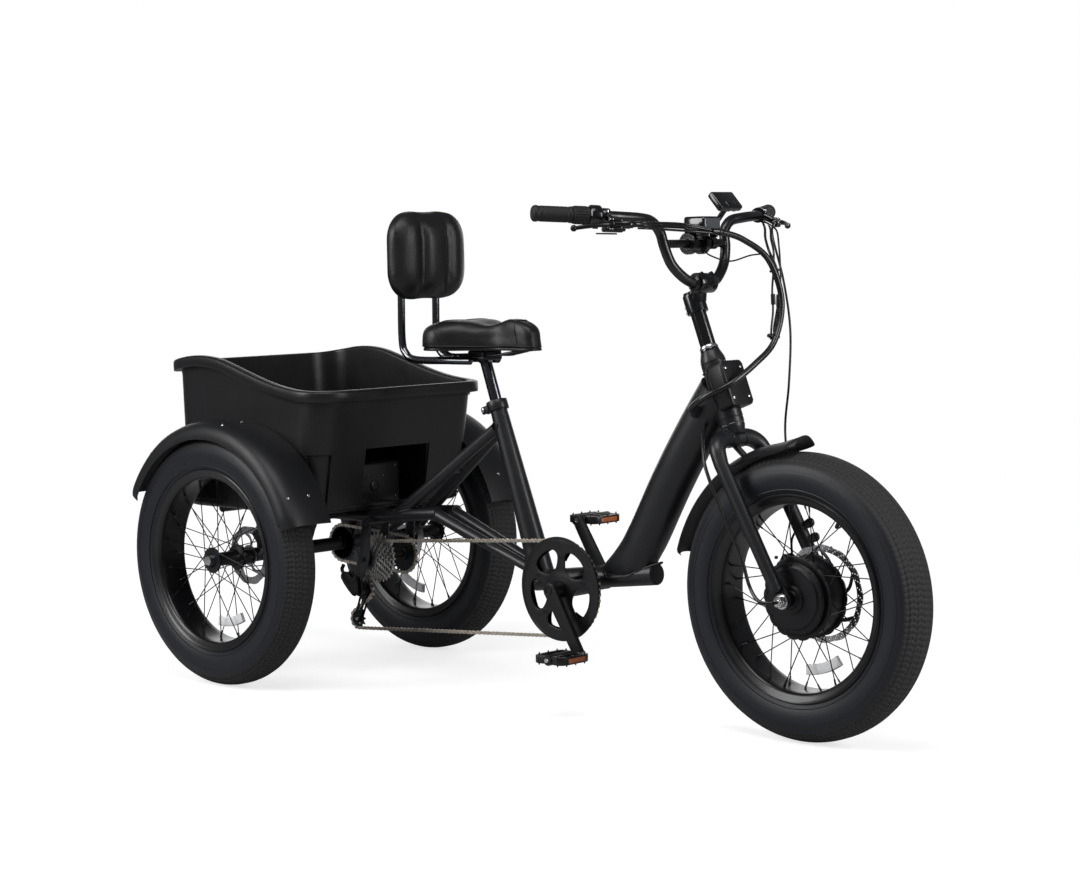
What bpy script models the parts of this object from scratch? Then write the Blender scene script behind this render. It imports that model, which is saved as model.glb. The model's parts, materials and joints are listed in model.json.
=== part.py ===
"""Electric tricycle with a moulded cargo tub, modelled piece by piece at rest.

Metres, +X forward, +Y to the rider's left, +Z up. The origin is on the ground, midway between
the axles. Every piece is a closed solid in an object of its own, and each moving group hangs
from an empty that stands on its joint's axis.
"""

import math

import bmesh
import bpy
from mathutils import Matrix, Vector

# Overall layout
WHEEL_RADIUS = 0.295
WHEELBASE = 1.452
REAR_TRACK = 0.657
GAP = 0.0003
RUNNING_GAP = 0.0006
WELD = 0.00003

# Wheels
TYRE_WIDTH = 0.098
RIM_RADIUS = 0.2115
RIM_WIDTH = 0.084
RIM_DEPTH = 0.022
RIM_FLOOR = 0.003
RIM_SEGMENTS = 32
SPOKE_COUNT = 36
SPOKE_DIAMETER = 0.0026
SPOKE_END_GAP = 0.0009
SPOKE_RIM_OFFSET = 0.013
AXLE_DIAMETER = 0.017
HUB_FLANGE_DIAMETER = 0.060
HUB_BARREL_DIAMETER = 0.032
HUB_WIDTH = 0.072
HUB_CAP_LENGTH = 0.0105
ROTOR_THICKNESS = 0.002
REAR_ROTOR_DIAMETER = 0.140
REAR_ROTOR_REACH = 0.2500
FRONT_ROTOR_DIAMETER = 0.203
FRONT_ROTOR_REACH = 0.012
MOTOR_DIAMETER = 0.146
MOTOR_FLANGE_DIAMETER = 0.172
MOTOR_NEAR_FACE = 0.050
MOTOR_FAR_FACE = 0.044
FRONT_AXLE_DIAMETER = 0.014
FRONT_AXLE_HALF = 0.100

# Steering
HEAD_TILT = math.radians(21)
HEAD_TOP = Vector((0.4825, 0.0, 0.787))
HEAD_TUBE_DIAMETER = 0.054
HEAD_TUBE_LENGTH = 0.137
HEAD_COLLAR_LENGTH = 0.023
STEERER_DIAMETER = 0.0286
CROWN_RACE_HEIGHT = 0.006
RISER_DIAMETER = 0.034
RISER_LENGTH = 0.122
FORK_LEG_SPREAD = 0.078
FORK_LEG_TOP_DIAMETER = 0.038
FORK_LEG_TIP_DIAMETER = 0.028
DROPOUT_HALF_GAP = 0.0675
DROPOUT_THICKNESS = 0.007
FRONT_FENDER_WIDTH = 0.095
FENDER_THICKNESS = 0.0025

# Frame
FRAME_TUBE_DIAMETER = 0.048
DOWN_TUBE_HEIGHT = 0.094
DOWN_TUBE_WIDTH = 0.086
SEAT_TUBE_TOP = Vector((-0.1410, 0.0, 0.655))
SEAT_TUBE_FOOT = Vector((-0.0045, 0.0, 0.264))
SEAT_TUBE_TOP_DIAMETER = 0.038
SEAT_TUBE_FOOT_DIAMETER = 0.058
SEATPOST_DIAMETER = 0.0272
SEATPOST_INSERT = 0.190
SEATPOST_SHOWN = 0.114
STAY_DIAMETER = 0.030
CHAINSTAY_DIAMETER = 0.024
RAIL_DIAMETER = 0.030
RAIL_SPREAD = 0.068
CROSS_TUBE_DIAMETER = 0.022
AXLE_HOUSING_DIAMETER = 0.033
AXLE_HOUSING_END = 0.236
HOUSING_GAP = 0.034
SIDE_BAR_REACH = 0.2155
SIDE_BAR_DIAMETER = 0.016
SIDE_BAR_LENGTH = 0.150
BRACKET_THICKNESS = 0.005

# Drive train
CHAIN_PITCH = 0.0127
CHAIN_PIN_HALF_HEIGHT = 0.0042
CHAIN_WAIST_HALF_HEIGHT = 0.0020
CHAIN_OUTER_HALF_WIDTH = 0.0035
CHAIN_INNER_HALF_WIDTH = 0.0026
CHAIN_LINE = -0.050
TOOTH_DEPTH = 0.0035
CHAINRING_TEETH = 52
COG_TEETH = (14, 16, 18, 20, 22, 24, 28)
COG_IN_USE = 3
COG_SPACING = 0.005
COG_THICKNESS = 0.0018
CASSETTE_CORE_RADIUS = 0.0190
PULLEY_TEETH = 11
MAIN_CHAIN_LINKS = 150
DRIVE_TEETH = 22
DRIVE_CHAIN_LINKS = 56
DRIVE_CHAIN_LINE = 0.045
JACKSHAFT_DROP = 0.011
JACKSHAFT_DIAMETER = 0.015
CRANK_CENTRE = Vector((0.100, 0.0, 0.264))
BOTTOM_BRACKET_DIAMETER = 0.042
BOTTOM_BRACKET_WIDTH = 0.068
CRANK_LENGTH = 0.155
CRANK_ANGLE = math.radians(-58)
CRANK_ARM_INNER = 0.085
CRANK_ARM_THICKNESS = 0.012
CRANK_ARM_WIDTH = 0.027
SPINDLE_DIAMETER = 0.017
GUARD_DIAMETER = 0.230
GUARD_THICKNESS = 0.004
GUARD_OFFSET = 0.0105
PEDAL_LENGTH = 0.094
PEDAL_WIDTH = 0.088
PEDAL_THICKNESS = 0.020
PEDAL_SPINDLE_DIAMETER = 0.012

# Cargo tub and fenders
TUB_BOTTOM = 0.4015
TUB_WALL = 0.005
TUB_FRONT = -0.447
TUB_REAR = -0.998
TUB_HALF_WIDTH = 0.258
TUB_CORNER_RADIUS = 0.070
TUB_RIM_OVERHANG = 0.018
TUB_RIM_BAND = 0.026
TUNNEL_WIDTH = 0.205
TUNNEL_HEIGHT = 0.146
TUNNEL_FRONT = -0.512
TUNNEL_REAR = -0.937
TUNNEL_SILL = 0.0155
REAR_FENDER_OUTER = 0.0585
REAR_FENDER_CROWN = 0.031

# Rider's controls
BAR_DIAMETER = 0.0222
BAR_CLAMP = Vector((0.466, 0.0, 0.930))
BAR_CLAMP_DIAMETER = 0.0254
CROSSBAR = Vector((0.4445, 0.0, 1.012))
CROSSBAR_DIAMETER = 0.018
DISPLAY_CENTRE = Vector((0.485, 0.052, 1.098))
GRIP_DIAMETER = 0.033
GRIP_LENGTH = 0.078
THROTTLE_LENGTH = 0.036
HOUSING_LENGTH = 0.026
MOUNT_START = GRIP_LENGTH + THROTTLE_LENGTH + HOUSING_LENGTH + 2 * GAP
GRIP_END = Vector((0.343, 0.376, 1.078))
GRIP_SWEEP = math.radians(30)
GRIP_RISE = math.radians(3)

# Cables
HARNESS_DIAMETER = 0.014
BRAKE_HOSE_DIAMETER = 0.005
MOTOR_CABLE_DIAMETER = 0.0075

# Seat
SADDLE_LENGTH = 0.285
SADDLE_NOSE = Vector((-0.011, 0.0, 0.786))
SADDLE_HALF_WIDTH = 0.120
SADDLE_RAIL_DIAMETER = 0.007
BACKREST_CENTRE = Vector((-0.3530, 0.0, 0.9945))
BACKREST_WIDTH = 0.226
BACKREST_HEIGHT = 0.205
BACKREST_THICKNESS = 0.060
BACKREST_TUBE_DIAMETER = 0.018
BACKREST_TUBE_SPREAD = 0.055

# Places worked out from the sizes above
UP = Vector((0.0, 0.0, 1.0))
FORWARD = Vector((1.0, 0.0, 0.0))
LEFT = Vector((0.0, 1.0, 0.0))
FRONT_AXLE = Vector((WHEELBASE / 2, 0.0, WHEEL_RADIUS))
REAR_AXLE = Vector((-WHEELBASE / 2, 0.0, WHEEL_RADIUS))
STEER_UP = Vector((-math.sin(HEAD_TILT), 0.0, math.cos(HEAD_TILT)))
STEER_FORWARD = Vector((math.cos(HEAD_TILT), 0.0, math.sin(HEAD_TILT)))
RAIL_HEIGHT = TUB_BOTTOM - GAP - RAIL_DIAMETER / 2
JACKSHAFT_REACH = (DRIVE_CHAIN_LINKS - DRIVE_TEETH) * CHAIN_PITCH / 2
JACKSHAFT = REAR_AXLE + Vector((math.sqrt(JACKSHAFT_REACH**2 - JACKSHAFT_DROP**2), 0, -JACKSHAFT_DROP))
GUIDE_PULLEY = JACKSHAFT + Vector((-0.030, 0.0, -0.079))
CAGE_LENGTH = 0.0765


def steer_point(along, ahead=0.0, aside=0.0):
    """A point measured up the steering axis from the head tube's top, ahead of it and to the left."""
    return HEAD_TOP + STEER_UP * along + STEER_FORWARD * ahead + LEFT * aside


def paint(name, colour, roughness, metallic=0.0):
    """A plain material in the part's colour."""
    material = bpy.data.materials.new(name)
    material.use_nodes = True
    shader = material.node_tree.nodes["Principled BSDF"]
    shader.inputs["Base Color"].default_value = (*colour, 1.0)
    shader.inputs["Roughness"].default_value = roughness
    shader.inputs["Metallic"].default_value = metallic
    return material


def materials():
    """Every finish on the tricycle, by a plain name."""
    return {
        "frame_paint": paint("frame_paint", (0.018, 0.019, 0.024), 0.55),
        "gloss_black": paint("gloss_black", (0.008, 0.008, 0.009), 0.18),
        "tub_plastic": paint("tub_plastic", (0.016, 0.017, 0.022), 0.42),
        "black_plastic": paint("black_plastic", (0.016, 0.016, 0.018), 0.50),
        "tyre_rubber": paint("tyre_rubber", (0.020, 0.021, 0.025), 0.75),
        "grip_rubber": paint("grip_rubber", (0.030, 0.030, 0.032), 0.80),
        "rim_black": paint("rim_black", (0.010, 0.010, 0.011), 0.30, 0.6),
        "motor_black": paint("motor_black", (0.020, 0.020, 0.022), 0.40, 0.6),
        "steel": paint("steel", (0.560, 0.560, 0.550), 0.30, 1.0),
        "dark_steel": paint("dark_steel", (0.090, 0.090, 0.095), 0.35, 1.0),
        "chain_nickel": paint("chain_nickel", (0.330, 0.300, 0.260), 0.40, 1.0),
        "seat_vinyl": paint("seat_vinyl", (0.020, 0.020, 0.022), 0.45),
        "cable_sheath": paint("cable_sheath", (0.012, 0.012, 0.012), 0.50),
        "screen_glass": paint("screen_glass", (0.010, 0.011, 0.013), 0.08),
    }


def clear_scene():
    """Remove whatever the file opened with."""
    for old in list(bpy.data.objects):
        bpy.data.objects.remove(old, do_unlink=True)


def solid(name, bm, material):
    """Close a bmesh into an object whose faces point outwards."""
    bmesh.ops.remove_doubles(bm, verts=bm.verts, dist=1e-6)
    loose = [edge for edge in bm.edges if not edge.link_faces]
    bmesh.ops.delete(bm, geom=loose, context="EDGES")
    bmesh.ops.recalc_face_normals(bm, faces=bm.faces)
    mesh = bpy.data.meshes.new(name)
    bm.to_mesh(mesh)
    bm.free()
    mesh.materials.append(material)
    mesh.shade_smooth()
    mesh.set_sharp_from_angle(angle=math.radians(40))
    made = bpy.data.objects.new(name, mesh)
    bpy.context.scene.collection.objects.link(made)
    return made


def skin(bm, rings, loop=False):
    """Join rings of equally many points into a closed surface, capped unless it runs round a loop."""
    rows = [[bm.verts.new(point) for point in ring] for ring in rings]
    pairs = list(zip(rows, rows[1:]))
    if loop:
        pairs.append((rows[-1], rows[0]))
    for first, second in pairs:
        for index in range(len(first)):
            bm.faces.new((first[index - 1], first[index], second[index], second[index - 1]))
    if not loop:
        bm.faces.new(rows[0])
        bm.faces.new(rows[-1])


def square_axes(axis):
    """Two unit vectors square to an axis and to each other."""
    axis = axis.normalized()
    helper = UP if abs(axis.z) < 0.9 else FORWARD
    across = helper.cross(axis).normalized()
    return across, axis.cross(across)


def turned(name, profile, origin, axis, segments, material):
    """A turned piece: its profile of (along, radius) pairs runs round the axis from the origin."""
    axis = axis.normalized()
    across, over = square_axes(axis)
    rings = []
    for step in range(segments):
        angle = 2 * math.pi * step / segments
        outward = across * math.cos(angle) + over * math.sin(angle)
        rings.append([origin + axis * along + outward * radius for along, radius in profile])
    bm = bmesh.new()
    skin(bm, rings, loop=True)
    return solid(name, bm, material)


def rod(name, start, end, diameter, segments, material, end_diameter=None):
    """A round bar between two points, tapered where it has an end diameter."""
    length = (end - start).length
    tip = (end_diameter or diameter) / 2
    profile = [(0, 0), (0, diameter / 2), (length, tip), (length, 0)]
    return turned(name, profile, start, end - start, segments, material)


def sleeve(name, start, end, outer, inner, segments, material):
    """A round tube with an open bore between two points."""
    length = (end - start).length
    profile = [(0, inner / 2), (0, outer / 2), (length, outer / 2), (length, inner / 2)]
    return turned(name, profile, start, end - start, segments, material)


def smooth_path(points, steps):
    """Points along a Catmull-Rom curve through the given ones, with the ends kept."""
    points = [Vector(point) for point in points]
    ends = [points[0] * 2 - points[1], *points, points[-1] * 2 - points[-2]]
    path = []
    for index in range(1, len(ends) - 2):
        before, start, end, after = ends[index - 1 : index + 3]
        for step in range(steps):
            t = step / steps
            path.append(
                (
                    start * 2
                    + (end - before) * t
                    + (before * 2 - start * 5 + end * 4 - after) * t**2
                    + (start * 3 - before - end * 3 + after) * t**3
                )
                / 2
            )
    return [*path, points[-1]]


def swept(name, path, size, sides, material, side_hint=LEFT):
    """A tube along a path. Size gives each point's half height and half width, from 0 to 1 along it."""
    path = [Vector(point) for point in path]
    rings = []
    for index, point in enumerate(path):
        ahead = path[min(index + 1, len(path) - 1)]
        behind = path[max(index - 1, 0)]
        along = (ahead - behind).normalized()
        over = along.cross(side_hint).normalized()
        aside = over.cross(along).normalized()
        half_over, half_aside = size(index / (len(path) - 1))
        ring = []
        for step in range(sides):
            angle = 2 * math.pi * (step + 0.5) / sides
            ring.append(point + over * half_over * math.cos(angle) + aside * half_aside * math.sin(angle))
        rings.append(ring)
    bm = bmesh.new()
    skin(bm, rings)
    return solid(name, bm, material)


def even(radius):
    """The size of a round tube that stays the same along its path."""
    return lambda share: (radius, radius)


def plate(name, outlines, origin, right, top, thickness, material):
    """A flat plate: its first outline is its edge and the others are holes, in (right, top) pairs."""
    bm = bmesh.new()
    edges = []
    for outline in outlines:
        corners = [bm.verts.new(origin + right * u + top * v) for u, v in outline]
        for index in range(len(corners)):
            edges.append(bm.edges.new((corners[index - 1], corners[index])))
    filled = bmesh.ops.triangle_fill(bm, edges=edges, use_beauty=True, use_dissolve=False)
    faces = [item for item in filled["geom"] if isinstance(item, bmesh.types.BMFace)]
    raised = bmesh.ops.extrude_face_region(bm, geom=faces, use_keep_orig=True)
    moved = [item for item in raised["geom"] if isinstance(item, bmesh.types.BMVert)]
    bmesh.ops.translate(bm, verts=moved, vec=right.cross(top).normalized() * thickness)
    return solid(name, bm, material)


def side_plate(name, outlines, centre, low, high, material):
    """A plate that stands fore and aft between two planes: its outlines are (forward, up) pairs."""
    origin = Vector((centre.x, high, centre.z))
    return plate(name, outlines, origin, FORWARD, UP, high - low, material)


def block(name, centre, size, material, axes=(FORWARD, LEFT, UP), bevel=0.0):
    """A block of the given full sizes along three axes, with its edges bevelled where it has one."""
    bm = bmesh.new()
    bmesh.ops.create_cube(bm, size=1.0)
    bmesh.ops.scale(bm, vec=Vector(size), verts=bm.verts)
    if bevel:
        bmesh.ops.bevel(bm, geom=bm.edges, offset=bevel, segments=1, profile=0.5, affect="EDGES")
    turn = Matrix([(axes[0][row], axes[1][row], axes[2][row]) for row in range(3)]).to_4x4()
    bmesh.ops.transform(bm, matrix=Matrix.Translation(centre) @ turn, verts=bm.verts)
    return solid(name, bm, material)


def box_between(name, low, high, material):
    """A block between two corners."""
    low, high = Vector(low), Vector(high)
    return block(name, (low + high) / 2, high - low, material)


def circle(radius, count, centre=(0.0, 0.0), phase=0.0):
    """The points of a round outline."""
    return [
        (
            centre[0] + radius * math.cos(phase + 2 * math.pi * step / count),
            centre[1] + radius * math.sin(phase + 2 * math.pi * step / count),
        )
        for step in range(count)
    ]


def arc(radius, start, end, count, centre=(0.0, 0.0)):
    """Points along part of a circle, both ends among them."""
    return [
        (
            centre[0] + radius * math.cos(start + (end - start) * step / (count - 1)),
            centre[1] + radius * math.sin(start + (end - start) * step / (count - 1)),
        )
        for step in range(count)
    ]


def capsule(start, end, start_radius, end_radius, count):
    """A rounded outline round two points, as of a flat arm."""
    along = Vector(end) - Vector(start)
    heading = math.atan2(along.y, along.x)
    half = math.pi / 2
    return arc(start_radius, heading + half, heading + 3 * half, count, start) + arc(
        end_radius, heading - half, heading + half, count, end
    )


def bake(base):
    """Replace an object's mesh by what its modifiers make of it."""
    bpy.context.view_layer.update()
    graph = bpy.context.evaluated_depsgraph_get()
    made = bpy.data.meshes.new_from_object(base.evaluated_get(graph))
    base.modifiers.clear()
    bm = bmesh.new()
    bm.from_mesh(made)
    bmesh.ops.remove_doubles(bm, verts=bm.verts, dist=WELD)
    bmesh.ops.dissolve_degenerate(bm, edges=bm.edges, dist=WELD)
    bmesh.ops.dissolve_limit(bm, angle_limit=math.radians(0.2), verts=bm.verts, edges=bm.edges)
    bmesh.ops.triangulate(bm, faces=bm.faces)
    bm.to_mesh(made)
    bm.free()
    base.data = made
    base.data.shade_smooth()
    base.data.set_sharp_from_angle(angle=math.radians(40))
    return base


def combine(base, others, operation):
    """Join other solids to one, or cut them from it, and remove them."""
    for other in others:
        modifier = base.modifiers.new(operation.lower(), "BOOLEAN")
        modifier.operation = operation
        modifier.object = other
    bake(base)
    for other in others:
        bpy.data.objects.remove(other, do_unlink=True)
    return base


def fuse(name, pieces):
    """One solid from overlapping ones."""
    base = combine(pieces[0], pieces[1:], "UNION")
    base.name = name
    return base


def cut(base, cutters):
    """A solid with others cut from it."""
    return combine(base, cutters, "DIFFERENCE")


def pivot(name, place, parent=None):
    """An empty that stands on a joint's axis and carries the pieces that turn with it."""
    empty = bpy.data.objects.new(name, None)
    empty.empty_display_size = 0.05
    bpy.context.scene.collection.objects.link(empty)
    if parent is not None:
        empty.parent = parent
        place = parent.matrix_world.inverted() @ place
    empty.matrix_local = place
    bpy.context.view_layer.update()
    return empty


def hang(pieces, carrier):
    """Put pieces made in place under an empty, with their origins on its joint."""
    for piece in pieces:
        piece.data.transform(carrier.matrix_world.inverted())
        piece.parent = carrier


def cross_hole(centre, diameter, length, material, segments=12):
    """A cutter for a hole that runs from side to side."""
    half = LEFT * length / 2
    return rod("hole", centre - half, centre + half, diameter, segments, material)


class Belt:
    """A chain's closed line round sprockets in an upright plane, measured by its length."""

    def __init__(self, rounds):
        """Rounds are (centre, radius, sense), where sense is 1 for anticlockwise seen from the right."""
        self.rounds = [(Vector((centre.x, centre.z)), radius, sense) for centre, radius, sense in rounds]
        headings = []
        for index, (centre, radius, sense) in enumerate(self.rounds):
            after, after_radius, after_sense = self.rounds[(index + 1) % len(self.rounds)]
            way = after - centre
            lean = math.asin((sense * radius - after_sense * after_radius) / way.length)
            headings.append(math.atan2(way.y, way.x) + lean)
        self.runs = []
        for index, (centre, radius, sense) in enumerate(self.rounds):
            arrive, leave = headings[index - 1], headings[index]
            turn = (sense * (leave - arrive)) % (2 * math.pi)
            self.runs.append(("arc", radius * turn, centre, radius, sense, arrive))
            after, after_radius, after_sense = self.rounds[(index + 1) % len(self.rounds)]
            start = self.touch(centre, radius, sense, leave)
            end = self.touch(after, after_radius, after_sense, leave)
            self.runs.append(("line", (end - start).length, start, leave))
        self.length = sum(run[1] for run in self.runs)

    @staticmethod
    def touch(centre, radius, sense, heading):
        """Where a line with this heading leaves a sprocket."""
        return centre + Vector((math.sin(heading), -math.cos(heading))) * sense * radius

    def at(self, distance):
        """The point and heading at a distance along the line."""
        distance %= self.length
        for run in self.runs:
            if distance <= run[1]:
                break
            distance -= run[1]
        if run[0] == "line":
            start, heading = run[2:]
            return start + Vector((math.cos(heading), math.sin(heading))) * distance, heading
        centre, radius, sense, arrive = run[2:]
        heading = arrive + sense * distance / radius
        return self.touch(centre, radius, sense, heading), heading

    def phase(self, index, pitch):
        """The direction from a sprocket's centre to a pin that lies on it."""
        before = sum(run[1] for run in self.runs[: 2 * index])
        pin = math.ceil(before / pitch) * pitch
        place = self.at(pin)[0] - self.rounds[index][0]
        return math.atan2(place.y, place.x)


def pitch_radius(teeth):
    """The radius at which a chain's pins lie on a sprocket."""
    return teeth * CHAIN_PITCH / (2 * math.pi)


def tension_pulley_at(swing):
    """The lower pulley's centre when the cage hangs at an angle behind straight down."""
    return GUIDE_PULLEY + Vector((-math.sin(swing), 0.0, -math.cos(swing))) * CAGE_LENGTH


def main_belt(swing):
    """The pedal chain's line with the derailleur cage at an angle."""
    return Belt(
        [
            (CRANK_CENTRE, pitch_radius(CHAINRING_TEETH), 1),
            (JACKSHAFT, pitch_radius(COG_TEETH[COG_IN_USE]), 1),
            (GUIDE_PULLEY, pitch_radius(PULLEY_TEETH), -1),
            (tension_pulley_at(swing), pitch_radius(PULLEY_TEETH), 1),
        ]
    )


def cage_swing():
    """The angle at which the cage takes up the chain's slack, found by halving."""
    taut = MAIN_CHAIN_LINKS * CHAIN_PITCH
    low, high = math.radians(-60), math.radians(120)
    for _ in range(50):
        middle = (low + high) / 2
        if main_belt(middle).length < taut:
            low = middle
        else:
            high = middle
    return (low + high) / 2


CAGE_SWING = cage_swing()
TENSION_PULLEY = tension_pulley_at(CAGE_SWING)
MAIN_BELT = main_belt(CAGE_SWING)
DRIVE_BELT = Belt(
    [(JACKSHAFT, pitch_radius(DRIVE_TEETH), 1), (REAR_AXLE, pitch_radius(DRIVE_TEETH), 1)]
)


def chain(name, belt, line, material, waists=True):
    """A roller chain: tall and narrow at its pins, waisted and wide along every second link."""
    links = round(belt.length / CHAIN_PITCH)
    rings = []
    for half_link in range(2 * links):
        at_pin = half_link % 2 == 0
        if not at_pin and (half_link % 4 == 3 or not waists):
            continue
        place, heading = belt.at(half_link * belt.length / (2 * links))
        outward = Vector((math.sin(heading), -math.cos(heading)))
        height = CHAIN_PIN_HALF_HEIGHT if at_pin else CHAIN_WAIST_HALF_HEIGHT
        width = CHAIN_INNER_HALF_WIDTH if at_pin else CHAIN_OUTER_HALF_WIDTH
        ring = []
        for side, aside in ((1, 1), (1, -1), (-1, -1), (-1, 1)):
            point = place + outward * side * height
            ring.append(Vector((point.x, line + aside * width, point.y)))
        rings.append(ring)
    bm = bmesh.new()
    skin(bm, rings, loop=True)
    return solid(name, bm, material)


def toothed(teeth, phase):
    """A sprocket's outline, with its tips just under the chain's links and its roots at the pins."""
    tip = pitch_radius(teeth) * math.cos(math.pi / teeth) - CHAIN_PIN_HALF_HEIGHT - GAP
    root = tip - TOOTH_DEPTH
    outline = []
    for tooth in range(teeth):
        angle = phase + 2 * math.pi * tooth / teeth
        half = math.pi / teeth
        outline.append((root * math.cos(angle), root * math.sin(angle)))
        outline.append((tip * math.cos(angle + half), tip * math.sin(angle + half)))
    return outline


def tyre(name, centre, paints):
    """A fat street tyre on its beads."""
    half = TYRE_WIDTH / 2
    bead = RIM_RADIUS + GAP
    half_right = [
        (half * 0.88, bead),
        (half * 1.00, bead + (WHEEL_RADIUS - bead) * 0.45),
        (half * 0.84, WHEEL_RADIUS - 0.0130),
        (half * 0.40, WHEEL_RADIUS),
    ]
    profile = half_right + [(-along, radius) for along, radius in reversed(half_right)]
    return turned(name, profile, centre, LEFT, 32, paints["tyre_rubber"])


def rim(name, centre, paints):
    """A wide rim with upturned edges and a sunk bed."""
    half = RIM_WIDTH / 2
    bed = RIM_RADIUS - 0.009
    inner = RIM_RADIUS - RIM_DEPTH
    profile = [
        (half, RIM_RADIUS),
        (half - 0.010, bed),
        (-half + 0.010, bed),
        (-half, RIM_RADIUS),
        (-half + 0.006, inner + RIM_FLOOR),
        (half - 0.006, inner + RIM_FLOOR),
    ]
    return turned(name, profile, centre, LEFT, RIM_SEGMENTS, paints["rim_black"])


def spoked(name, profile, flanges, centre, sweep, segments, material):
    """A turned hub whose flanges' edges grow into spokes that reach just short of the rim.

    Flanges are (first profile index of the edge, plane of the spokes' ends, way they lean).
    """
    rings = []
    for step in range(segments):
        angle = 2 * math.pi * step / segments
        outward = FORWARD * math.cos(angle) + UP * math.sin(angle)
        rings.append([centre + LEFT * along + outward * radius for along, radius in profile])
    bm = bmesh.new()
    rows = [[bm.verts.new(point) for point in ring] for ring in rings]
    edges = {first: (plane, way) for first, plane, way in flanges}
    for step in range(segments):
        here, after = rows[step], rows[(step + 1) % segments]
        for index in range(len(profile)):
            following = (index + 1) % len(profile)
            corners = [here[index], here[following], after[following], after[index]]
            if index in edges:
                plane, way = edges[index]
                angle = 2 * math.pi * (step + 0.5) / segments
                grow_spoke(bm, corners, centre, plane, angle, angle + way * sweep)
            else:
                bm.faces.new(corners)
    return solid(name, bm, material)


def grow_spoke(bm, corners, centre, plane, hub_angle, rim_angle):
    """Close one flange edge face with a spoke that runs out to the rim."""
    middle = sum((corner.co for corner in corners), Vector()) / 4
    reach = (RIM_RADIUS - RIM_DEPTH + RIM_FLOOR) * math.cos(math.pi / RIM_SEGMENTS) - SPOKE_END_GAP
    outward = FORWARD * math.cos(rim_angle) + UP * math.sin(rim_angle)
    end = centre + LEFT * plane + outward * reach
    along = (end - middle).normalized()
    over = along.cross(LEFT).normalized()
    tangent = UP * math.cos(hub_angle) - FORWARD * math.sin(hub_angle)
    half = SPOKE_DIAMETER / 2
    root_half = half / max(0.3, abs(over.dot(tangent)))
    lean = math.copysign(1.0, over.dot(tangent))
    root, tip = [], []
    for aside, ahead in ((1.0, -1.0), (-1.0, -1.0), (0.0, 1.0)):
        root.append(bm.verts.new(middle + LEFT * aside * half + tangent * ahead * root_half))
        tip.append(bm.verts.new(end + LEFT * aside * half + over * ahead * lean * half))
    by_place = {}
    for corner in corners:
        offset = corner.co - middle
        by_place[(offset.dot(LEFT) > 0, offset.dot(tangent) > 0)] = corner
    low_right, low_left = by_place[(True, False)], by_place[(False, False)]
    high_left, high_right = by_place[(False, True)], by_place[(True, True)]
    for ring in (
        (low_right, low_left, root[1], root[0]),
        (low_left, high_left, root[2], root[1]),
        (high_left, high_right, root[2]),
        (high_right, low_right, root[0], root[2]),
    ):
        bm.faces.new(ring)
    for index in range(3):
        bm.faces.new((root[index - 1], root[index], tip[index], tip[index - 1]))
    bm.faces.new(tip)


def rotor(name, centre, plane, diameter, inner, paints):
    """A brake disc: a ring on five arms."""
    ring_inner = diameter / 2 - 0.017
    outlines = [circle(diameter / 2, 20), circle(inner, 6)]
    arms = 5
    for index in range(arms):
        start = 2 * math.pi * index / arms + 0.16
        end = 2 * math.pi * (index + 1) / arms - 0.16
        hole = arc(ring_inner, start, end, 3) + arc(inner + 0.014, end - 0.10, start + 0.10, 2)
        outlines.append(hole)
    half = ROTOR_THICKNESS / 2
    return side_plate(name, outlines, centre, plane - half, plane + half, paints["steel"])


def rear_hub(name, side, paints):
    """A rear hub with its flanges, spokes and brake disc, open along the axle."""
    centre = REAR_AXLE + LEFT * side * REAR_TRACK / 2
    half = HUB_WIDTH / 2
    barrel = HUB_BARREL_DIAMETER / 2
    flange = HUB_FLANGE_DIAMETER / 2
    bore = AXLE_DIAMETER / 2 + GAP
    inner_end = REAR_ROTOR_REACH - REAR_TRACK / 2 - 0.003
    outline = [
        (side * inner_end, bore),
        (side * inner_end, 0.020),
        (side * (-half - 0.003), barrel),
        (side * (-half - 0.003), flange),
        (side * -half, flange),
        (side * (-half + 0.008), barrel),
        (side * (half - 0.008), barrel),
        (side * half, flange),
        (side * (half + 0.003), flange),
        (side * (half + 0.003), barrel * 0.8),
        (side * (half + HUB_CAP_LENGTH), barrel * 0.7),
        (side * (half + HUB_CAP_LENGTH), bore),
    ]
    flanges = ((3, -side * SPOKE_RIM_OFFSET, 1), (7, side * SPOKE_RIM_OFFSET, -1))
    sweep = math.radians(58)
    body = spoked(name, outline, flanges, centre, sweep, SPOKE_COUNT // 2, paints["motor_black"])
    disc = rotor("disc", REAR_AXLE, side * REAR_ROTOR_REACH, REAR_ROTOR_DIAMETER, 0.0140, paints)
    return fuse(name, [body, disc])


def hub_motor(name, paints):
    """The front hub motor's turning shell, with its spoke flanges, spokes and brake disc."""
    near, far = -MOTOR_NEAR_FACE, MOTOR_FAR_FACE
    body = MOTOR_DIAMETER / 2
    flange = MOTOR_FLANGE_DIAMETER / 2
    bore = FRONT_AXLE_DIAMETER / 2 + RUNNING_GAP
    profile = [
        (near - 0.006, bore),
        (near - 0.006, 0.026),
        (near + 0.001, body - 0.010),
        (near + 0.010, body),
        (near + 0.022, body),
        (near + 0.022, flange),
        (near + 0.025, flange),
        (near + 0.025, body),
        (far - 0.023, body),
        (far - 0.023, flange),
        (far - 0.020, flange),
        (far - 0.008, body),
        (far, 0.030),
        (far + 0.014, 0.028),
        (far + 0.014, bore),
    ]
    flanges = ((5, -SPOKE_RIM_OFFSET, 1), (9, SPOKE_RIM_OFFSET, -1))
    sweep = math.radians(25)
    shell = spoked(name, profile, flanges, FRONT_AXLE, sweep, SPOKE_COUNT // 2, paints["motor_black"])
    disc = rotor("disc", FRONT_AXLE, far + FRONT_ROTOR_REACH, FRONT_ROTOR_DIAMETER, 0.020, paints)
    return fuse(name, [shell, disc])


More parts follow.
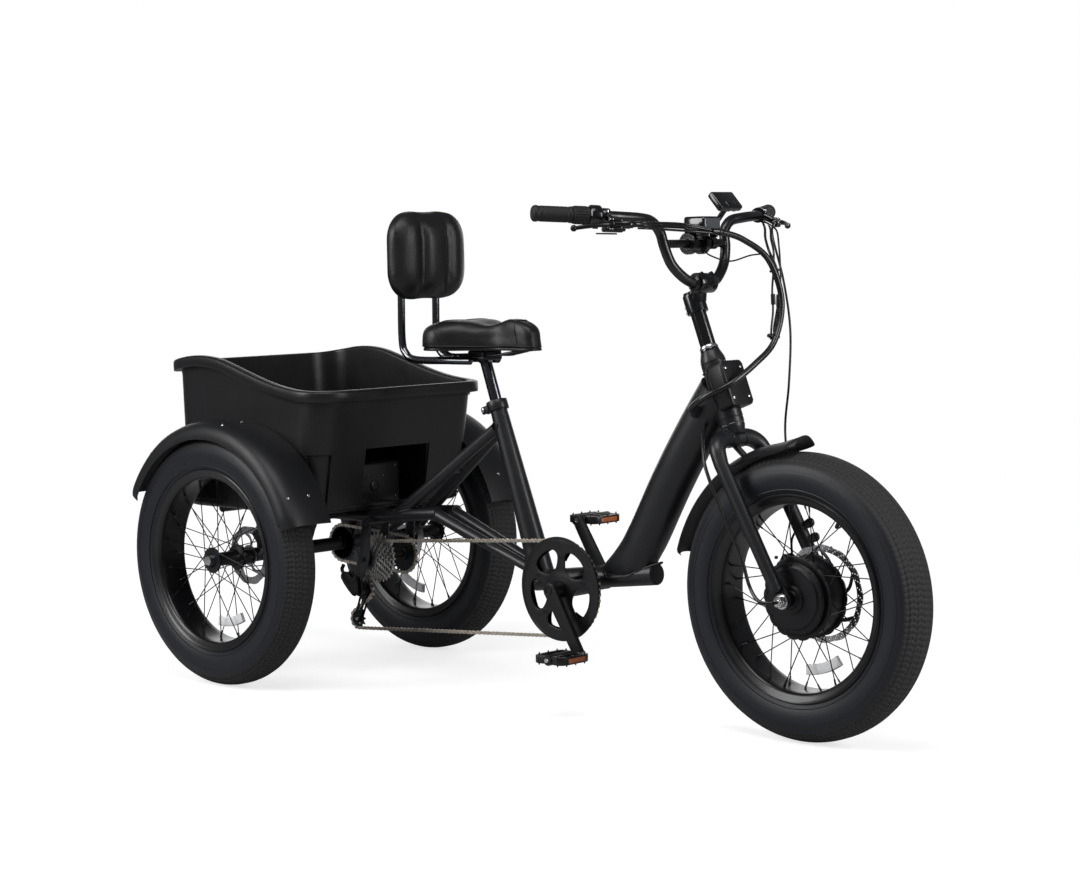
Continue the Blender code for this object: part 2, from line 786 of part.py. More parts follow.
def front_axle(paints):
    """The motor's fixed shaft with its nuts outside the dropouts."""
    radius = FRONT_AXLE_DIAMETER / 2
    outer = DROPOUT_HALF_GAP + DROPOUT_THICKNESS + GAP
    half = [
        (FRONT_AXLE_HALF, 0),
        (FRONT_AXLE_HALF, radius),
        (outer + 0.012, radius),
        (outer + 0.012, 0.0115),
        (outer, 0.0130),
        (outer, radius),
    ]
    profile = half + [(-along, around) for along, around in reversed(half)]
    return turned("front_axle", profile, FRONT_AXLE, LEFT, 8, paints["steel"])


def fork_crown():
    """The middle of the fork's crown, just under the lower bearing race."""
    return steer_point(-HEAD_COLLAR_LENGTH - HEAD_TUBE_LENGTH - GAP - CROWN_RACE_HEIGHT)


def fork_leg(side, extra, paints):
    """One bent fork leg, made thicker by an extra radius where it serves as a cutter."""
    crown = fork_crown()
    tip = FRONT_AXLE + Vector((-0.013, side * FORK_LEG_SPREAD, 0.020))
    path = smooth_path(
        [
            crown + Vector((-0.002, -side * (0.004 + 10 * extra), -0.023)),
            crown + Vector((0.004, side * 0.042, -0.023)),
            crown + Vector((0.014, side * 0.069, -0.038)),
            crown + Vector((0.030, side * FORK_LEG_SPREAD, -0.068)),
        ],
        2,
    )

    def size(share):
        """The leg's half thickness, narrowing towards its tip."""
        diameter = FORK_LEG_TOP_DIAMETER + (FORK_LEG_TIP_DIAMETER - FORK_LEG_TOP_DIAMETER) * share**2
        return diameter / 2 + extra, diameter / 2 + extra

    return swept("leg", [*path, tip], size, 10, paints["frame_paint"])


def fork(paints):
    """The fork: a steerer, a crown race, two bent legs and their dropouts."""
    crown = fork_crown()
    top = (HEAD_TOP - crown).length - GAP
    steerer = turned(
        "fork",
        [
            (-0.016, 0),
            (-0.016, 0.021),
            (0.0, 0.0255),
            (CROWN_RACE_HEIGHT, 0.0255),
            (CROWN_RACE_HEIGHT, STEERER_DIAMETER / 2),
            (top, STEERER_DIAMETER / 2),
            (top, 0),
        ],
        crown,
        STEER_UP,
        16,
        paints["frame_paint"],
    )
    pieces = [steerer]
    for side in (1, -1):
        pieces.append(fork_leg(side, 0.0, paints))
        planes = sorted((side * DROPOUT_HALF_GAP, side * (DROPOUT_HALF_GAP + DROPOUT_THICKNESS)))
        foot = capsule((0.0, 0.0), (-0.016, 0.030), 0.017, 0.0135, 5)
        pieces.append(side_plate("dropout", [foot], FRONT_AXLE, *planes, paints["frame_paint"]))
    body = fuse("fork", pieces)
    return cut(body, [cross_hole(FRONT_AXLE, FRONT_AXLE_DIAMETER + 2 * GAP, 0.3, paints["frame_paint"])])


def seat_tube(extra, below, paints):
    """The tapered seat tube, made thicker and carried on below its foot where it serves as a cutter."""
    whole = SEAT_TUBE_TOP - SEAT_TUBE_FOOT
    growth = (SEAT_TUBE_FOOT_DIAMETER - SEAT_TUBE_TOP_DIAMETER) * below / whole.length
    foot = SEAT_TUBE_FOOT - whole.normalized() * below
    foot_diameter = SEAT_TUBE_FOOT_DIAMETER + growth + 2 * extra
    top_diameter = SEAT_TUBE_TOP_DIAMETER + 2 * extra
    return rod("seat", foot, SEAT_TUBE_TOP, foot_diameter, 14, paints["frame_paint"], top_diameter)


def down_tube(extra, paints):
    """The oval down tube, made thicker by an extra radius where it serves as a cutter."""
    path = smooth_path(
        [
            steer_point(-0.083, -0.006),
            (0.4400, 0, 0.6120),
            (0.3705, 0, 0.5030),
            (0.3080, 0, 0.3950),
            (0.2680, 0, 0.3350),
            (0.2500, 0, 0.3000),
        ],
        2,
    )

    def size(share):
        """The half height, swelling where it meets the lower tube, and the half width, narrowing."""
        high = DOWN_TUBE_HEIGHT / 2 * (1 + 0.42 * max(0.0, (share - 0.72) / 0.28) ** 1.5)
        narrowing = 1 - 0.52 * max(0.0, (share - 0.62) / 0.38) ** 1.3
        wide = DOWN_TUBE_WIDTH / 2 * narrowing * (0.86 + 0.14 * min(1, share / 0.3))
        return high + extra, wide + extra

    return swept("down", path, size, 14, paints["frame_paint"])


def main_frame(paints):
    """The welded front frame: head tube, down tube, lower tube, bottom bracket and seat tube."""
    paint_used = paints["frame_paint"]
    bore = STEERER_DIAMETER / 2 + GAP
    outer = HEAD_TUBE_DIAMETER / 2
    low = -HEAD_COLLAR_LENGTH - HEAD_TUBE_LENGTH
    head = turned(
        "head",
        [
            (low, bore),
            (low, outer - 0.001),
            (low + 0.016, outer),
            (-HEAD_COLLAR_LENGTH, outer),
            (0.0, RISER_DIAMETER / 2 + 0.004),
            (0.0, bore),
        ],
        HEAD_TOP,
        STEER_UP,
        16,
        paint_used,
    )
    down = down_tube(0.0, paints)
    front_end = Vector((0.3280, 0, 0.3090))
    rear_end = SEAT_TUBE_FOOT + Vector((-0.024, 0, 0.002))
    lower = rod("lower", rear_end, front_end, FRAME_TUBE_DIAMETER, 14, paint_used)
    shell = rod(
        "shell",
        CRANK_CENTRE - LEFT * BOTTOM_BRACKET_WIDTH / 2,
        CRANK_CENTRE + LEFT * BOTTOM_BRACKET_WIDTH / 2,
        BOTTOM_BRACKET_DIAMETER,
        14,
        paint_used,
    )
    seat = seat_tube(0.0, 0.0, paints)
    frame = fuse("main_frame", [down, head, lower, shell, seat])
    along = (SEAT_TUBE_TOP - SEAT_TUBE_FOOT).normalized()
    seat_bore = rod(
        "bore",
        SEAT_TUBE_TOP - along * (SEATPOST_INSERT + 0.050),
        SEAT_TUBE_TOP + along * 0.05,
        SEATPOST_DIAMETER + 2 * GAP,
        12,
        paint_used,
    )
    steer_bore = rod("bore", steer_point(low - 0.05), steer_point(0.05), 2 * bore, 16, paint_used)
    lower_along = (front_end - rear_end).normalized()
    lower_bore = rod(
        "bore",
        front_end - lower_along * 0.060,
        front_end + lower_along * 0.05,
        FRAME_TUBE_DIAMETER - 0.006,
        14,
        paint_used,
    )
    spindle_bore = cross_hole(CRANK_CENTRE, SPINDLE_DIAMETER + 2 * GAP, 0.2, paint_used)
    return cut(frame, [seat_bore, steer_bore, lower_bore, spindle_bore])


def side_bar(side, extra, paints):
    """The bar that joins the cross tubes' ends beside a rear wheel and holds its brake caliper."""
    start = Vector((REAR_AXLE.x - 0.004, side * SIDE_BAR_REACH, RAIL_HEIGHT))
    end = start + FORWARD * (SIDE_BAR_LENGTH + 0.008)
    return rod("side_bar", start, end, SIDE_BAR_DIAMETER + 2 * extra, 6, paints["frame_paint"])


def rear_frame(paints):
    """The welded rear frame: stays, rails, cross tubes, axle housings and the chain's brackets."""
    paint_used = paints["frame_paint"]
    pieces = []
    rail_end = REAR_AXLE.x - 0.205
    for side in (1, -1):
        junction = Vector((-0.310, side * 0.031, RAIL_HEIGHT + 0.014))
        bend = Vector((-0.500, side * 0.058, RAIL_HEIGHT))
        straight = Vector((-0.600, side * RAIL_SPREAD, RAIL_HEIGHT))
        end = Vector((rail_end, side * RAIL_SPREAD, RAIL_HEIGHT))
        rail = smooth_path([junction, bend, straight, end], 2)
        pieces.append(swept("rail", rail, even(RAIL_DIAMETER / 2), 8, paint_used, UP))
        foot = Vector((-0.425, side * 0.049, RAIL_HEIGHT + 0.006))
        top = SEAT_TUBE_TOP + Vector((0.004, side * 0.010, -0.052))
        pieces.append(rod("stay", top, foot, STAY_DIAMETER, 10, paint_used, STAY_DIAMETER - 0.003))
        front = Vector((-0.016, side * 0.016, 0.289))
        back = junction + Vector((-0.012, 0, 0))
        thick = CHAINSTAY_DIAMETER + 0.004
        pieces.append(rod("chainstay", back, front, thick, 8, paint_used, CHAINSTAY_DIAMETER))
        hanger = [(-0.010, 0.0115), (0.010, 0.0115), (0.052, 0.092), (-0.052, 0.092)]
        plane = side * RAIL_SPREAD
        half = BRACKET_THICKNESS / 2
        pieces.append(side_plate("hanger", [hanger], REAR_AXLE, plane - half, plane + half, paint_used))
        inner_end = DRIVE_CHAIN_LINE + side * HOUSING_GAP / 2
        start, end = REAR_AXLE + LEFT * side * AXLE_HOUSING_END, REAR_AXLE + LEFT * inner_end
        bore = AXLE_DIAMETER + 6 * GAP
        pieces.append(sleeve("housing", start, end, AXLE_HOUSING_DIAMETER, bore, 10, paint_used))
        post_top = Vector((REAR_AXLE.x, side * SIDE_BAR_REACH, RAIL_HEIGHT))
        post_foot = Vector((REAR_AXLE.x, side * SIDE_BAR_REACH, WHEEL_RADIUS + AXLE_HOUSING_DIAMETER * 0.36))
        pieces.append(rod("post", post_top, post_foot, 0.018, 6, paint_used))
        pieces.append(side_bar(side, 0.0, paints))
        axle_end = REAR_AXLE + LEFT * side * 0.190
        high = axle_end + Vector((SIDE_BAR_LENGTH, 0, RAIL_HEIGHT - WHEEL_RADIUS))
        low = axle_end + (high - axle_end).normalized() * 0.012
        pieces.append(rod("strut", low, high, 0.016, 6, paint_used))
    crossings = ((REAR_AXLE.x + SIDE_BAR_LENGTH, 0.215), (REAR_AXLE.x, 0.225), (rail_end + 0.02, 0.180))
    for x, half_width in crossings:
        across = LEFT * half_width
        centre = Vector((x, 0, TUB_BOTTOM - GAP - CROSS_TUBE_DIAMETER / 2))
        pieces.append(rod("cross", centre - across, centre + across, CROSS_TUBE_DIAMETER, 8, paint_used))
    bridge = SEAT_TUBE_TOP.lerp(Vector((-0.425, 0, RAIL_HEIGHT)), 0.50) + Vector((0, 0, -0.022))
    pieces.append(rod("bridge", bridge - LEFT * 0.030, bridge + LEFT * 0.030, 0.014, 8, paint_used))
    carrier = Vector((JACKSHAFT.x + 0.012, 0, RAIL_HEIGHT - 0.014))
    right_end, left_end = carrier - LEFT * 0.0865, carrier + LEFT * 0.072
    pieces.append(rod("carrier", right_end, left_end, CROSS_TUBE_DIAMETER, 8, paint_used))
    arm = capsule((0.0, 0.0), (carrier.x - JACKSHAFT.x, carrier.z - JACKSHAFT.z), 0.0155, 0.0130, 6)
    for plane in (-0.022, 0.062):
        half = BRACKET_THICKNESS / 2
        pieces.append(side_plate("arm", [arm], JACKSHAFT, plane - half, plane + half, paint_used))
    dropout = [(0.024, 0.086), (-0.002, 0.086), (-0.016, 0.006), (-0.032, -0.030)]
    dropout += [(-0.032, -0.044), (-0.004, -0.044), (0.012, -0.012), (0.018, 0.006)]
    pieces.append(side_plate("dropout", [dropout], JACKSHAFT, -0.0835, -0.0785, paint_used))
    frame = fuse("rear_frame", pieces)
    seat = seat_tube(GAP, 0.060, paints)
    shaft = cross_hole(JACKSHAFT, JACKSHAFT_DIAMETER + 2 * GAP, 0.3, paint_used)
    return cut(frame, [seat, shaft])


def tub_rim_height(x):
    """The height of the tub's rim, low in front and swelling up over the wheels."""
    share = (x - TUB_FRONT) / (TUB_REAR - TUB_FRONT)
    share = min(1.0, max(0.0, share))
    swell = math.sin(math.pi * min(1.0, share / 0.86) ** 1.15 * 0.5) ** 2
    return 0.690 + 0.086 * swell - 0.028 * max(0.0, (share - 0.62) / 0.38) ** 1.4


def tub_outline(inset, lean):
    """The tub's outline from above as points, drawn in by an inset and by a lean of its walls."""
    front = TUB_FRONT - inset - lean * 0.050
    rear = TUB_REAR + inset + lean * 0.014
    half = TUB_HALF_WIDTH - inset
    radius = max(0.012, TUB_CORNER_RADIUS - inset)
    points = []
    steps = 7
    for step in range(steps + 1):
        x = rear + radius + (front - rear - 2 * radius) * step / steps
        points.append((x, -half))
    points += arc(radius, -math.pi / 2, 0, 5, (front - radius, -half + radius))[1:]
    points += arc(radius, 0, math.pi / 2, 5, (front - radius, half - radius))[:-1]
    for step in range(steps + 1):
        x = front - radius - (front - rear - 2 * radius) * step / steps
        points.append((x, half))
    points += arc(radius, math.pi / 2, math.pi, 5, (rear + radius, half - radius))[1:]
    points += arc(radius, math.pi, 3 * math.pi / 2, 5, (rear + radius, -half + radius))[:-1]
    return points


def cargo_tub(paints):
    """The moulded tub: leaning walls, a rolled wavy rim and a tunnel over the battery."""

    def ring(inset, share, drop=0.0):
        """One level of the wall, from the floor at 0 to the rim's height at 1."""
        lean = 1.0 - share
        level = []
        for x, y in tub_outline(inset, lean):
            rim_top = tub_rim_height(x)
            level.append(Vector((x, y, TUB_BOTTOM + (rim_top - TUB_BOTTOM) * share - drop)))
        return level

    bm = bmesh.new()
    skin(
        bm,
        [
            ring(0.016, 0.0),
            ring(0.000, 0.045),
            ring(0.000, 1.0, TUB_RIM_BAND + 0.004),
            ring(-TUB_RIM_OVERHANG, 1.0, TUB_RIM_BAND),
            ring(-TUB_RIM_OVERHANG - 0.002, 1.0, 0.004),
            ring(-TUB_RIM_OVERHANG + 0.004, 1.0, 0.0),
            ring(TUB_WALL, 1.0, 0.0),
            ring(TUB_WALL, 0.055),
            ring(0.020, 0.018),
        ],
    )
    tub = solid("cargo_tub", bm, paints["tub_plastic"])
    bm = bmesh.new()
    skin(bm, [ring(0.016, 0.0), ring(0.000, 0.045), ring(0.000, 1.0, TUB_RIM_BAND)])
    outside = solid("outside", bm, paints["tub_plastic"])
    hump = box_between(
        "hump",
        (TUNNEL_REAR - TUB_WALL, -TUNNEL_WIDTH / 2 - TUB_WALL, TUB_BOTTOM + 0.002),
        (TUB_FRONT + 0.05, TUNNEL_WIDTH / 2 + TUB_WALL, TUB_BOTTOM + TUNNEL_HEIGHT + TUB_WALL),
        paints["tub_plastic"],
    )
    hump = combine(hump, [outside], "INTERSECT")
    tunnel = box_between(
        "tunnel",
        (TUNNEL_REAR, -TUNNEL_WIDTH / 2, TUB_BOTTOM - 0.05),
        (TUNNEL_FRONT, TUNNEL_WIDTH / 2, TUB_BOTTOM + TUNNEL_HEIGHT),
        paints["tub_plastic"],
    )
    door = box_between(
        "door",
        (TUNNEL_FRONT - 0.02, -TUNNEL_WIDTH / 2, TUB_BOTTOM + TUNNEL_SILL),
        (TUB_FRONT + 0.06, TUNNEL_WIDTH / 2, TUB_BOTTOM + TUNNEL_HEIGHT),
        paints["tub_plastic"],
    )
    return cut(fuse("cargo_tub", [tub, hump]), [tunnel, door])


def rear_fender(name, side, paints):
    """A mudguard over a rear wheel, with a turned-down outer skirt and a flange at the tub."""
    track = REAR_TRACK / 2
    outer = track + REAR_FENDER_OUTER
    inner = TUB_HALF_WIDTH + GAP
    crown = WHEEL_RADIUS + REAR_FENDER_CROWN
    profile = [
        (outer, crown - 0.040),
        (outer - 0.003, crown - 0.018),
        (outer - 0.016, crown - 0.005),
        (track, crown),
        (inner + 0.012, crown - 0.003),
        (inner, crown - 0.006),
    ]
    thick = FENDER_THICKNESS
    closed = profile + [(inner, crown - 0.006 - thick)]
    closed += [(along - 0.001, radius - thick) for along, radius in reversed(profile[:-1])]
    rings = []
    steps = 13
    for step in range(steps + 1):
        angle = math.radians(18 + 136 * step / steps)
        outward = FORWARD * math.cos(angle) + UP * math.sin(angle)
        rings.append([REAR_AXLE + LEFT * side * along + outward * radius for along, radius in closed])
    bm = bmesh.new()
    skin(bm, rings)
    return solid(name, bm, paints["tub_plastic"])


def front_fender(paints):
    """The front mudguard: a crowned strip round the tyre with a flared tip, and its tab at the crown."""
    half = FRONT_FENDER_WIDTH / 2
    rings = []
    steps = 11
    for step in range(steps + 1):
        share = step / steps
        angle = math.radians(90 + 78 * share)
        radius = WHEEL_RADIUS + 0.018 + 0.018 * share + 0.016 * max(0.0, 1 - share * 6) ** 2
        outward = FORWARD * math.cos(angle) + UP * math.sin(angle)
        across = [(-1.0, 0.020), (-0.72, 0.007), (0.0, 0.0), (0.72, 0.007), (1.0, 0.020)]
        ring = [FRONT_AXLE + LEFT * half * along + outward * (radius - drop) for along, drop in across]
        ring += [
            FRONT_AXLE + LEFT * (half * along * 0.97) + outward * (radius - drop - FENDER_THICKNESS)
            for along, drop in reversed(across)
        ]
        rings.append(ring)
    bm = bmesh.new()
    skin(bm, rings)
    guard = solid("front_fender", bm, paints["black_plastic"])
    outward = (fork_crown() - FRONT_AXLE).normalized()
    foot = FRONT_AXLE + outward * (WHEEL_RADIUS + 0.0225)
    top = fork_crown() + Vector((-0.002, 0, -0.032))
    tab = rod("tab", foot, top, 0.014, 8, paints["black_plastic"])
    legs = [fork_leg(side, GAP, paints) for side in (1, -1)]
    return cut(fuse("front_fender", [guard, tab]), legs)


def live_axle(paints):
    """The axle that the driven wheel turns with, and its sprocket."""
    end = REAR_TRACK / 2 + HUB_WIDTH / 2 + HUB_CAP_LENGTH + 0.002
    radius = AXLE_DIAMETER / 2
    inner_end = REAR_ROTOR_REACH - 0.003 - GAP
    profile = [
        (-end, 0),
        (-end, radius),
        (-inner_end, radius),
        (-inner_end, 0.015),
        (-AXLE_HOUSING_END - GAP, 0.015),
        (-AXLE_HOUSING_END - GAP, radius),
        (AXLE_HOUSING_END + GAP, radius),
        (AXLE_HOUSING_END + GAP, 0.015),
        (inner_end, 0.015),
        (inner_end, radius),
        (end, radius),
        (end, 0),
    ]
    axle = turned("axle", profile, REAR_AXLE, LEFT, 12, paints["dark_steel"])
    return fuse("live_axle", [axle, *drive_sprocket(1, REAR_AXLE, paints)])


def drive_sprocket(index, centre, paints):
    """One of the second chain's two sprockets with its boss."""
    outline = toothed(DRIVE_TEETH, DRIVE_BELT.phase(index, CHAIN_PITCH))
    half = COG_THICKNESS / 2
    middle = DRIVE_CHAIN_LINE
    toothed_disc = side_plate("teeth", [outline], centre, middle - half, middle + half, paints["dark_steel"])
    start = Vector((centre.x, middle - 0.007, centre.z))
    boss = rod("boss", start, start + LEFT * 0.014, 0.032, 8, paints["dark_steel"])
    return [toothed_disc, boss]


def jackshaft(paints):
    """The shaft between the two chains, which carries the cassette's freewheel and drives the axle."""
    radius = JACKSHAFT_DIAMETER / 2
    shaft = turned(
        "jackshaft",
        [(-0.090, 0), (-0.090, 0.0055), (-0.0838, 0.0055), (-0.0838, radius), (0.070, radius), (0.070, 0)],
        JACKSHAFT,
        LEFT,
        12,
        paints["dark_steel"],
    )
    return fuse("jackshaft", [shaft, *drive_sprocket(0, JACKSHAFT, paints)])


def cassette(paints):
    """Seven toothed cogs on one hollow body, free to turn on the jackshaft."""
    first = CHAIN_LINE - COG_SPACING * COG_IN_USE
    phase = MAIN_BELT.phase(1, CHAIN_PITCH)
    core = circle(CASSETTE_CORE_RADIUS, 8)
    bore = circle((JACKSHAFT_DIAMETER / 2 + 2 * GAP) / math.cos(math.pi / 8), 8)

    def loop(bm, outline, plane):
        """One ring of vertices round the jackshaft."""
        return [bm.verts.new((JACKSHAFT.x + u, plane, JACKSHAFT.z + v)) for u, v in outline]

    def closed_edges(bm, ring):
        """The edges that join a ring's vertices, made where they are missing."""
        pairs = [(ring[index - 1], ring[index]) for index in range(len(ring))]
        return [bm.edges.get(pair) or bm.edges.new(pair) for pair in pairs]

    def band(bm, lower, upper):
        """The wall between two rings of as many points."""
        for index in range(len(lower)):
            bm.faces.new((lower[index - 1], lower[index], upper[index], upper[index - 1]))

    bm = bmesh.new()
    low = first - 0.003
    start = loop(bm, core, low)
    hole_start = loop(bm, bore, low)
    band(bm, start, hole_start)
    here = start
    for index, teeth in enumerate(COG_TEETH):
        plane = first + COG_SPACING * index
        before = loop(bm, core, plane - COG_THICKNESS / 2)
        after = loop(bm, core, plane + COG_THICKNESS / 2)
        edge = loop(bm, toothed(teeth, phase), plane)
        band(bm, here, before)
        for ring in (before, after):
            bmesh.ops.bridge_loops(bm, edges=closed_edges(bm, edge) + closed_edges(bm, ring))
        here = after
    end = loop(bm, core, plane + COG_THICKNESS / 2 + 0.003)
    hole_end = loop(bm, bore, plane + COG_THICKNESS / 2 + 0.003)
    band(bm, here, end)
    band(bm, end, hole_end)
    band(bm, hole_start, hole_end)
    return solid("cassette", bm, paints["steel"])


def pulley(name, index, centre, paints):
    """A toothed jockey wheel with a hole for its bolt."""
    outline = toothed(PULLEY_TEETH, MAIN_BELT.phase(index, CHAIN_PITCH))
    outlines = [outline, circle(0.0036, 8)]
    half = 0.0014
    return side_plate(name, outlines, centre, CHAIN_LINE - half, CHAIN_LINE + half, paints["black_plastic"])


def derailleur_cage(paints):
    """Two plates either side of the pulleys, joined by the pulleys' bolts."""
    reach = TENSION_PULLEY - GUIDE_PULLEY
    shape = capsule((0.0, 0.0), (reach.x, reach.z), 0.0115, 0.0095, 5)
    inner_gap = CHAIN_OUTER_HALF_WIDTH + 0.0010
    sides = []
    for plane in (CHAIN_LINE - inner_gap - 0.0015, CHAIN_LINE + inner_gap):
        sides.append(side_plate("side", [shape], GUIDE_PULLEY, plane, plane + 0.0015, paints["dark_steel"]))
    bolts = []
    for centre in (GUIDE_PULLEY, TENSION_PULLEY):
        low = centre + LEFT * (CHAIN_LINE - inner_gap - 0.0010)
        high = centre + LEFT * (CHAIN_LINE + inner_gap + 0.0010)
        bolts.append(rod("bolt", low, high, 0.0060, 8, paints["dark_steel"]))
    return fuse("derailleur_cage", [*sides, *bolts])


def derailleur_body(paints):
    """The moving knuckle that carries the cage across the cogs, and the link above it."""
    near = CHAIN_LINE - CHAIN_OUTER_HALF_WIDTH - 0.0025 - GAP
    knuckle = rod(
        "knuckle",
        GUIDE_PULLEY + LEFT * (near - 0.020),
        GUIDE_PULLEY + LEFT * near,
        0.026,
        12,
        paints["dark_steel"],
    )
    link = side_plate(
        "link",
        [[(-0.046, 0.030), (-0.030, 0.046), (-0.012, 0.0347), (0.006, 0.0347), (0.009, 0.000), (-0.006, -0.009)]],
        GUIDE_PULLEY,
        near - 0.034,
        near - 0.012,
        paints["dark_steel"],
    )
    return fuse("derailleur_body", [link, knuckle])


def caliper(name, centre, outward, plane, radius, paints, bracket_end, clear_of):
    """A brake caliper that straddles its disc's edge, with the bracket that holds it."""
    along = outward.cross(LEFT)
    place = centre + outward * radius + LEFT * plane
    body = block(name, place, (0.030, 0.034, 0.046), paints["motor_black"], (outward, LEFT, along), 0.004)
    bracket = rod("bracket", place + outward * 0.004, bracket_end, 0.012, 8, paints["motor_black"])
    slot = block(
        "slot",
        place - outward * 0.020,
        (0.040, ROTOR_THICKNESS + 4 * GAP, 0.12),
        paints["motor_black"],
        (outward, LEFT, along),
    )
    return cut(fuse(name, [body, bracket]), [slot, *clear_of])


def rear_caliper(name, side, paints):
    """A rear brake caliper under the frame's side bar."""
    outward = Vector((0.75, 0, 0.66)).normalized()
    end = Vector((REAR_AXLE.x + 0.068, side * SIDE_BAR_REACH, RAIL_HEIGHT - 0.002))
    radius = REAR_ROTOR_DIAMETER / 2 + 0.001
    bar = side_bar(side, GAP, paints)
    return caliper(name, REAR_AXLE, outward, side * REAR_ROTOR_REACH, radius, paints, end, [bar])


def front_caliper(paints):
    """The front brake caliper behind the left fork leg."""
    outward = Vector((-0.866, 0, 0.5)).normalized()
    end = FRONT_AXLE + Vector((-0.040, FORK_LEG_SPREAD - 0.008, 0.066))
    radius = FRONT_ROTOR_DIAMETER / 2 + 0.001
    plane = MOTOR_FAR_FACE + FRONT_ROTOR_REACH
    leg = fork_leg(1, GAP, paints)
    return caliper("front_caliper", FRONT_AXLE, outward, plane, radius, paints, end, [leg])


def chainring(paints):
    """The chainring: its toothed edge on a ring with five inner tabs."""
    outline = toothed(CHAINRING_TEETH, MAIN_BELT.phase(0, CHAIN_PITCH))
    inner = []
    for index in range(5):
        middle = 2 * math.pi * index / 5 + CRANK_ANGLE
        inner += arc(0.0620, middle - 0.13, middle + 0.13, 3)
        inner += arc(0.0880, middle + 0.26, middle + 2 * math.pi / 5 - 0.26, 4)
    half = COG_THICKNESS / 2
    middle = CHAIN_LINE
    return side_plate("chainring", [outline, inner], CRANK_CENTRE, middle - half, middle + half, paints["motor_black"])


def crank_arm(side, heading, paints):
    """One crank arm from its boss to the pedal's thread, with the pedal's spindle."""
    tip = (CRANK_LENGTH * math.cos(heading), CRANK_LENGTH * math.sin(heading))
    inner = CRANK_ARM_INNER
    outer = inner + CRANK_ARM_THICKNESS
    shape = capsule((0.0, 0.0), tip, CRANK_ARM_WIDTH / 2 + 0.003, CRANK_ARM_WIDTH / 2, 6)
    low, high = sorted((side * inner, side * outer))
    arm = side_plate("arm", [shape], CRANK_CENTRE, low, high, paints["motor_black"])
    foot = CRANK_CENTRE + Vector((tip[0], 0, tip[1]))
    spindle = rod(
        "pedal_spindle",
        foot + LEFT * side * (inner + 0.001),
        foot + LEFT * side * (outer + PEDAL_LENGTH + 0.003),
        PEDAL_SPINDLE_DIAMETER,
        10,
        paints["steel"],
    )
    return [arm, spindle]


def crank_right(paints):
    """The right crank with its boss, its five-armed guard and the bosses that hold the chainring."""
    ring_plane = CHAIN_LINE - GUARD_OFFSET
    outlines = [circle(GUARD_DIAMETER / 2, 32)]
    for index in range(5):
        middle = 2 * math.pi * (index + 0.5) / 5 + CRANK_ANGLE
        outlines.append(arc(0.088, middle - 0.50, middle + 0.50, 5) + arc(0.040, middle + 0.30, middle - 0.30, 2))
    guard = side_plate(
        "guard", outlines, CRANK_CENTRE, ring_plane - GUARD_THICKNESS / 2, ring_plane + GUARD_THICKNESS / 2,
        paints["motor_black"],
    )
    spindle_end = -BOTTOM_BRACKET_WIDTH / 2 - 0.004
    boss = rod(
        "boss",
        CRANK_CENTRE + LEFT * spindle_end,
        CRANK_CENTRE - LEFT * (CRANK_ARM_INNER + CRANK_ARM_THICKNESS),
        0.036,
        12,
        paints["motor_black"],
    )
    bolts = []
    for index in range(5):
        angle = 2 * math.pi * index / 5 + CRANK_ANGLE
        place = CRANK_CENTRE + Vector((math.cos(angle), 0, math.sin(angle))) * 0.070
        bolts.append(
            rod(
                "bolt",
                place + LEFT * (ring_plane - 0.004),
                place + LEFT * (CHAIN_LINE - COG_THICKNESS / 2 - GAP),
                0.012,
                6,
                paints["motor_black"],
            )
        )
    return fuse("crank_right", [boss, guard, *bolts, *crank_arm(-1, CRANK_ANGLE, paints)])


def crank_left(paints):
    """The left crank and the spindle that runs through the bottom bracket to the right one."""
    start = CRANK_CENTRE - LEFT * (BOTTOM_BRACKET_WIDTH / 2 + 0.004 - GAP)
    end = CRANK_CENTRE + LEFT * (CRANK_ARM_INNER + CRANK_ARM_THICKNESS)
    spindle = rod("spindle", start, end - LEFT * 0.004, SPINDLE_DIAMETER, 12, paints["steel"])
    boss_start = CRANK_CENTRE + LEFT * (BOTTOM_BRACKET_WIDTH / 2 + 0.006)
    boss = rod("boss", boss_start, end, 0.034, 16, paints["motor_black"])
    return fuse("crank_left", [boss, spindle, *crank_arm(1, CRANK_ANGLE + math.pi, paints)])


def pedal(name, side, heading, paints):
    """A platform pedal: a frame of plastic round two openings and a barrel on the spindle."""
    centre = CRANK_CENTRE + Vector((math.cos(heading), 0, math.sin(heading))) * CRANK_LENGTH
    middle = side * (CRANK_ARM_INNER + CRANK_ARM_THICKNESS + 0.0015 + PEDAL_LENGTH / 2)
    half_x, half_y = PEDAL_WIDTH / 2, PEDAL_LENGTH / 2
    corner = 0.014
    edge = [
        (half_x, -half_y + corner), (half_x, half_y - corner), (half_x - corner, half_y),
        (-half_x + corner, half_y), (-half_x, half_y - corner), (-half_x, -half_y + corner),
        (-half_x + corner, -half_y), (half_x - corner, -half_y),
    ]
    holes = []
    for way in (1, -1):
        holes.append(
            [(way * 0.0125, -0.034), (way * 0.034, -0.034), (way * 0.034, 0.034), (way * 0.0125, 0.034)]
        )
    place = centre + LEFT * middle - UP * PEDAL_THICKNESS / 2
    platform = plate(name, [edge, *holes], place, FORWARD, LEFT, PEDAL_THICKNESS, paints["black_plastic"])
    start = centre + LEFT * (middle - half_y)
    barrel = rod("barrel", start, start + LEFT * PEDAL_LENGTH, 0.0225, 10, paints["black_plastic"])
    bore_diameter = (PEDAL_SPINDLE_DIAMETER + 2 * GAP) / math.cos(math.pi / 10)
    bore = cross_hole(centre, bore_diameter, 0.6, paints["black_plastic"], 10)
    return cut(fuse(name, [platform, barrel]), [bore])


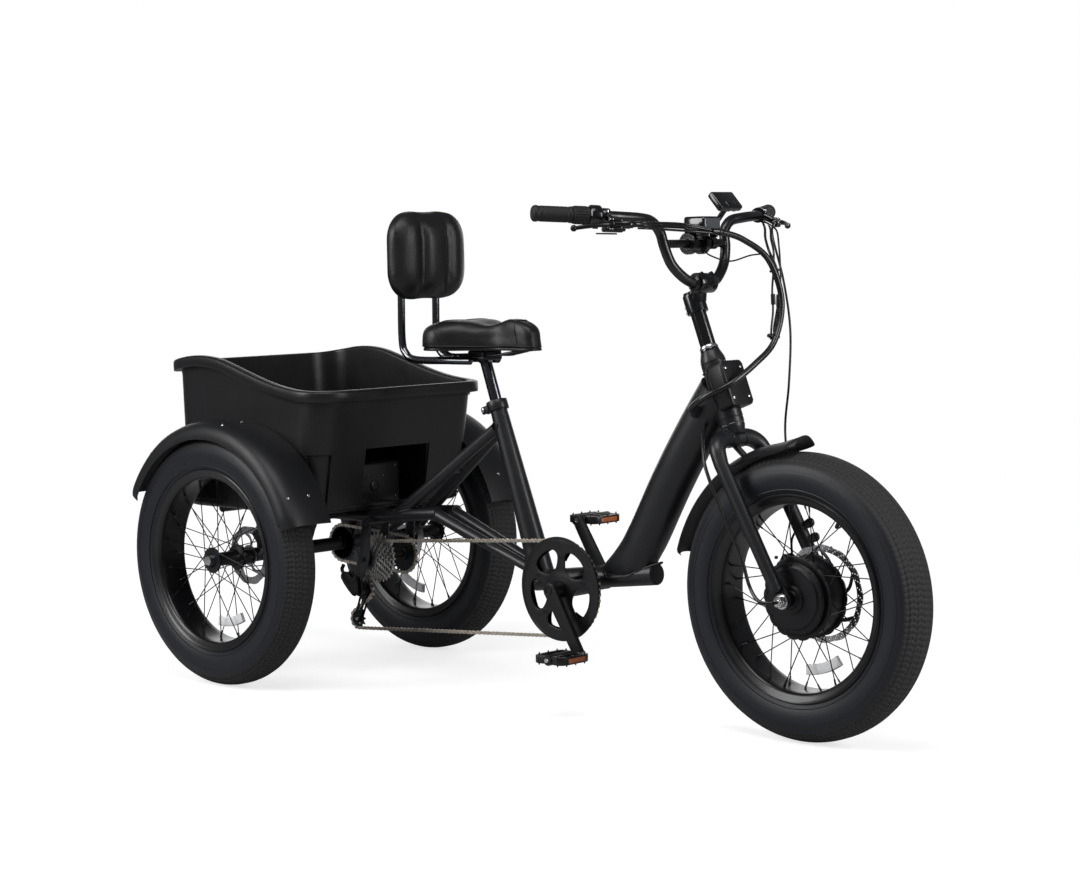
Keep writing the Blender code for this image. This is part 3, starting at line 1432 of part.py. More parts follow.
def seatpost(paints):
    """The sliding post and the clamp head that grips the saddle's rails."""
    along = (SEAT_TUBE_TOP - SEAT_TUBE_FOOT).normalized()
    top = SEAT_TUBE_TOP + along * SEATPOST_SHOWN
    post = rod("post", SEAT_TUBE_TOP - along * SEATPOST_INSERT, top, SEATPOST_DIAMETER, 12, paints["gloss_black"])
    head = block("head", top + UP * 0.0045, (0.056, 0.062, 0.021), paints["gloss_black"], bevel=0.004)
    return cut(fuse("seatpost", [post, head]), [rail_loop(GAP, paints)])


def seat_clamp(paints):
    """The collar round the seat tube's top, with its ears and bolt."""
    along = (SEAT_TUBE_TOP - SEAT_TUBE_FOOT).normalized()
    low = SEAT_TUBE_TOP - along * 0.012
    high = SEAT_TUBE_TOP + along * 0.010
    inner = SEAT_TUBE_TOP_DIAMETER + 0.0012 + 2 * GAP
    ring = sleeve("seat_clamp", low, high, inner + 0.010, inner, 16, paints["frame_paint"])
    back = along.cross(LEFT)
    ears = block(
        "ears", SEAT_TUBE_TOP - along * 0.001 + back * 0.0335, (0.024, 0.022, 0.018), paints["frame_paint"],
        (back, LEFT, along), 0.003,
    )
    return fuse("seat_clamp", [ring, ears])


def saddle(paints):
    """The saddle as a closed cushion, wide behind and narrow at the nose."""
    rings = []
    steps = 12
    for step in range(steps + 1):
        share = step / steps
        x = SADDLE_NOSE.x - SADDLE_LENGTH * (1 - share)
        wide = 0.5 + 0.5 * math.cos(math.pi * min(1.0, max(0.0, (share - 0.18) / 0.52)))
        half = 0.028 + (SADDLE_HALF_WIDTH - 0.028) * wide
        end = min(1.0, math.sqrt(max(0.02, 1 - (2 * abs(share - 0.5)) ** 10)))
        half *= 0.30 + 0.70 * end
        base = SADDLE_NOSE.z - 0.003
        crown = SADDLE_NOSE.z + 0.056 - 0.008 * math.sin(math.pi * share) ** 2
        height = (crown - base) * (0.45 + 0.55 * end)
        ring = []
        for across, up in (
            (-0.80, 0.0), (-1.0, 0.30), (-0.96, 0.66), (-0.72, 0.93), (-0.30, 1.0),
            (0.30, 1.0), (0.72, 0.93), (0.96, 0.66), (1.0, 0.30), (0.80, 0.0),
        ):
            ring.append(Vector((x, half * across, base + height * up)))
        rings.append(ring)
    bm = bmesh.new()
    skin(bm, rings)
    return solid("saddle", bm, paints["seat_vinyl"])


def rail_loop(extra, paints):
    """The saddle's bent rod, a loop round its nose, made thicker where it serves as a cutter."""
    low = SADDLE_NOSE.z - 0.0175
    top = SADDLE_NOSE.z - 0.0069
    half = 0.022
    side = [
        (-0.268, half + 0.018, top),
        (-0.250, half + 0.012, low),
        (-0.205, half, low),
        (-0.125, half, low),
        (-0.095, half - 0.002, low + 0.004),
        (-0.060, half - 0.010, top - 0.001),
    ]
    points = side + [(-0.046, 0.0, top)] + [(x, -y, z) for x, y, z in reversed(side)]
    size = even(SADDLE_RAIL_DIAMETER / 2 + extra)
    return swept("saddle_rails", smooth_path(points, 1), size, 6, paints["dark_steel"], UP)


def saddle_rails(paints):
    """The bent rod under the saddle."""
    return rail_loop(0.0, paints)


def backrest_frame(paints):
    """Two tubes from the backrest down and forward under the saddle, joined by a clamp plate."""
    back = BACKREST_CENTRE.x - BACKREST_THICKNESS / 2 - GAP - BACKREST_TUBE_DIAMETER / 2 * math.cos(math.pi / 8)
    radius = BACKREST_TUBE_DIAMETER / 2
    low = SADDLE_NOSE.z - 0.030
    pieces = []
    for side in (1, -1):
        path = smooth_path(
            [
                (back, side * BACKREST_TUBE_SPREAD, BACKREST_CENTRE.z + 0.030),
                (back, side * BACKREST_TUBE_SPREAD, 0.900),
                (back, side * BACKREST_TUBE_SPREAD, low + 0.045),
                (back + 0.012, side * BACKREST_TUBE_SPREAD, low + 0.014),
                (back + 0.045, side * BACKREST_TUBE_SPREAD, low),
                (-0.240, side * 0.052, low),
                (-0.180, side * 0.044, low),
            ],
            1,
        )
        pieces.append(swept("tube", path, even(radius), 8, paints["gloss_black"]))
    clamp_top = SADDLE_NOSE.z - 0.0175 - SADDLE_RAIL_DIAMETER / 2 - GAP
    bridge = block(
        "bridge", Vector((-0.236, 0, clamp_top - 0.004)), (0.030, 0.100, 0.008), paints["gloss_black"], bevel=0.002
    )
    return fuse("backrest_frame", [*pieces, bridge])


def backrest_pad(paints):
    """The backrest: a rounded cushion, flat behind."""
    rings = []
    half_wide, half_high = BACKREST_WIDTH / 2, BACKREST_HEIGHT / 2
    front = BACKREST_THICKNESS
    outline = []
    for centre_y, centre_z, start in ((1, 1, 0), (-1, 1, 90), (-1, -1, 180), (1, -1, 270)):
        radius = 0.062
        middle = (centre_y * (half_wide - radius), centre_z * (half_high - radius))
        outline += arc(radius, math.radians(start), math.radians(start + 90), 4, middle)
    for depth, shrink in ((0.0, 0.012), (0.010, 0.0), (front * 0.62, 0.0), (front * 0.90, 0.010), (front, 0.034)):
        ring = []
        for y, z in outline:
            scale_y = (half_wide - shrink) / half_wide
            scale_z = (half_high - shrink) / half_high
            place = BACKREST_CENTRE + Vector((depth - BACKREST_THICKNESS / 2, y * scale_y, z * scale_z))
            ring.append(place)
        rings.append(ring)
    bm = bmesh.new()
    skin(bm, rings)
    return solid("backrest_pad", bm, paints["seat_vinyl"])


def riser(paints):
    """The polished post that carries the stem, with its ring at the headset."""
    half = RISER_DIAMETER / 2
    profile = [
        (GAP, 0),
        (GAP, half + 0.0035),
        (0.010, half + 0.0035),
        (0.013, half),
        (RISER_LENGTH, half),
        (RISER_LENGTH, 0),
    ]
    return turned("handlebar_riser", profile, HEAD_TOP, STEER_UP, 16, paints["gloss_black"])


def stem(paints):
    """The stem: a clamp on the riser, a short neck and a barrel round the bar."""
    bore = RISER_DIAMETER / 2 + GAP
    clamp = turned(
        "clamp",
        [
            (0.086, bore), (0.086, bore + 0.006), (RISER_LENGTH + 0.006, bore + 0.006),
            (RISER_LENGTH + 0.010, bore + 0.003), (RISER_LENGTH + 0.010, 0), (RISER_LENGTH + GAP, 0),
            (RISER_LENGTH + GAP, bore),
        ],
        HEAD_TOP,
        STEER_UP,
        16,
        paints["black_plastic"],
    )
    neck = rod("neck", steer_point(0.112, 0.019), BAR_CLAMP - STEER_FORWARD * 0.008, 0.036, 10, paints["black_plastic"])
    barrel = rod("barrel", BAR_CLAMP - LEFT * 0.025, BAR_CLAMP + LEFT * 0.025, 0.043, 14, paints["black_plastic"])
    body = fuse("stem", [clamp, neck, barrel])
    post = rod("post", steer_point(0.05), steer_point(RISER_LENGTH + GAP), 2 * bore, 16, paints["black_plastic"])
    bar = cross_hole(BAR_CLAMP, BAR_CLAMP_DIAMETER + 2 * GAP, 0.2, paints["black_plastic"], 12)
    return cut(body, [post, bar])


def grip_point(from_end, side=1):
    """A point on the grip's axis, measured inwards from the bar's end."""
    inward = Vector((math.sin(GRIP_SWEEP), -math.cos(GRIP_SWEEP), -math.sin(GRIP_RISE)))
    place = GRIP_END + inward * from_end
    return Vector((place.x, side * place.y, place.z))


def handlebar(paints):
    """The bar: a U above the stem, then out and swept back to the grips, with a crossbar."""
    half = [
        BAR_CLAMP,
        BAR_CLAMP + Vector((0.0, 0.026, 0.0)),
        (0.461, 0.054, 0.941),
        (0.453, 0.084, 0.969),
        (0.446, 0.0985, 1.005),
        (0.439, 0.104, 1.036),
        (0.437, 0.127, 1.058),
        (0.440, 0.165, 1.065),
        grip_point(GRIP_LENGTH + THROTTLE_LENGTH + HOUSING_LENGTH + 0.030),
    ]
    left = [*smooth_path(half, 2), grip_point(0.003)]
    right = [Vector((point.x, -point.y, point.z)) for point in left]
    path = list(reversed(right)) + left[1:]
    bar = swept("bar", path, even(BAR_DIAMETER / 2), 9, paints["frame_paint"], UP)
    clamp = rod("clamp", BAR_CLAMP - LEFT * 0.030, BAR_CLAMP + LEFT * 0.030, BAR_CLAMP_DIAMETER, 12, paints["frame_paint"])
    return fuse("handlebar", [bar, clamp, crossbar(0.0, paints)])


def on_grip(name, start, end, diameter, side, paints, finish):
    """A sleeve on the bar's grip stretch, between two distances from the bar's end."""
    bore = BAR_DIAMETER + 4 * GAP
    return sleeve(name, grip_point(start, side), grip_point(end, side), diameter, bore, 12, paints[finish])


def grip(name, side, length, paints):
    """A rubber grip with a closed, rounded end."""
    inward = (grip_point(0.1, side) - grip_point(0.0, side)).normalized()
    bore = BAR_DIAMETER / 2 + 2 * GAP
    half = GRIP_DIAMETER / 2
    profile = [
        (-0.006, 0), (-0.006, half * 0.62), (-0.002, half * 0.96), (0.003, half), (length, half),
        (length, bore), (0.002, bore), (0.002, 0),
    ]
    return turned(name, profile, grip_point(0.0, side), inward, 12, paints["grip_rubber"])


def grip_axes(side):
    """The grip's inward direction, the direction ahead of it and the one over it."""
    inward = (grip_point(0.1, side) - grip_point(0.0, side)).normalized()
    ahead = (UP.cross(inward) * (1 if side < 0 else -1)).normalized()
    if ahead.x < 0:
        ahead = -ahead
    over = inward.cross(ahead).normalized()
    if over.z < 0:
        over = -over
    return inward, ahead, over


def lever_pivot(side):
    """The brake lever's pin, ahead of the bar and a little below it."""
    inward, ahead, over = grip_axes(side)
    return grip_point(MOUNT_START + 0.010, side) + ahead * 0.040 - over * 0.016


def lever_mount(name, side, paints, shifter=False):
    """The clamp on the bar that carries a brake lever, with its cylinder and any shifter below."""
    inward, ahead, over = grip_axes(side)
    finish = paints["black_plastic"]
    clamp = on_grip(name, MOUNT_START, MOUNT_START + 0.016, 0.033, side, paints, "black_plastic")
    pin = lever_pivot(side)
    root = grip_point(MOUNT_START + 0.010, side) + ahead * 0.0152 - over * 0.003
    arm = rod("arm", root, pin + inward * 0.006, 0.017, 6, finish)
    cylinder = rod("cylinder", pin + inward * 0.003, pin + inward * 0.050 + ahead * 0.004, 0.018, 7, finish)
    pieces = [clamp, arm, cylinder]
    if shifter:
        place = shifter_place(side)
        pieces.append(block("shifter", place, (0.040, 0.034, 0.018), finish, (inward, ahead, over), 0.004))
    clevis = rod("clevis", pin - over * 0.0052, pin + over * 0.0052, 0.020, 8, finish)
    return cut(fuse(name, pieces), [clevis])


def shifter_place(side):
    """The middle of the shifter's body, under the bar and inboard of the lever's clamp."""
    inward, ahead, over = grip_axes(side)
    return grip_point(MOUNT_START + 0.026, side) - over * 0.0235 - ahead * 0.004


def shift_pivot(side):
    """The shift lever's pin, on the underside of the shifter's body."""
    inward, ahead, over = grip_axes(side)
    return shifter_place(side) - over * (0.009 + GAP)


def shift_lever(name, side, paints):
    """The thumb lever under the shifter's body."""
    inward, ahead, over = grip_axes(side)
    top = shift_pivot(side)
    shape = capsule((0.0, 0.0), (-0.016, -0.036), 0.0100, 0.0070, 5)
    right, forward = (inward, ahead) if inward.cross(ahead).dot(over) > 0 else (ahead, inward)
    if right is ahead:
        shape = [(v, u) for u, v in shape]
    return plate(name, [shape], top - over * 0.0035, right, forward, 0.0035, paints["black_plastic"])


def brake_lever(name, side, paints):
    """The blade of a brake lever, from its pin out past the grip to a ball end."""
    inward, ahead, over = grip_axes(side)
    pin = lever_pivot(side)
    path = smooth_path(
        [
            pin + inward * 0.004,
            pin - inward * 0.030 + ahead * 0.013 - over * 0.004,
            pin - inward * 0.062 + ahead * 0.016 - over * 0.010,
            pin - inward * 0.093 + ahead * 0.014 - over * 0.016,
        ],
        2,
    )
    blade = swept("blade", path, lambda share: (0.0042, 0.0060 - 0.0012 * share), 6, paints["dark_steel"], ahead)
    profile = [(-0.007, 0), (-0.005, 0.005), (0.0, 0.007), (0.005, 0.005), (0.007, 0)]
    ball = turned("ball", profile, path[-1], inward, 8, paints["dark_steel"])
    return fuse(name, [blade, ball])


def crossbar(extra, paints):
    """The bar across the handlebar's U, made thicker where it serves as a cutter."""
    half = LEFT * 0.0985
    return rod("crossbar", CROSSBAR - half, CROSSBAR + half, CROSSBAR_DIAMETER + 2 * extra, 8, paints["frame_paint"])


def display(paints):
    """The tilted display on its bracket, left of the crossbar's middle."""
    screen_up = (UP * 0.90 - FORWARD * 0.43).normalized()
    facing = LEFT.cross(screen_up)
    centre = DISPLAY_CENTRE
    case = block("display", centre, (0.016, 0.072, 0.046), paints["black_plastic"], (facing, LEFT, screen_up), 0.005)
    low = Vector((CROSSBAR.x, 0.055, CROSSBAR.z + 0.003))
    arm = rod("arm", low, centre - screen_up * 0.012, 0.012, 8, paints["black_plastic"])
    return cut(fuse("display", [case, arm]), [crossbar(GAP, paints)])


def headlight(paints):
    """The lamp over the crossbar, held by two round clamps."""
    place = CROSSBAR + Vector((0.022, -0.002, 0.038))
    pieces = [block("lamp", place, (0.058, 0.056, 0.036), paints["gloss_black"], bevel=0.006)]
    for aside in (-0.026, 0.014):
        start = CROSSBAR + LEFT * aside
        bore = CROSSBAR_DIAMETER + 6 * GAP
        pieces.append(sleeve("clamp", start, start + LEFT * 0.014, 0.046, bore, 10, paints["black_plastic"]))
    return fuse("headlight", pieces)


def head_cover(paints):
    """The bare cover in front of the head tube, over the place where the wires pass."""
    front, corner = 0.046, 0.006
    low, high = -0.131, -0.033
    levels = ((low, 0.030, 0.034), (low + 0.008, 0.032, 0.038), (high - 0.010, 0.032, 0.038), (high, 0.029, 0.034))
    rings = []
    for along, half_back, half_front in levels:
        half = [(0.004, half_back), (front - corner, half_front), (front, half_front - corner)]
        corners = half + [(ahead, -aside) for ahead, aside in reversed(half)]
        rings.append([steer_point(along, ahead, aside) for ahead, aside in corners])
    bm = bmesh.new()
    skin(bm, rings)
    cover = solid("head_cover", bm, paints["black_plastic"])
    width = HEAD_TUBE_DIAMETER + 2 * GAP
    hollow = rod("hollow", steer_point(-0.30), steer_point(0.10), width, 16, paints["black_plastic"])
    return cut(cover, [hollow, down_tube(GAP, paints)])


def battery_pack(paints):
    """The battery on the rails inside the tub's tunnel."""
    front = TUNNEL_FRONT - 0.045
    low = (front - 0.280, -0.085, TUB_BOTTOM + GAP)
    high = (front, 0.085, TUB_BOTTOM + 0.104)
    low, high = Vector(low), Vector(high)
    return block("battery_pack", (low + high) / 2, high - low, paints["black_plastic"], bevel=0.010)


def motor_controller(paints):
    """The motor's controller behind the battery."""
    front = TUNNEL_FRONT - 0.045 - 0.280 - 2 * GAP
    low = Vector((front - 0.070, -0.075, TUB_BOTTOM + GAP))
    high = Vector((front, 0.075, TUB_BOTTOM + 0.060))
    return block("motor_controller", (low + high) / 2, high - low, paints["steel"], bevel=0.003)


def cable(name, points, diameter, material, start_share=1.0):
    """A cable held at both ends along its route, thinner at its start where it has a share."""
    curve = bpy.data.curves.new(name, "CURVE")
    curve.dimensions = "3D"
    curve.bevel_depth = diameter / 2
    curve.bevel_resolution = 0
    curve.use_fill_caps = True
    path = smooth_path(points, 3)
    spline = curve.splines.new("POLY")
    spline.points.add(len(path) - 1)
    for index, (target, point) in enumerate(zip(spline.points, path)):
        target.co = (*point, 1.0)
        target.radius = start_share + (1.0 - start_share) * min(1.0, index / 6)
    curve.materials.append(material)
    made = bpy.data.objects.new(name, curve)
    bpy.context.scene.collection.objects.link(made)
    return made


def cylinder_end(side):
    """The inner end of a brake lever's cylinder, where its hose comes out."""
    inward, ahead, over = grip_axes(side)
    return lever_pivot(side) + inward * (0.050 + 3 * GAP) + ahead * 0.004


def cable_harness(paints):
    """The covered bundle of cables from the right lever past the lamp down into the frame's port."""
    start = cylinder_end(-1)
    points = [
        start,
        start + grip_axes(-1)[0] * 0.025,
        (0.4950, -0.0900, 1.0480),
        (0.5180, -0.0300, 1.0380),
        (0.5380, 0.0450, 1.0180),
        (0.5540, 0.1080, 0.9750),
        (0.5740, 0.1250, 0.8900),
        (0.5830, 0.0880, 0.8080),
        (0.5800, 0.0250, 0.7620),
        (0.5650, -0.0400, 0.7230),
        (0.5250, -0.0640, 0.7000),
        (0.4830, -0.0615, 0.6755),
        (0.4740, -0.0437, 0.6648),
    ]
    return cable("cable_harness", points, HARNESS_DIAMETER, paints["cable_sheath"], 0.45)


def front_brake_hose(paints):
    """The hose from the left lever down behind the fork leg to the front caliper."""
    start = cylinder_end(1)
    points = [
        start,
        start + grip_axes(1)[0] * 0.020,
        (0.5200, 0.1650, 1.0250),
        (0.5600, 0.1500, 0.9300),
        (0.5880, 0.1350, 0.8300),
        (0.5950, 0.1200, 0.7200),
        (0.5900, 0.1120, 0.6200),
        (0.6050, 0.1100, 0.5100),
        (0.6300, 0.1040, 0.4350),
        (0.6300, 0.0800, 0.3980),
        FRONT_AXLE + Vector((-0.0777, 0.0560, 0.0747)),
    ]
    return cable("front_brake_hose", points, BRAKE_HOSE_DIAMETER, paints["cable_sheath"])


def motor_cable(paints):
    """The motor's cable from the down tube, down the right fork leg and into the axle's end."""
    points = [
        (0.4944, -0.0297, 0.6379),
        (0.5020, -0.0440, 0.6310),
        (0.5200, -0.0720, 0.6060),
        (0.5500, -0.1000, 0.5550),
        (0.6030, -0.1060, 0.4550),
        (0.6450, -0.1080, 0.3850),
        (0.6700, -0.1120, 0.3250),
        (0.7000, -0.1200, 0.2980),
        FRONT_AXLE - LEFT * (FRONT_AXLE_HALF + 0.012) - FORWARD * 0.001,
        FRONT_AXLE - LEFT * (FRONT_AXLE_HALF + 3 * GAP),
    ]
    return cable("motor_cable", points, MOTOR_CABLE_DIAMETER, paints["cable_sheath"])


def joint_pivot(name, centre, axis, parent=None):
    """An empty on a joint's axis, which is its own Z."""
    turn = axis.to_track_quat("Z", "Y").to_matrix().to_4x4()
    return pivot(name, Matrix.Translation(centre) @ turn, parent)


def steered_parts(paints, steering):
    """Everything that turns with the handlebar."""
    grips_end = MOUNT_START - 3 * GAP
    throttle_start = GRIP_LENGTH + GAP
    housing_start = GRIP_LENGTH + THROTTLE_LENGTH + GAP
    hang(
        [
            fork(paints),
            riser(paints),
            stem(paints),
            handlebar(paints),
            grip("grip_right", -1, GRIP_LENGTH - GAP, paints),
            grip("grip_left", 1, grips_end, paints),
            on_grip("throttle_housing", housing_start, MOUNT_START - 2 * GAP, 0.044, -1, paints, "black_plastic"),
            lever_mount("lever_mount_right", -1, paints, shifter=True),
            lever_mount("lever_mount_left", 1, paints),
            display(paints),
            headlight(paints),
            front_fender(paints),
            front_caliper(paints),
            front_axle(paints),
            front_brake_hose(paints),
        ],
        steering,
    )
    inward, ahead, over = grip_axes(-1)
    throttle = joint_pivot("throttle_turn", grip_point(throttle_start, -1), inward, steering)
    sleeve_end = GRIP_LENGTH + THROTTLE_LENGTH - GAP
    hang([on_grip("throttle_grip", throttle_start, sleeve_end, 0.036, -1, paints, "grip_rubber")], throttle)
    for side, name in ((1, "left"), (-1, "right")):
        turn = joint_pivot(f"brake_{name}_turn", lever_pivot(side), grip_axes(side)[2], steering)
        hang([brake_lever(f"brake_lever_{name}", side, paints)], turn)
    shift = joint_pivot("shift_turn", shift_pivot(-1), over, steering)
    hang([shift_lever("shift_lever", -1, paints)], shift)
    wheel = joint_pivot("front_wheel_turn", FRONT_AXLE, LEFT, steering)
    hang(
        [tyre("front_tyre", FRONT_AXLE, paints), rim("front_rim", FRONT_AXLE, paints), hub_motor("hub_motor", paints)],
        wheel,
    )


def rear_wheels(paints):
    """The driven right wheel with its axle, and the left wheel that runs free on it."""
    for side, name in ((-1, "right"), (1, "left")):
        turn = joint_pivot(f"rear_{name}_turn", REAR_AXLE + LEFT * side * REAR_TRACK / 2, LEFT)
        centre = REAR_AXLE + LEFT * side * REAR_TRACK / 2
        parts = [
            tyre(f"rear_tyre_{name}", centre, paints),
            rim(f"rear_rim_{name}", centre, paints),
            rear_hub(f"rear_hub_{name}", side, paints),
        ]
        if side < 0:
            parts.append(live_axle(paints))
        hang(parts, turn)


def pedals_and_cranks(paints):
    """The cranks with the chainring, and a pedal on each."""
    cranks = joint_pivot("cranks_turn", CRANK_CENTRE, LEFT)
    hang([crank_right(paints), chainring(paints), crank_left(paints)], cranks)
    for side, heading, name in ((-1, CRANK_ANGLE, "right"), (1, CRANK_ANGLE + math.pi, "left")):
        foot = CRANK_CENTRE + Vector((math.cos(heading), 0, math.sin(heading))) * CRANK_LENGTH
        turn = joint_pivot(f"pedal_{name}_turn", foot, LEFT, cranks)
        hang([pedal(f"pedal_{name}", side, heading, paints)], turn)


def transmission(paints):
    """The cassette, the jackshaft, the derailleur and its pulleys."""
    hang([cassette(paints)], joint_pivot("cassette_turn", JACKSHAFT, LEFT))
    hang([jackshaft(paints)], joint_pivot("jackshaft_turn", JACKSHAFT, LEFT))
    slide = joint_pivot("derailleur_slide", GUIDE_PULLEY, LEFT)
    hang([derailleur_body(paints)], slide)
    cage = joint_pivot("cage_turn", GUIDE_PULLEY, LEFT, slide)
    hang([derailleur_cage(paints)], cage)
    guide = joint_pivot("guide_turn", GUIDE_PULLEY, LEFT, cage)
    hang([pulley("guide_pulley", 2, GUIDE_PULLEY, paints)], guide)
    tension = joint_pivot("tension_turn", TENSION_PULLEY, LEFT, cage)
    hang([pulley("tension_pulley", 3, TENSION_PULLEY, paints)], tension)


def seat_parts(paints):
    """The seatpost and what slides up and down with it."""
    along = (SEAT_TUBE_TOP - SEAT_TUBE_FOOT).normalized()
    post = joint_pivot("seatpost_slide", SEAT_TUBE_TOP, along)
    hang([seatpost(paints), saddle_rails(paints), saddle(paints), backrest_frame(paints), backrest_pad(paints)], post)


def main():
    """Make every piece in place and hang the moving ones on their joints."""
    clear_scene()
    paints = materials()
    main_frame(paints)
    rear_frame(paints)
    head_cover(paints)
    seat_clamp(paints)
    cargo_tub(paints)
    battery_pack(paints)
    motor_controller(paints)
    for side, name in ((-1, "right"), (1, "left")):
        rear_fender(f"rear_fender_{name}", side, paints)
        rear_caliper(f"rear_caliper_{name}", side, paints)
    chain("main_chain", MAIN_BELT, CHAIN_LINE, paints["chain_nickel"])
    chain("drive_chain", DRIVE_BELT, DRIVE_CHAIN_LINE, paints["chain_nickel"], waists=False)
    cable_harness(paints)
    motor_cable(paints)
    steering = joint_pivot("steering", HEAD_TOP, STEER_UP)
    steered_parts(paints, steering)
    rear_wheels(paints)
    pedals_and_cranks(paints)
    transmission(paints)
    seat_parts(paints)


main()
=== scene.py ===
"""The looks of an electric cargo tricycle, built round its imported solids."""

import json
import logging
import math
import random
from dataclasses import dataclass, field
from enum import Enum
from typing import Callable, Iterable, Sequence

import bmesh
import bpy
from mathutils import Matrix, Vector, geometry
from mathutils.bvhtree import BVHTree


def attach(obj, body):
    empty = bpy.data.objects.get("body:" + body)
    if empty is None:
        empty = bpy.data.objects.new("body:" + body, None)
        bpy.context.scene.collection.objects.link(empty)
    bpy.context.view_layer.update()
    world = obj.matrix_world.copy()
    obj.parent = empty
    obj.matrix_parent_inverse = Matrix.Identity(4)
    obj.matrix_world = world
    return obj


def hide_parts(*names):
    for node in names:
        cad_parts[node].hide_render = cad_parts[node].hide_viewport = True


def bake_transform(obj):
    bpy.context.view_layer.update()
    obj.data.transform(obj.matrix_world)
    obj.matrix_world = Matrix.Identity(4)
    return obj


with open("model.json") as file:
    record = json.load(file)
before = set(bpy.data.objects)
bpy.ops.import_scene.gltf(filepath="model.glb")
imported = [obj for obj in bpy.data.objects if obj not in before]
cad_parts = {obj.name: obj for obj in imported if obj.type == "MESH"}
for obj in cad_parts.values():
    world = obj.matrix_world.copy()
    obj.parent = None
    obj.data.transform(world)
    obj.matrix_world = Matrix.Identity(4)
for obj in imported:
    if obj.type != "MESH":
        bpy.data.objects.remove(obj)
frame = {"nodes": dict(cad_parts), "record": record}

log = logging.getLogger("tricycle")
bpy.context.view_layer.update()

UP = Vector((0.0, 0.0, 1.0))
FORWARD = Vector((1.0, 0.0, 0.0))
LEFT = Vector((0.0, 1.0, 0.0))
SIDES = ((-1, "right"), (1, "left"))
Number = "Signal | float"
Colour = tuple[float, float, float]


def operator(operation: str, swapped: bool = False) -> Callable[["Signal", Number], "Signal"]:
    """Return a method that joins a signal and another operand in a Math node.

    Args:
        operation: The Math node's operation.
        swapped: Whether the signal is the second operand.

    Returns:
        The method.
    """

    def method(self: "Signal", other: Number) -> "Signal":
        """Return the Math node's result."""
        first, second = (other, self) if swapped else (self, other)
        return self.graph.node("ShaderNodeMath", {"operation": operation}, {0: first, 1: second})

    return method


class Signal:
    """A node's output that takes part in Python arithmetic."""

    __add__, __radd__ = operator("ADD"), operator("ADD", True)
    __sub__, __rsub__ = operator("SUBTRACT"), operator("SUBTRACT", True)
    __mul__, __rmul__ = operator("MULTIPLY"), operator("MULTIPLY", True)
    __pow__ = operator("POWER")

    def __init__(self, graph: "Graph", socket: bpy.types.NodeSocket) -> None:
        """Wrap one output socket of a graph."""
        self.graph = graph
        self.socket = socket

    def above(self, edge: float, width: float) -> "Signal":
        """Return a soft step from 0 to 1 that is centred on an edge.

        Args:
            edge: The value at the step's middle.
            width: How wide the step is.

        Returns:
            The step.
        """
        return self.graph.node(
            "ShaderNodeMapRange", {"interpolation_type": "SMOOTHSTEP"},
            {"Value": self, "From Min": edge - width / 2, "From Max": edge + width / 2}
        )

    def wave(self) -> "Signal":
        """Return the sine of this signal."""
        return self.graph.node("ShaderNodeMath", {"operation": "SINE"}, {0: self})


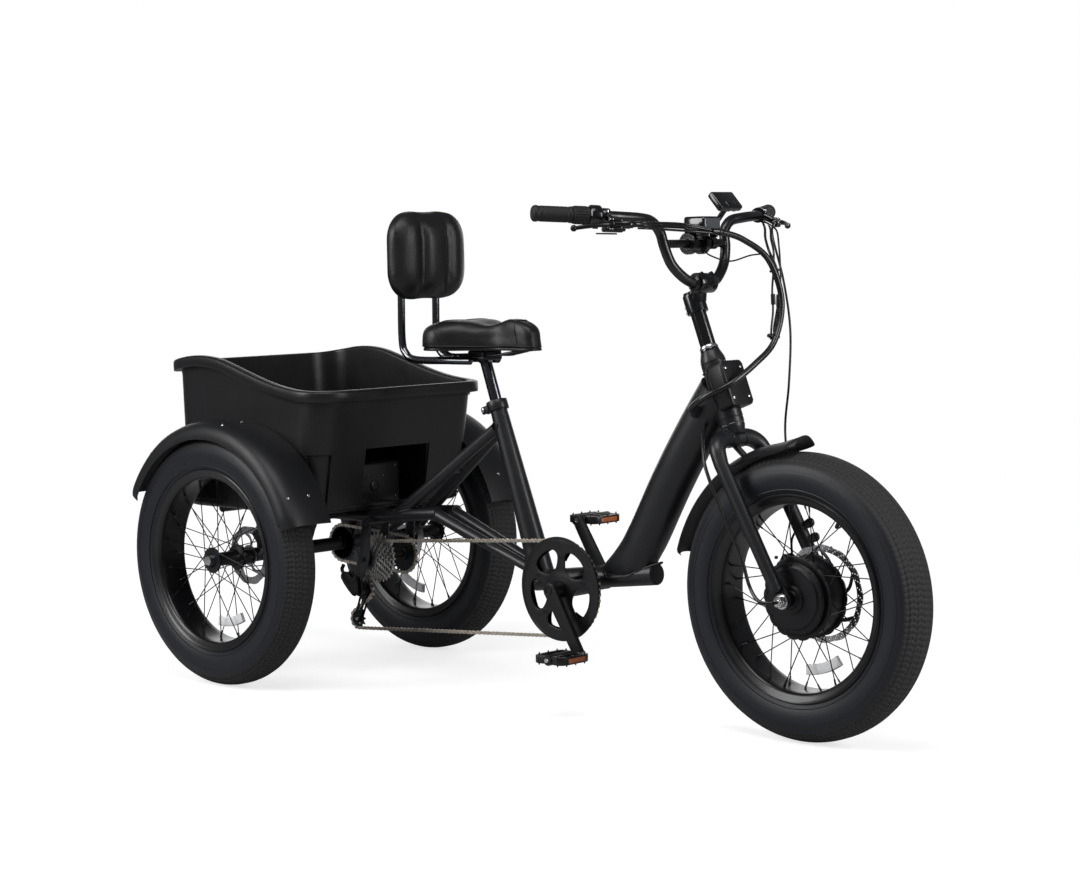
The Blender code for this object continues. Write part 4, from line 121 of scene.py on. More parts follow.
class Graph:
    """A tree of shader nodes."""

    def __init__(self, tree: bpy.types.NodeTree) -> None:
        """Empty a tree."""
        self.tree = tree
        self.tree.nodes.clear()

    def node(self, kind: str, settings: dict, inputs: dict, output: int | str = 0) -> Signal:
        """Add a node, set it up, and feed its sockets.

        Args:
            kind: The node's type.
            settings: Its own properties.
            inputs: Values or signals by socket name or number.
            output: Which output to return.

        Returns:
            The chosen output.
        """
        made = self.tree.nodes.new(kind)
        for key, value in settings.items():
            setattr(made, key, value)
        self.feed(made, inputs)
        return Signal(self, made.outputs[output])

    def feed(self, made: bpy.types.Node, inputs: dict) -> None:
        """Feed a node's sockets with values or signals by name or number.

        Args:
            made: The node.
            inputs: Values or signals by socket name or number.
        """
        for key, value in inputs.items():
            if isinstance(value, Signal):
                self.tree.links.new(value.socket, made.inputs[key])
            else:
                made.inputs[key].default_value = value

    def place(self, stretch: Sequence[float] = (1.0, 1.0, 1.0), centre: Sequence[float] = (0, 0, 0)) -> Signal:
        """Return object coordinates, stretched about a centre.

        Args:
            stretch: The scale along each axis.
            centre: The point that stays at the origin.

        Returns:
            The coordinates.
        """
        coordinates = self.node("ShaderNodeTexCoord", {}, {}, "Object")
        offset = tuple(-c * s for c, s in zip(centre, stretch))
        return self.node(
            "ShaderNodeMapping", {}, {"Vector": coordinates, "Location": offset, "Scale": tuple(stretch)}
        )

    def noise(self, scale: float, detail: float = 3.0, stretch: Sequence[float] = (1.0, 1.0, 1.0)) -> Signal:
        """Return soft noise from 0 to 1 on object coordinates."""
        inputs = {"Vector": self.place(stretch), "Scale": scale, "Detail": detail, "Roughness": 0.55}
        return self.node("ShaderNodeTexNoise", {}, inputs, "Fac")

    def cells(self, scale: float) -> Signal:
        """Return the distance to the nearest of scattered points."""
        inputs = {"Vector": self.place(), "Scale": scale}
        return self.node("ShaderNodeTexVoronoi", {}, inputs, "Distance")

    def parts(self, centre: Sequence[float] = (0, 0, 0)) -> tuple[Signal, Signal, Signal]:
        """Return the three object coordinates about a centre.

        Args:
            centre: The point to measure from.

        Returns:
            The x, y and z coordinates.
        """
        split = self.tree.nodes.new("ShaderNodeSeparateXYZ")
        self.tree.links.new(self.place(centre=centre).socket, split.inputs[0])
        return tuple(Signal(self, socket) for socket in split.outputs)

    def radius(self, centre: Sequence[float]) -> Signal:
        """Return the distance from an axle that runs along Y."""
        x, _, z = self.parts(centre)
        return (x * x + z * z) ** 0.5

    def tint(self, share: Number, low: Colour, high: Colour) -> Signal:
        """Mix two colours by a share."""
        inputs = {0: share, 6: (*low, 1.0), 7: (*high, 1.0)}
        return self.node("ShaderNodeMix", {"data_type": "RGBA"}, inputs, 2)

    def emboss(self, height: Signal, depth: float, under: Signal | None = None) -> Signal:
        """Return a normal for a height from 0 to 1, as deep as given in metres.

        Args:
            height: The height as a signal.
            depth: How deep a height of 1 is, in metres.
            under: A normal that this one lies on.

        Returns:
            The normal.
        """
        inputs = {"Height": height, "Distance": depth, "Strength": 1.0}
        if under is not None:
            inputs["Normal"] = under
        return self.node("ShaderNodeBump", {}, inputs)

    def in_view(self) -> Signal:
        """Return 1 where the camera looks straight at it, or else 0."""
        return self.node("ShaderNodeLightPath", {}, {}, "Is Camera Ray")


class Paint(Graph):
    """The tree of one material."""

    def __init__(self, name: str) -> None:
        """Start a material with a shader and an output.

        Args:
            name: The material's name.
        """
        self.material = bpy.data.materials.new(name)
        self.material.use_nodes = True
        super().__init__(self.material.node_tree)
        self.output = self.tree.nodes.new("ShaderNodeOutputMaterial")
        self.shader = self.tree.nodes.new("ShaderNodeBsdfPrincipled")
        self.tree.links.new(self.shader.outputs[0], self.output.inputs["Surface"])

    def dress(self, **sockets: "Signal | float | tuple") -> bpy.types.Material:
        """Feed the shader's sockets by name, with underscores for spaces, and return the material."""
        self.feed(self.shader, {key.replace("_", " "): value for key, value in sockets.items()})
        return self.material


@dataclass(frozen=True)
class Finish:
    """A painted, plated or moulded surface with a fine grain and slow changes of tone."""

    name: str
    slot: str
    colour: Colour
    roughness: float = 0.45
    metallic: float = 0.0
    coat: float = 0.0
    grain: float = 900.0
    depth: float = 0.00004
    change: float = 0.25
    dust: float = 0.0
    specular: float = 0.4

    def tone(self, graph: Graph) -> Signal:
        """Return the colour, which drifts a little over the piece and gathers some dust.

        Args:
            graph: The material's tree.

        Returns:
            The colour.
        """
        share = graph.noise(9.0, 4.0)
        low = tuple(c * (1 - self.change) for c in self.colour)
        high = tuple(min(1.0, c * (1 + self.change) + self.dust) for c in self.colour)
        return graph.tint(share, low, high)

    def shine(self, graph: Graph) -> Signal:
        """Return the roughness, with faint smears."""
        return graph.noise(23.0, 5.0) * (self.roughness * 0.35) + self.roughness * 0.82

    def relief(self, graph: Graph) -> Signal:
        """Return the surface's fine grain as a normal."""
        return graph.emboss(graph.noise(self.grain, 2.0), self.depth)

    def build(self) -> bpy.types.Material:
        """Make the material.

        Returns:
            The material.
        """
        graph = Paint(self.name)
        return graph.dress(
            Base_Color=self.tone(graph), Roughness=self.shine(graph), Metallic=self.metallic, Coat_Weight=self.coat,
            Coat_Roughness=0.12, Specular_IOR_Level=self.specular, Normal=self.relief(graph)
        )


@dataclass(frozen=True)
class TyreRubber(Finish):
    """Tyre rubber: a satin sidewall with fine moulding rings, and a dull, dusty tread."""

    centre: tuple[float, float, float] = (0.0, 0.0, 0.0)
    tread_start: float = 0.272

    def build(self) -> bpy.types.Material:
        """Make the material.

        Returns:
            The material.
        """
        graph = Paint(self.name)
        radius = graph.radius(self.centre)
        tread = radius.above(self.tread_start, 0.006)
        patches = graph.noise(14.0, 5.0)
        side = graph.tint(patches, self.colour, tuple(c * 1.75 for c in self.colour))
        worn = graph.tint(graph.noise(420.0, 3.0), (0.0085, 0.0085, 0.0092), (0.034, 0.033, 0.032))
        colour = graph.node("ShaderNodeMix", {"data_type": "RGBA"}, {0: tread, 6: side, 7: worn}, 2)
        rings = (radius * 2600.0).wave() * 0.5 + 0.5
        fine = graph.emboss(graph.noise(1300.0, 2.0), 0.00009)
        normal = graph.emboss(rings * (1.0 - tread), 0.00006, fine)
        rough = tread * 0.26 + patches * 0.1 + self.roughness
        return graph.dress(Base_Color=colour, Roughness=rough, Normal=normal, Specular_IOR_Level=0.36)


@dataclass(frozen=True)
class TurnedMetal(Finish):
    """Metal turned or ground round an axle, with fine rings in its shine."""

    centre: tuple[float, float, float] = (0.0, 0.0, 0.0)

    def relief(self, graph: Graph) -> Signal:
        """Return fine rings round the axle as a normal.

        Args:
            graph: The material's tree.

        Returns:
            The normal.
        """
        radius = graph.radius(self.centre)
        rings = graph.node(
            "ShaderNodeTexNoise", {"noise_dimensions": "1D"}, {"W": radius * 3000.0, "Detail": 2.0}, "Fac"
        )
        return graph.emboss(rings, self.depth)


@dataclass(frozen=True)
class Vinyl(Finish):
    """Soft black vinyl with a pebbled grain and the odd crease."""

    def relief(self, graph: Graph) -> Signal:
        """Return the pebbles over slow creases as a normal."""
        crease = graph.emboss(graph.noise(34.0, 3.0, (1.0, 1.0, 1.6)), 0.0009)
        return graph.emboss(graph.cells(620.0), 0.00022, crease)

    def shine(self, graph: Graph) -> Signal:
        """Return a roughness that is lower where the seat is rubbed."""
        return graph.noise(11.0, 3.0) * 0.16 + (self.roughness - 0.08) + graph.cells(620.0) * 0.1


@dataclass(frozen=True)
class Lens(Finish):
    """A moulded reflector or lamp glass with a grid of small prisms behind it."""

    prism: float = 900.0

    def relief(self, graph: Graph) -> Signal:
        """Return the prisms as a normal."""
        return graph.emboss(graph.cells(self.prism), 0.0005)


class Look(Enum):
    """Every finish of the tricycle but those of the tyres and the ground metal."""

    FRAME = Finish("frame_paint", "frame_paint", (0.0057, 0.0063, 0.0083), 0.42, 0.0, 0.12, 1500.0, 0.00003)
    WELD = Finish("weld_paint", "frame_paint", (0.006, 0.0065, 0.0084), 0.38, 0.0, 0.1, 1200.0, 0.00004)
    BAR = Finish("bar_paint", "frame_paint", (0.0035, 0.0036, 0.0041), 0.3, 0.0, 0.25, 1100.0, 0.00002)
    LEVER = Finish("lever_black", "dark_steel", (0.0055, 0.0056, 0.0061), 0.32, 0.5, 0.1, 1100.0, 0.00002)
    CHROME = Finish("black_chrome", "gloss_black", (0.105, 0.108, 0.118), 0.14, 1.0, 0.3, 500.0, 0.00001)
    GLOSS = Finish("gloss_black", "gloss_black", (0.003, 0.003, 0.0035), 0.12, 0.0, 0.7, 300.0, 0.00001)
    TUB = Finish("tub_plastic", "tub_plastic", (0.0043, 0.0044, 0.005), 0.38, 0.0, 0.0, 1900.0, 0.00007, 0.2, 0.002)
    # Tub plastic made darker and less glossy for the tub's floor and battery cover: painted shade for the inside of
    # the tub.
    TUB_INSIDE_PAINTED_SHADE = Finish(
        "tub_inside_painted_shade", "tub_plastic", (0.002, 0.0021, 0.0025), 0.62, 0.0, 0.0, 1200.0, 0.00009, specular=0.22
    )
    FENDER = Finish("fender_plastic", "tub_plastic", (0.0045, 0.0049, 0.0063), 0.46, 0.0, 0.0, 1700.0, 0.00006)
    PLASTIC = Finish("black_plastic", "black_plastic", (0.0037, 0.0039, 0.0045), 0.4, 0.0, 0.0, 1400.0, 0.00006)
    SMOOTH = Finish("smooth_plastic", "black_plastic", (0.0032, 0.0034, 0.004), 0.2, 0.0, 0.4, 500.0, 0.00001)
    GRIP = Finish("grip_rubber", "grip_rubber", (0.0055, 0.0056, 0.0061), 0.62, 0.0, 0.0, 2200.0, 0.0001)
    RIM = Finish("rim_black", "rim_black", (0.003, 0.0032, 0.0039), 0.33, 0.0, 0.15, 1200.0, 0.00003)
    MOTOR = Finish("motor_black", "motor_black", (0.0043, 0.0046, 0.0057), 0.4, 0.3, 0.0, 1500.0, 0.00005)
    SPOKE = Finish("spoke_black", "motor_black", (0.004, 0.004, 0.0045), 0.3, 0.6, 0.0, 900.0, 0.00001)
    STEEL = Finish("plated_steel", "steel", (0.56, 0.56, 0.57), 0.24, 1.0, 0.0, 800.0, 0.00002, 0.12)
    DARK = Finish("dark_steel", "dark_steel", (0.03, 0.031, 0.034), 0.33, 0.8, 0.0, 900.0, 0.00003)
    RING = Finish("chainring_black", "motor_black", (0.005, 0.0051, 0.0056), 0.36, 0.5, 0.0, 1200.0, 0.00002)
    GUARD = Finish("guard_black", "motor_black", (0.0065, 0.0067, 0.0075), 0.34, 0.2, 0.1, 900.0, 0.00002)
    ARM = Finish("crank_black", "motor_black", (0.0053, 0.0054, 0.0061), 0.4, 0.2, 0.0, 1300.0, 0.00003)
    PEDAL = Finish("pedal_plastic", "black_plastic", (0.005, 0.0051, 0.0056), 0.36, 0.0, 0.0, 1500.0, 0.00004)
    MECH = Finish("mech_black", "dark_steel", (0.018, 0.0185, 0.02), 0.28, 0.7, 0.1, 900.0, 0.00002)
    NICKEL = Finish("chain_nickel", "chain_nickel", (0.56, 0.5, 0.42), 0.3, 1.0, 0.0, 700.0, 0.00003, 0.35)
    COG = Finish("cog_nickel", "dark_steel", (0.6, 0.59, 0.57), 0.36, 1.0, 0.0, 700.0, 0.00003, 0.25)
    VINYL = Vinyl("seat_vinyl", "seat_vinyl", (0.006, 0.006, 0.0065), 0.34)
    SEAM = Finish("seat_piping", "seat_vinyl", (0.003, 0.003, 0.0032), 0.45)
    SHEATH = Finish("cable_sheath", "cable_sheath", (0.0035, 0.0035, 0.0039), 0.3, 0.0, 0.2, 400.0, 0.00001)
    GLASS = Finish("screen_glass", "gloss_black", (0.002, 0.0023, 0.0028), 0.06, 0.0, 1.0, 60.0, 0.000002)
    AMBER = Lens("amber_lens", "gloss_black", (0.36, 0.085, 0.006), 0.16, 0.0, 0.6)
    WHITE_LENS = Lens("white_lens", "gloss_black", (0.9, 0.91, 0.93), 0.18, 0.0, 0.6)
    LAMP = Lens("lamp_glass", "gloss_black", (0.075, 0.08, 0.088), 0.08, 0.0, 1.0, 60.0, prism=260.0)


class Paintbox:
    """The materials made so far, one for each finish."""

    made: dict[Finish, bpy.types.Material] = {}

    @classmethod
    def get(cls, finish: Finish | Look) -> bpy.types.Material:
        """Return a finish's material, and make it on its first use.

        Args:
            finish: The finish, or its name among the looks.

        Returns:
            The material.
        """
        finish = finish.value if isinstance(finish, Look) else finish
        if finish not in cls.made:
            cls.made[finish] = finish.build()
        return cls.made[finish]


@dataclass(frozen=True)
class Layout:
    """The places and main sizes that several sub-assemblies share, in metres."""

    wheel_radius: float = 0.295
    wheelbase: float = 1.452
    track: float = 0.657
    head_tilt: float = math.radians(21)
    head_top: tuple = (0.4825, 0.0, 0.787)
    seat_tube_top: tuple = (-0.141, 0.0, 0.655)
    seat_tube_foot: tuple = (-0.0045, 0.0, 0.264)
    crank_centre: tuple = (0.1, 0.0, 0.264)
    crank_length: float = 0.155
    crank_angle: float = math.radians(-58)
    jackshaft: tuple = (-0.51038, 0.0, 0.284)
    guide_pulley: tuple = (-0.54038, 0.0, 0.205)
    tension_pulley: tuple = (-0.56933, 0.0, 0.13419)
    chain_line: float = -0.05
    chain_pitch: float = 0.0127
    rail_height: float = 0.3862
    bar_clamp: tuple = (0.466, 0.0, 0.93)
    crossbar: tuple = (0.4445, 0.0, 1.012)
    grip_end: tuple = (0.343, 0.376, 1.078)
    grip_sweep: float = math.radians(30)
    grip_rise: float = math.radians(3)

    @property
    def front_axle(self) -> Vector:
        """Return the front wheel's centre."""
        return Vector((self.wheelbase / 2, 0.0, self.wheel_radius))

    @property
    def rear_axle(self) -> Vector:
        """Return the middle of the rear axle."""
        return Vector((-self.wheelbase / 2, 0.0, self.wheel_radius))

    @property
    def steer_up(self) -> Vector:
        """Return the steering axis."""
        return Vector((-math.sin(self.head_tilt), 0.0, math.cos(self.head_tilt)))

    @property
    def steer_forward(self) -> Vector:
        """Return the way ahead, square to the steering axis."""
        return Vector((math.cos(self.head_tilt), 0.0, math.sin(self.head_tilt)))

    def on_steerer(self, height: float, ahead: float = 0.0, left: float = 0.0) -> Vector:
        """Return a point by its place along, ahead of and beside the steering axis from the head tube's top."""
        return Vector(self.head_top) + self.steer_up * height + self.steer_forward * ahead + LEFT * left

    def grip_axes(self, side: int) -> tuple[Vector, Vector, Vector]:
        """Return the ways inward along a grip, ahead of it and over it.

        Args:
            side: 1 for left and -1 for right.

        Returns:
            The three ways.
        """
        level = Vector((math.sin(self.grip_sweep), -side * math.cos(self.grip_sweep), 0.0))
        inward = level * math.cos(self.grip_rise) - UP * math.sin(self.grip_rise)
        ahead = Vector((math.cos(self.grip_sweep), side * math.sin(self.grip_sweep), 0.0))
        over = inward.cross(ahead) * side
        return inward, ahead, over

    def grip_point(self, from_end: float, side: int) -> Vector:
        """Return a point on a grip's axis by its distance from the bar's end.

        Args:
            from_end: The distance from the bar's end.
            side: 1 for left and -1 for right.

        Returns:
            The point.
        """
        end = Vector(self.grip_end)
        end.y *= side
        return end + self.grip_axes(side)[0] * from_end


PLAN = Layout()


def turn_onto(x: Vector, y: Vector, z: Vector) -> Matrix:
    """Return a turn onto three square axes."""
    return Matrix((x, y, z)).transposed().to_4x4()


def frame_of(axis: Vector, hint: Vector = UP) -> Matrix:
    """Return a turn whose Z lies on an axis and whose Y leans to a hint.

    Args:
        axis: The way that Z takes.
        hint: The way that Y leans to.

    Returns:
        The turn.
    """
    z = axis.normalized()
    x = hint.cross(z)
    if x.length < 1e-4:
        x = FORWARD.cross(z)
    x.normalize()
    return turn_onto(x, z.cross(x), z)


def radial(angle: float) -> Vector:
    """Return the way out from a sideways axle at an angle from ahead up."""
    return FORWARD * math.cos(angle) + UP * math.sin(angle)


def full_turn(count: int) -> list[float]:
    """Return evenly spaced angles round one turn."""
    return [math.tau * step / count for step in range(count)]


def smooth_path(points: Sequence[Sequence[float]], steps: int = 8) -> list[Vector]:
    """Return a curve through points that leans to the even spacing of a bent tube.

    Args:
        points: The points that the curve passes.
        steps: How many stretches to draw between two of them.

    Returns:
        The points of the curve.
    """
    knots = [Vector(point) for point in points]
    if len(knots) < 3:
        return knots
    knots = [2 * knots[0] - knots[1]] + knots + [2 * knots[-1] - knots[-2]]
    path = []
    for index in range(1, len(knots) - 2):
        before, here, after, beyond = knots[index - 1 : index + 3]
        for step in range(steps):
            t = step / steps
            path.append(
                0.5 * (
                    2 * here + (after - before) * t + (2 * before - 5 * here + 4 * after - beyond) * t**2
                    + (3 * here - before - 3 * after + beyond) * t**3
                )
            )
    return path + [knots[-2]]


def evenly(path: Sequence[Vector], step: float) -> list[Vector]:
    """Return points along a path that lie about one step apart.

    Args:
        path: The path's points.
        step: The distance to keep between two points.

    Returns:
        The new points, with both ends kept.
    """
    lengths = [0.0]
    for before, after in zip(path, path[1:]):
        lengths.append(lengths[-1] + (after - before).length)
    count = max(2, round(lengths[-1] / step))
    points, index = [], 0
    for number in range(count + 1):
        along = lengths[-1] * number / count
        while index < len(path) - 2 and lengths[index + 1] < along:
            index += 1
        share = (along - lengths[index]) / max(1e-9, lengths[index + 1] - lengths[index])
        points.append(path[index].lerp(path[index + 1], share))
    return points


def ring_about(centre: Vector, axis: Vector, half_x: float, half_y: float, count: int = 48) -> list[Vector]:
    """Return an oval round an axis, its height leaning up."""
    turn = Matrix.Translation(centre) @ frame_of(axis)
    return [turn @ Vector((half_x * math.cos(way), half_y * math.sin(way), 0.0)) for way in full_turn(count)]


def upright(points: Sequence[tuple[float, float]], centre: Vector, y: float) -> list[Vector]:
    """Return an outline of (forward, up) points round a centre, at one place from side to side."""
    return [Vector((centre.x + ahead, y, centre.z + high)) for ahead, high in points]


def capsule(
    start: tuple[float, float], end: tuple[float, float], start_radius: float, end_radius: float, count: int = 12
) -> list[tuple[float, float]]:
    """Return the outline round two circles, as (forward, up) points.

    Args:
        start: The first circle's centre.
        end: The second circle's centre.
        start_radius: The first circle's radius.
        end_radius: The second circle's radius.
        count: How many stretches each arc has.

    Returns:
        The outline's points.
    """
    heading = math.atan2(end[1] - start[1], end[0] - start[0])
    lean = math.acos((start_radius - end_radius) / math.dist(start, end))
    points = []
    for (x, z), radius, first, last in (
        (start, start_radius, heading + lean, heading + math.tau - lean),
        (end, end_radius, heading - lean, heading + lean)
    ):
        for step in range(count + 1):
            angle = first + (last - first) * step / count
            points.append((x + radius * math.cos(angle), z + radius * math.sin(angle)))
    return points


class Form:
    """A mesh that is shaped step by step and becomes one piece of the tricycle."""

    def __init__(self) -> None:
        """Start with nothing."""
        self.bm = bmesh.new()

    def lathe(
        self, profile: Sequence[tuple[float, float]], centre: Vector, axis: Vector = LEFT, segments: int = 64,
        closed: bool = True
    ) -> "Form":
        """Spin a profile of (along, radius) points round an axis.

        Args:
            profile: The points to spin.
            centre: Where the axis starts.
            axis: The way that the axis takes.
            segments: How many sides a full turn has.
            closed: Whether the profile joins its own start.

        Returns:
            This form.
        """
        turn = Matrix.Translation(centre) @ frame_of(axis)
        verts = [self.bm.verts.new(turn @ Vector((radius, 0.0, along))) for along, radius in profile]
        loop = zip(verts, verts[1:] + verts[:1]) if closed else zip(verts, verts[1:])
        edges = [self.bm.edges.new(pair) for pair in loop]
        bmesh.ops.spin(
            self.bm, geom=verts + edges, cent=centre, axis=axis.normalized(), angle=math.tau, steps=segments,
            use_merge=True
        )
        near = [vert for vert in self.bm.verts if (vert.co - centre).cross(axis.normalized()).length < 1e-5]
        if near:
            bmesh.ops.remove_doubles(self.bm, verts=near, dist=2e-5)
        return self

    def sweep(
        self, path: Sequence[Vector], radius: "float | Sequence[float | tuple[float, float]]", segments: int = 16,
        closed: bool = False, hint: Vector = UP, fixed: bool = False
    ) -> "Form":
        """Draw a round or oval section along a path.

        Args:
            path: The section's centres.
            radius: One radius, or at each centre a radius or the half width and half height.
            segments: How many sides the section has.
            closed: Whether the path joins its own start.
            hint: The way that the section's height leans at the start.
            fixed: Whether the height leans that way all along.

        Returns:
            This form.
        """
        path = [Vector(point) for point in path]
        sizes = [radius] * len(path) if isinstance(radius, (int, float)) else radius
        sizes = [(size, size) if isinstance(size, (int, float)) else size for size in sizes]
        count = len(path)
        turns = []
        turn = None
        for index in range(count):
            before = path[(index - 1) % count] if closed or index else path[0]
            after = path[(index + 1) % count] if closed or index < count - 1 else path[-1]
            axis = (after - before).normalized()
            lean = hint if turn is None or fixed else turn.col[1].to_3d()
            turn = frame_of(axis, lean)
            turns.append(Matrix.Translation(path[index]) @ turn @ Matrix.Diagonal((*sizes[index], 1.0, 1.0)))
        ring = bmesh.ops.create_circle(self.bm, segments=segments, radius=1.0, matrix=turns[0])["verts"]
        edges = list({edge for vert in ring for edge in vert.link_edges})
        first, last = edges, edges
        for index in range(1, count):
            grown = bmesh.ops.extrude_edge_only(self.bm, edges=last)["geom"]
            verts = [item for item in grown if isinstance(item, bmesh.types.BMVert)]
            last = [item for item in grown if isinstance(item, bmesh.types.BMEdge)]
            bmesh.ops.transform(self.bm, matrix=turns[index] @ turns[index - 1].inverted(), verts=verts)
        if closed:
            bmesh.ops.bridge_loops(self.bm, edges=first + last)
        else:
            for edges in (first, last):
                bmesh.ops.contextual_create(self.bm, geom=edges)
        return self

    def loft(self, rings: Sequence[Sequence[Vector]], caps: bool = False) -> "Form":
        """Draw a skin over rings of as many points, with flat ends if they are asked for.

        Args:
            rings: The rings, from one end to the other.
            caps: Whether to close both ends.

        Returns:
            This form.
        """
        before = [self.bm.verts.new(point) for point in rings[0]]
        if caps:
            self.bm.faces.new(before)
        for ring in rings[1:]:
            after = [self.bm.verts.new(point) for point in ring]
            for index in range(len(ring)):
                self.bm.faces.new((before[index - 1], before[index], after[index], after[index - 1]))
            before = after
        if caps:
            self.bm.faces.new(before)
        return self

    def tube(self, start: Sequence[float], end: Sequence[float], radius: float, segments: int = 24) -> "Form":
        """Draw a straight round bar."""
        return self.sweep([Vector(start), Vector(end)], radius, segments)

    def ball(self, centre: Vector, size: Sequence[float], detail: int = 16) -> "Form":
        """Draw a ball that may be flattened.

        Args:
            centre: The ball's centre.
            size: Its half sizes along the axes.
            detail: How many sides it has.

        Returns:
            This form.
        """
        matrix = Matrix.Translation(centre) @ Matrix.Diagonal((*size, 1.0))
        bmesh.ops.create_uvsphere(self.bm, u_segments=detail, v_segments=detail // 2, radius=1.0, matrix=matrix)
        return self

    def block(
        self, centre: Sequence[float], size: Sequence[float], turn: Matrix | None = None, bevel: float = 0.0
    ) -> "Form":
        """Draw a box with rounded edges.

        Args:
            centre: The box's centre.
            size: Its sizes.
            turn: How it is turned.
            bevel: The radius of its edges.

        Returns:
            This form.
        """
        matrix = Matrix.Translation(Vector(centre)) @ (turn or Matrix.Identity(4)) @ Matrix.Diagonal((*size, 1.0))
        verts = bmesh.ops.create_cube(self.bm, size=1.0, matrix=matrix)["verts"]
        if bevel:
            edges = list({edge for vert in verts for edge in vert.link_edges})
            bmesh.ops.bevel(self.bm, geom=edges, offset=bevel, segments=3, profile=0.5, affect="EDGES", material=-1)
        return self

    def slab(self, outlines: Sequence[Sequence[Vector]], depth: Vector, bevel: float = 0.0, steps: int = 2) -> "Form":
        """Draw a flat plate from its outline and the outlines of its holes.

        Args:
            outlines: The plate's outline, and then those of its holes.
            depth: The way and distance to the far side.
            bevel: The radius of its edges.
            steps: How many steps an edge has.

        Returns:
            This form.
        """
        before = set(self.bm.faces)
        normal = depth.normalized()
        turn = frame_of(depth)
        places, loops = [], []
        for outline in outlines:
            flat = [turn.inverted() @ point for point in outline]
            level = flat[0].z
            flat = [point.to_2d() for point in flat]
            if sum(here.cross(after) for here, after in zip(flat, flat[1:] + flat[:1])) < 0:
                flat.reverse()
            loops.append(list(range(len(places), len(places) + len(flat))))
            places += flat
        places, _, corners, _, _, sources = geometry.delaunay_2d_cdt(places, [], loops, 1, 1e-7)
        verts = [self.bm.verts.new(turn @ Vector((*place, level))) for place in places]
        for corner, source in zip(corners, sources):
            if list(source) == [0]:
                self.bm.faces.new([verts[index] for index in corner])
        faces = [face for face in self.bm.faces if face not in before]
        edges = list({edge for face in faces for edge in face.edges})
        bmesh.ops.dissolve_limit(self.bm, angle_limit=0.01, verts=[], edges=edges)
        faces = [face for face in self.bm.faces if face not in before]
        bmesh.ops.delete(
            self.bm, geom=[vert for vert in verts if vert.is_valid and not vert.link_faces], context="VERTS"
        )
        grown = bmesh.ops.extrude_face_region(self.bm, geom=faces, use_keep_orig=True)["geom"]
        bmesh.ops.translate(self.bm, vec=depth, verts=[v for v in grown if isinstance(v, bmesh.types.BMVert)])
        made = [face for face in self.bm.faces if face not in before]
        bmesh.ops.recalc_face_normals(self.bm, faces=made)
        if bevel:
            rims = [
                edge for edge in {edge for face in made for edge in face.edges}
                if len(edge.link_faces) == 2 and edge.calc_face_angle() > 0.6 and abs(
                    (edge.verts[0].co - edge.verts[1].co).normalized().dot(normal)
                ) < 0.5
            ]
            bmesh.ops.bevel(
                self.bm, geom=rims, offset=bevel, segments=steps, profile=0.5, affect="EDGES", material=-1
            )
        return self

    def weld(self, ring: Sequence[Vector], bead: float = 0.0021) -> "Form":
        """Lay a rippled bead of weld along a closed line.

        Args:
            ring: The closed line.
            bead: The bead's radius.

        Returns:
            This form.
        """
        line = evenly(list(ring) + [ring[0]], 0.0011)[:-1]
        sizes = [bead * (0.8 + 0.28 * abs(math.sin(math.pi * index / 4))) for index in range(len(line))]
        return self.sweep(line, sizes, 8, closed=True)

    def joint(
        self, ring: Sequence[Vector], way: Vector, centre: Vector, axis: Vector, radius: float, bead: float = 0.0021
    ) -> "Form":
        """Lay a weld where a tube's outline, carried on its way, meets a round tube.

        Args:
            ring: The tube's outline.
            way: The way that the outline is carried.
            centre: A point on the round tube's axis.
            axis: The round tube's axis.
            radius: The round tube's radius.
            bead: The bead's radius.

        Returns:
            This form.
        """
        axis = axis.normalized()
        flat = way - axis * way.dot(axis)
        line = []
        for point in ring:
            off = point - centre
            off -= axis * off.dot(axis)
            slope, reach = off.dot(flat) / flat.length_squared, off.length_squared - radius**2
            root = max(0.0, slope**2 - reach / flat.length_squared)
            line.append(point + way * (-slope - math.sqrt(root)))
        return self.weld(line, bead)

    def copy_of(self, node: str) -> "Form":
        """Take a solid's mesh and join its triangles into flat faces.

        Args:
            node: The solid's name.

        Returns:
            This form.
        """
        self.bm.from_mesh(frame["nodes"][node].data)
        bmesh.ops.remove_doubles(self.bm, verts=self.bm.verts, dist=1e-6)
        bmesh.ops.dissolve_limit(
            self.bm, angle_limit=0.03, verts=self.bm.verts, edges=self.bm.edges, use_dissolve_boundaries=False
        )
        return self

    def around(self, centre: Vector, axis: Vector, count: int, part: Callable[["Form"], None]) -> "Form":
        """Draw a part and turn copies of it round an axis.

        Args:
            centre: Where the axis starts.
            axis: The way that the axis takes.
            count: How many copies a full turn holds.
            part: What draws the part.

        Returns:
            This form.
        """
        piece = Form()
        part(piece)
        mesh = bpy.data.meshes.new("part")
        piece.bm.to_mesh(mesh)
        piece.bm.free()
        for angle in full_turn(count):
            start = len(self.bm.verts)
            self.bm.from_mesh(mesh)
            self.bm.verts.ensure_lookup_table()
            turn = Matrix.Rotation(angle, 3, axis)
            bmesh.ops.rotate(self.bm, cent=centre, matrix=turn, verts=self.bm.verts[start:])
        bpy.data.meshes.remove(mesh)
        return self

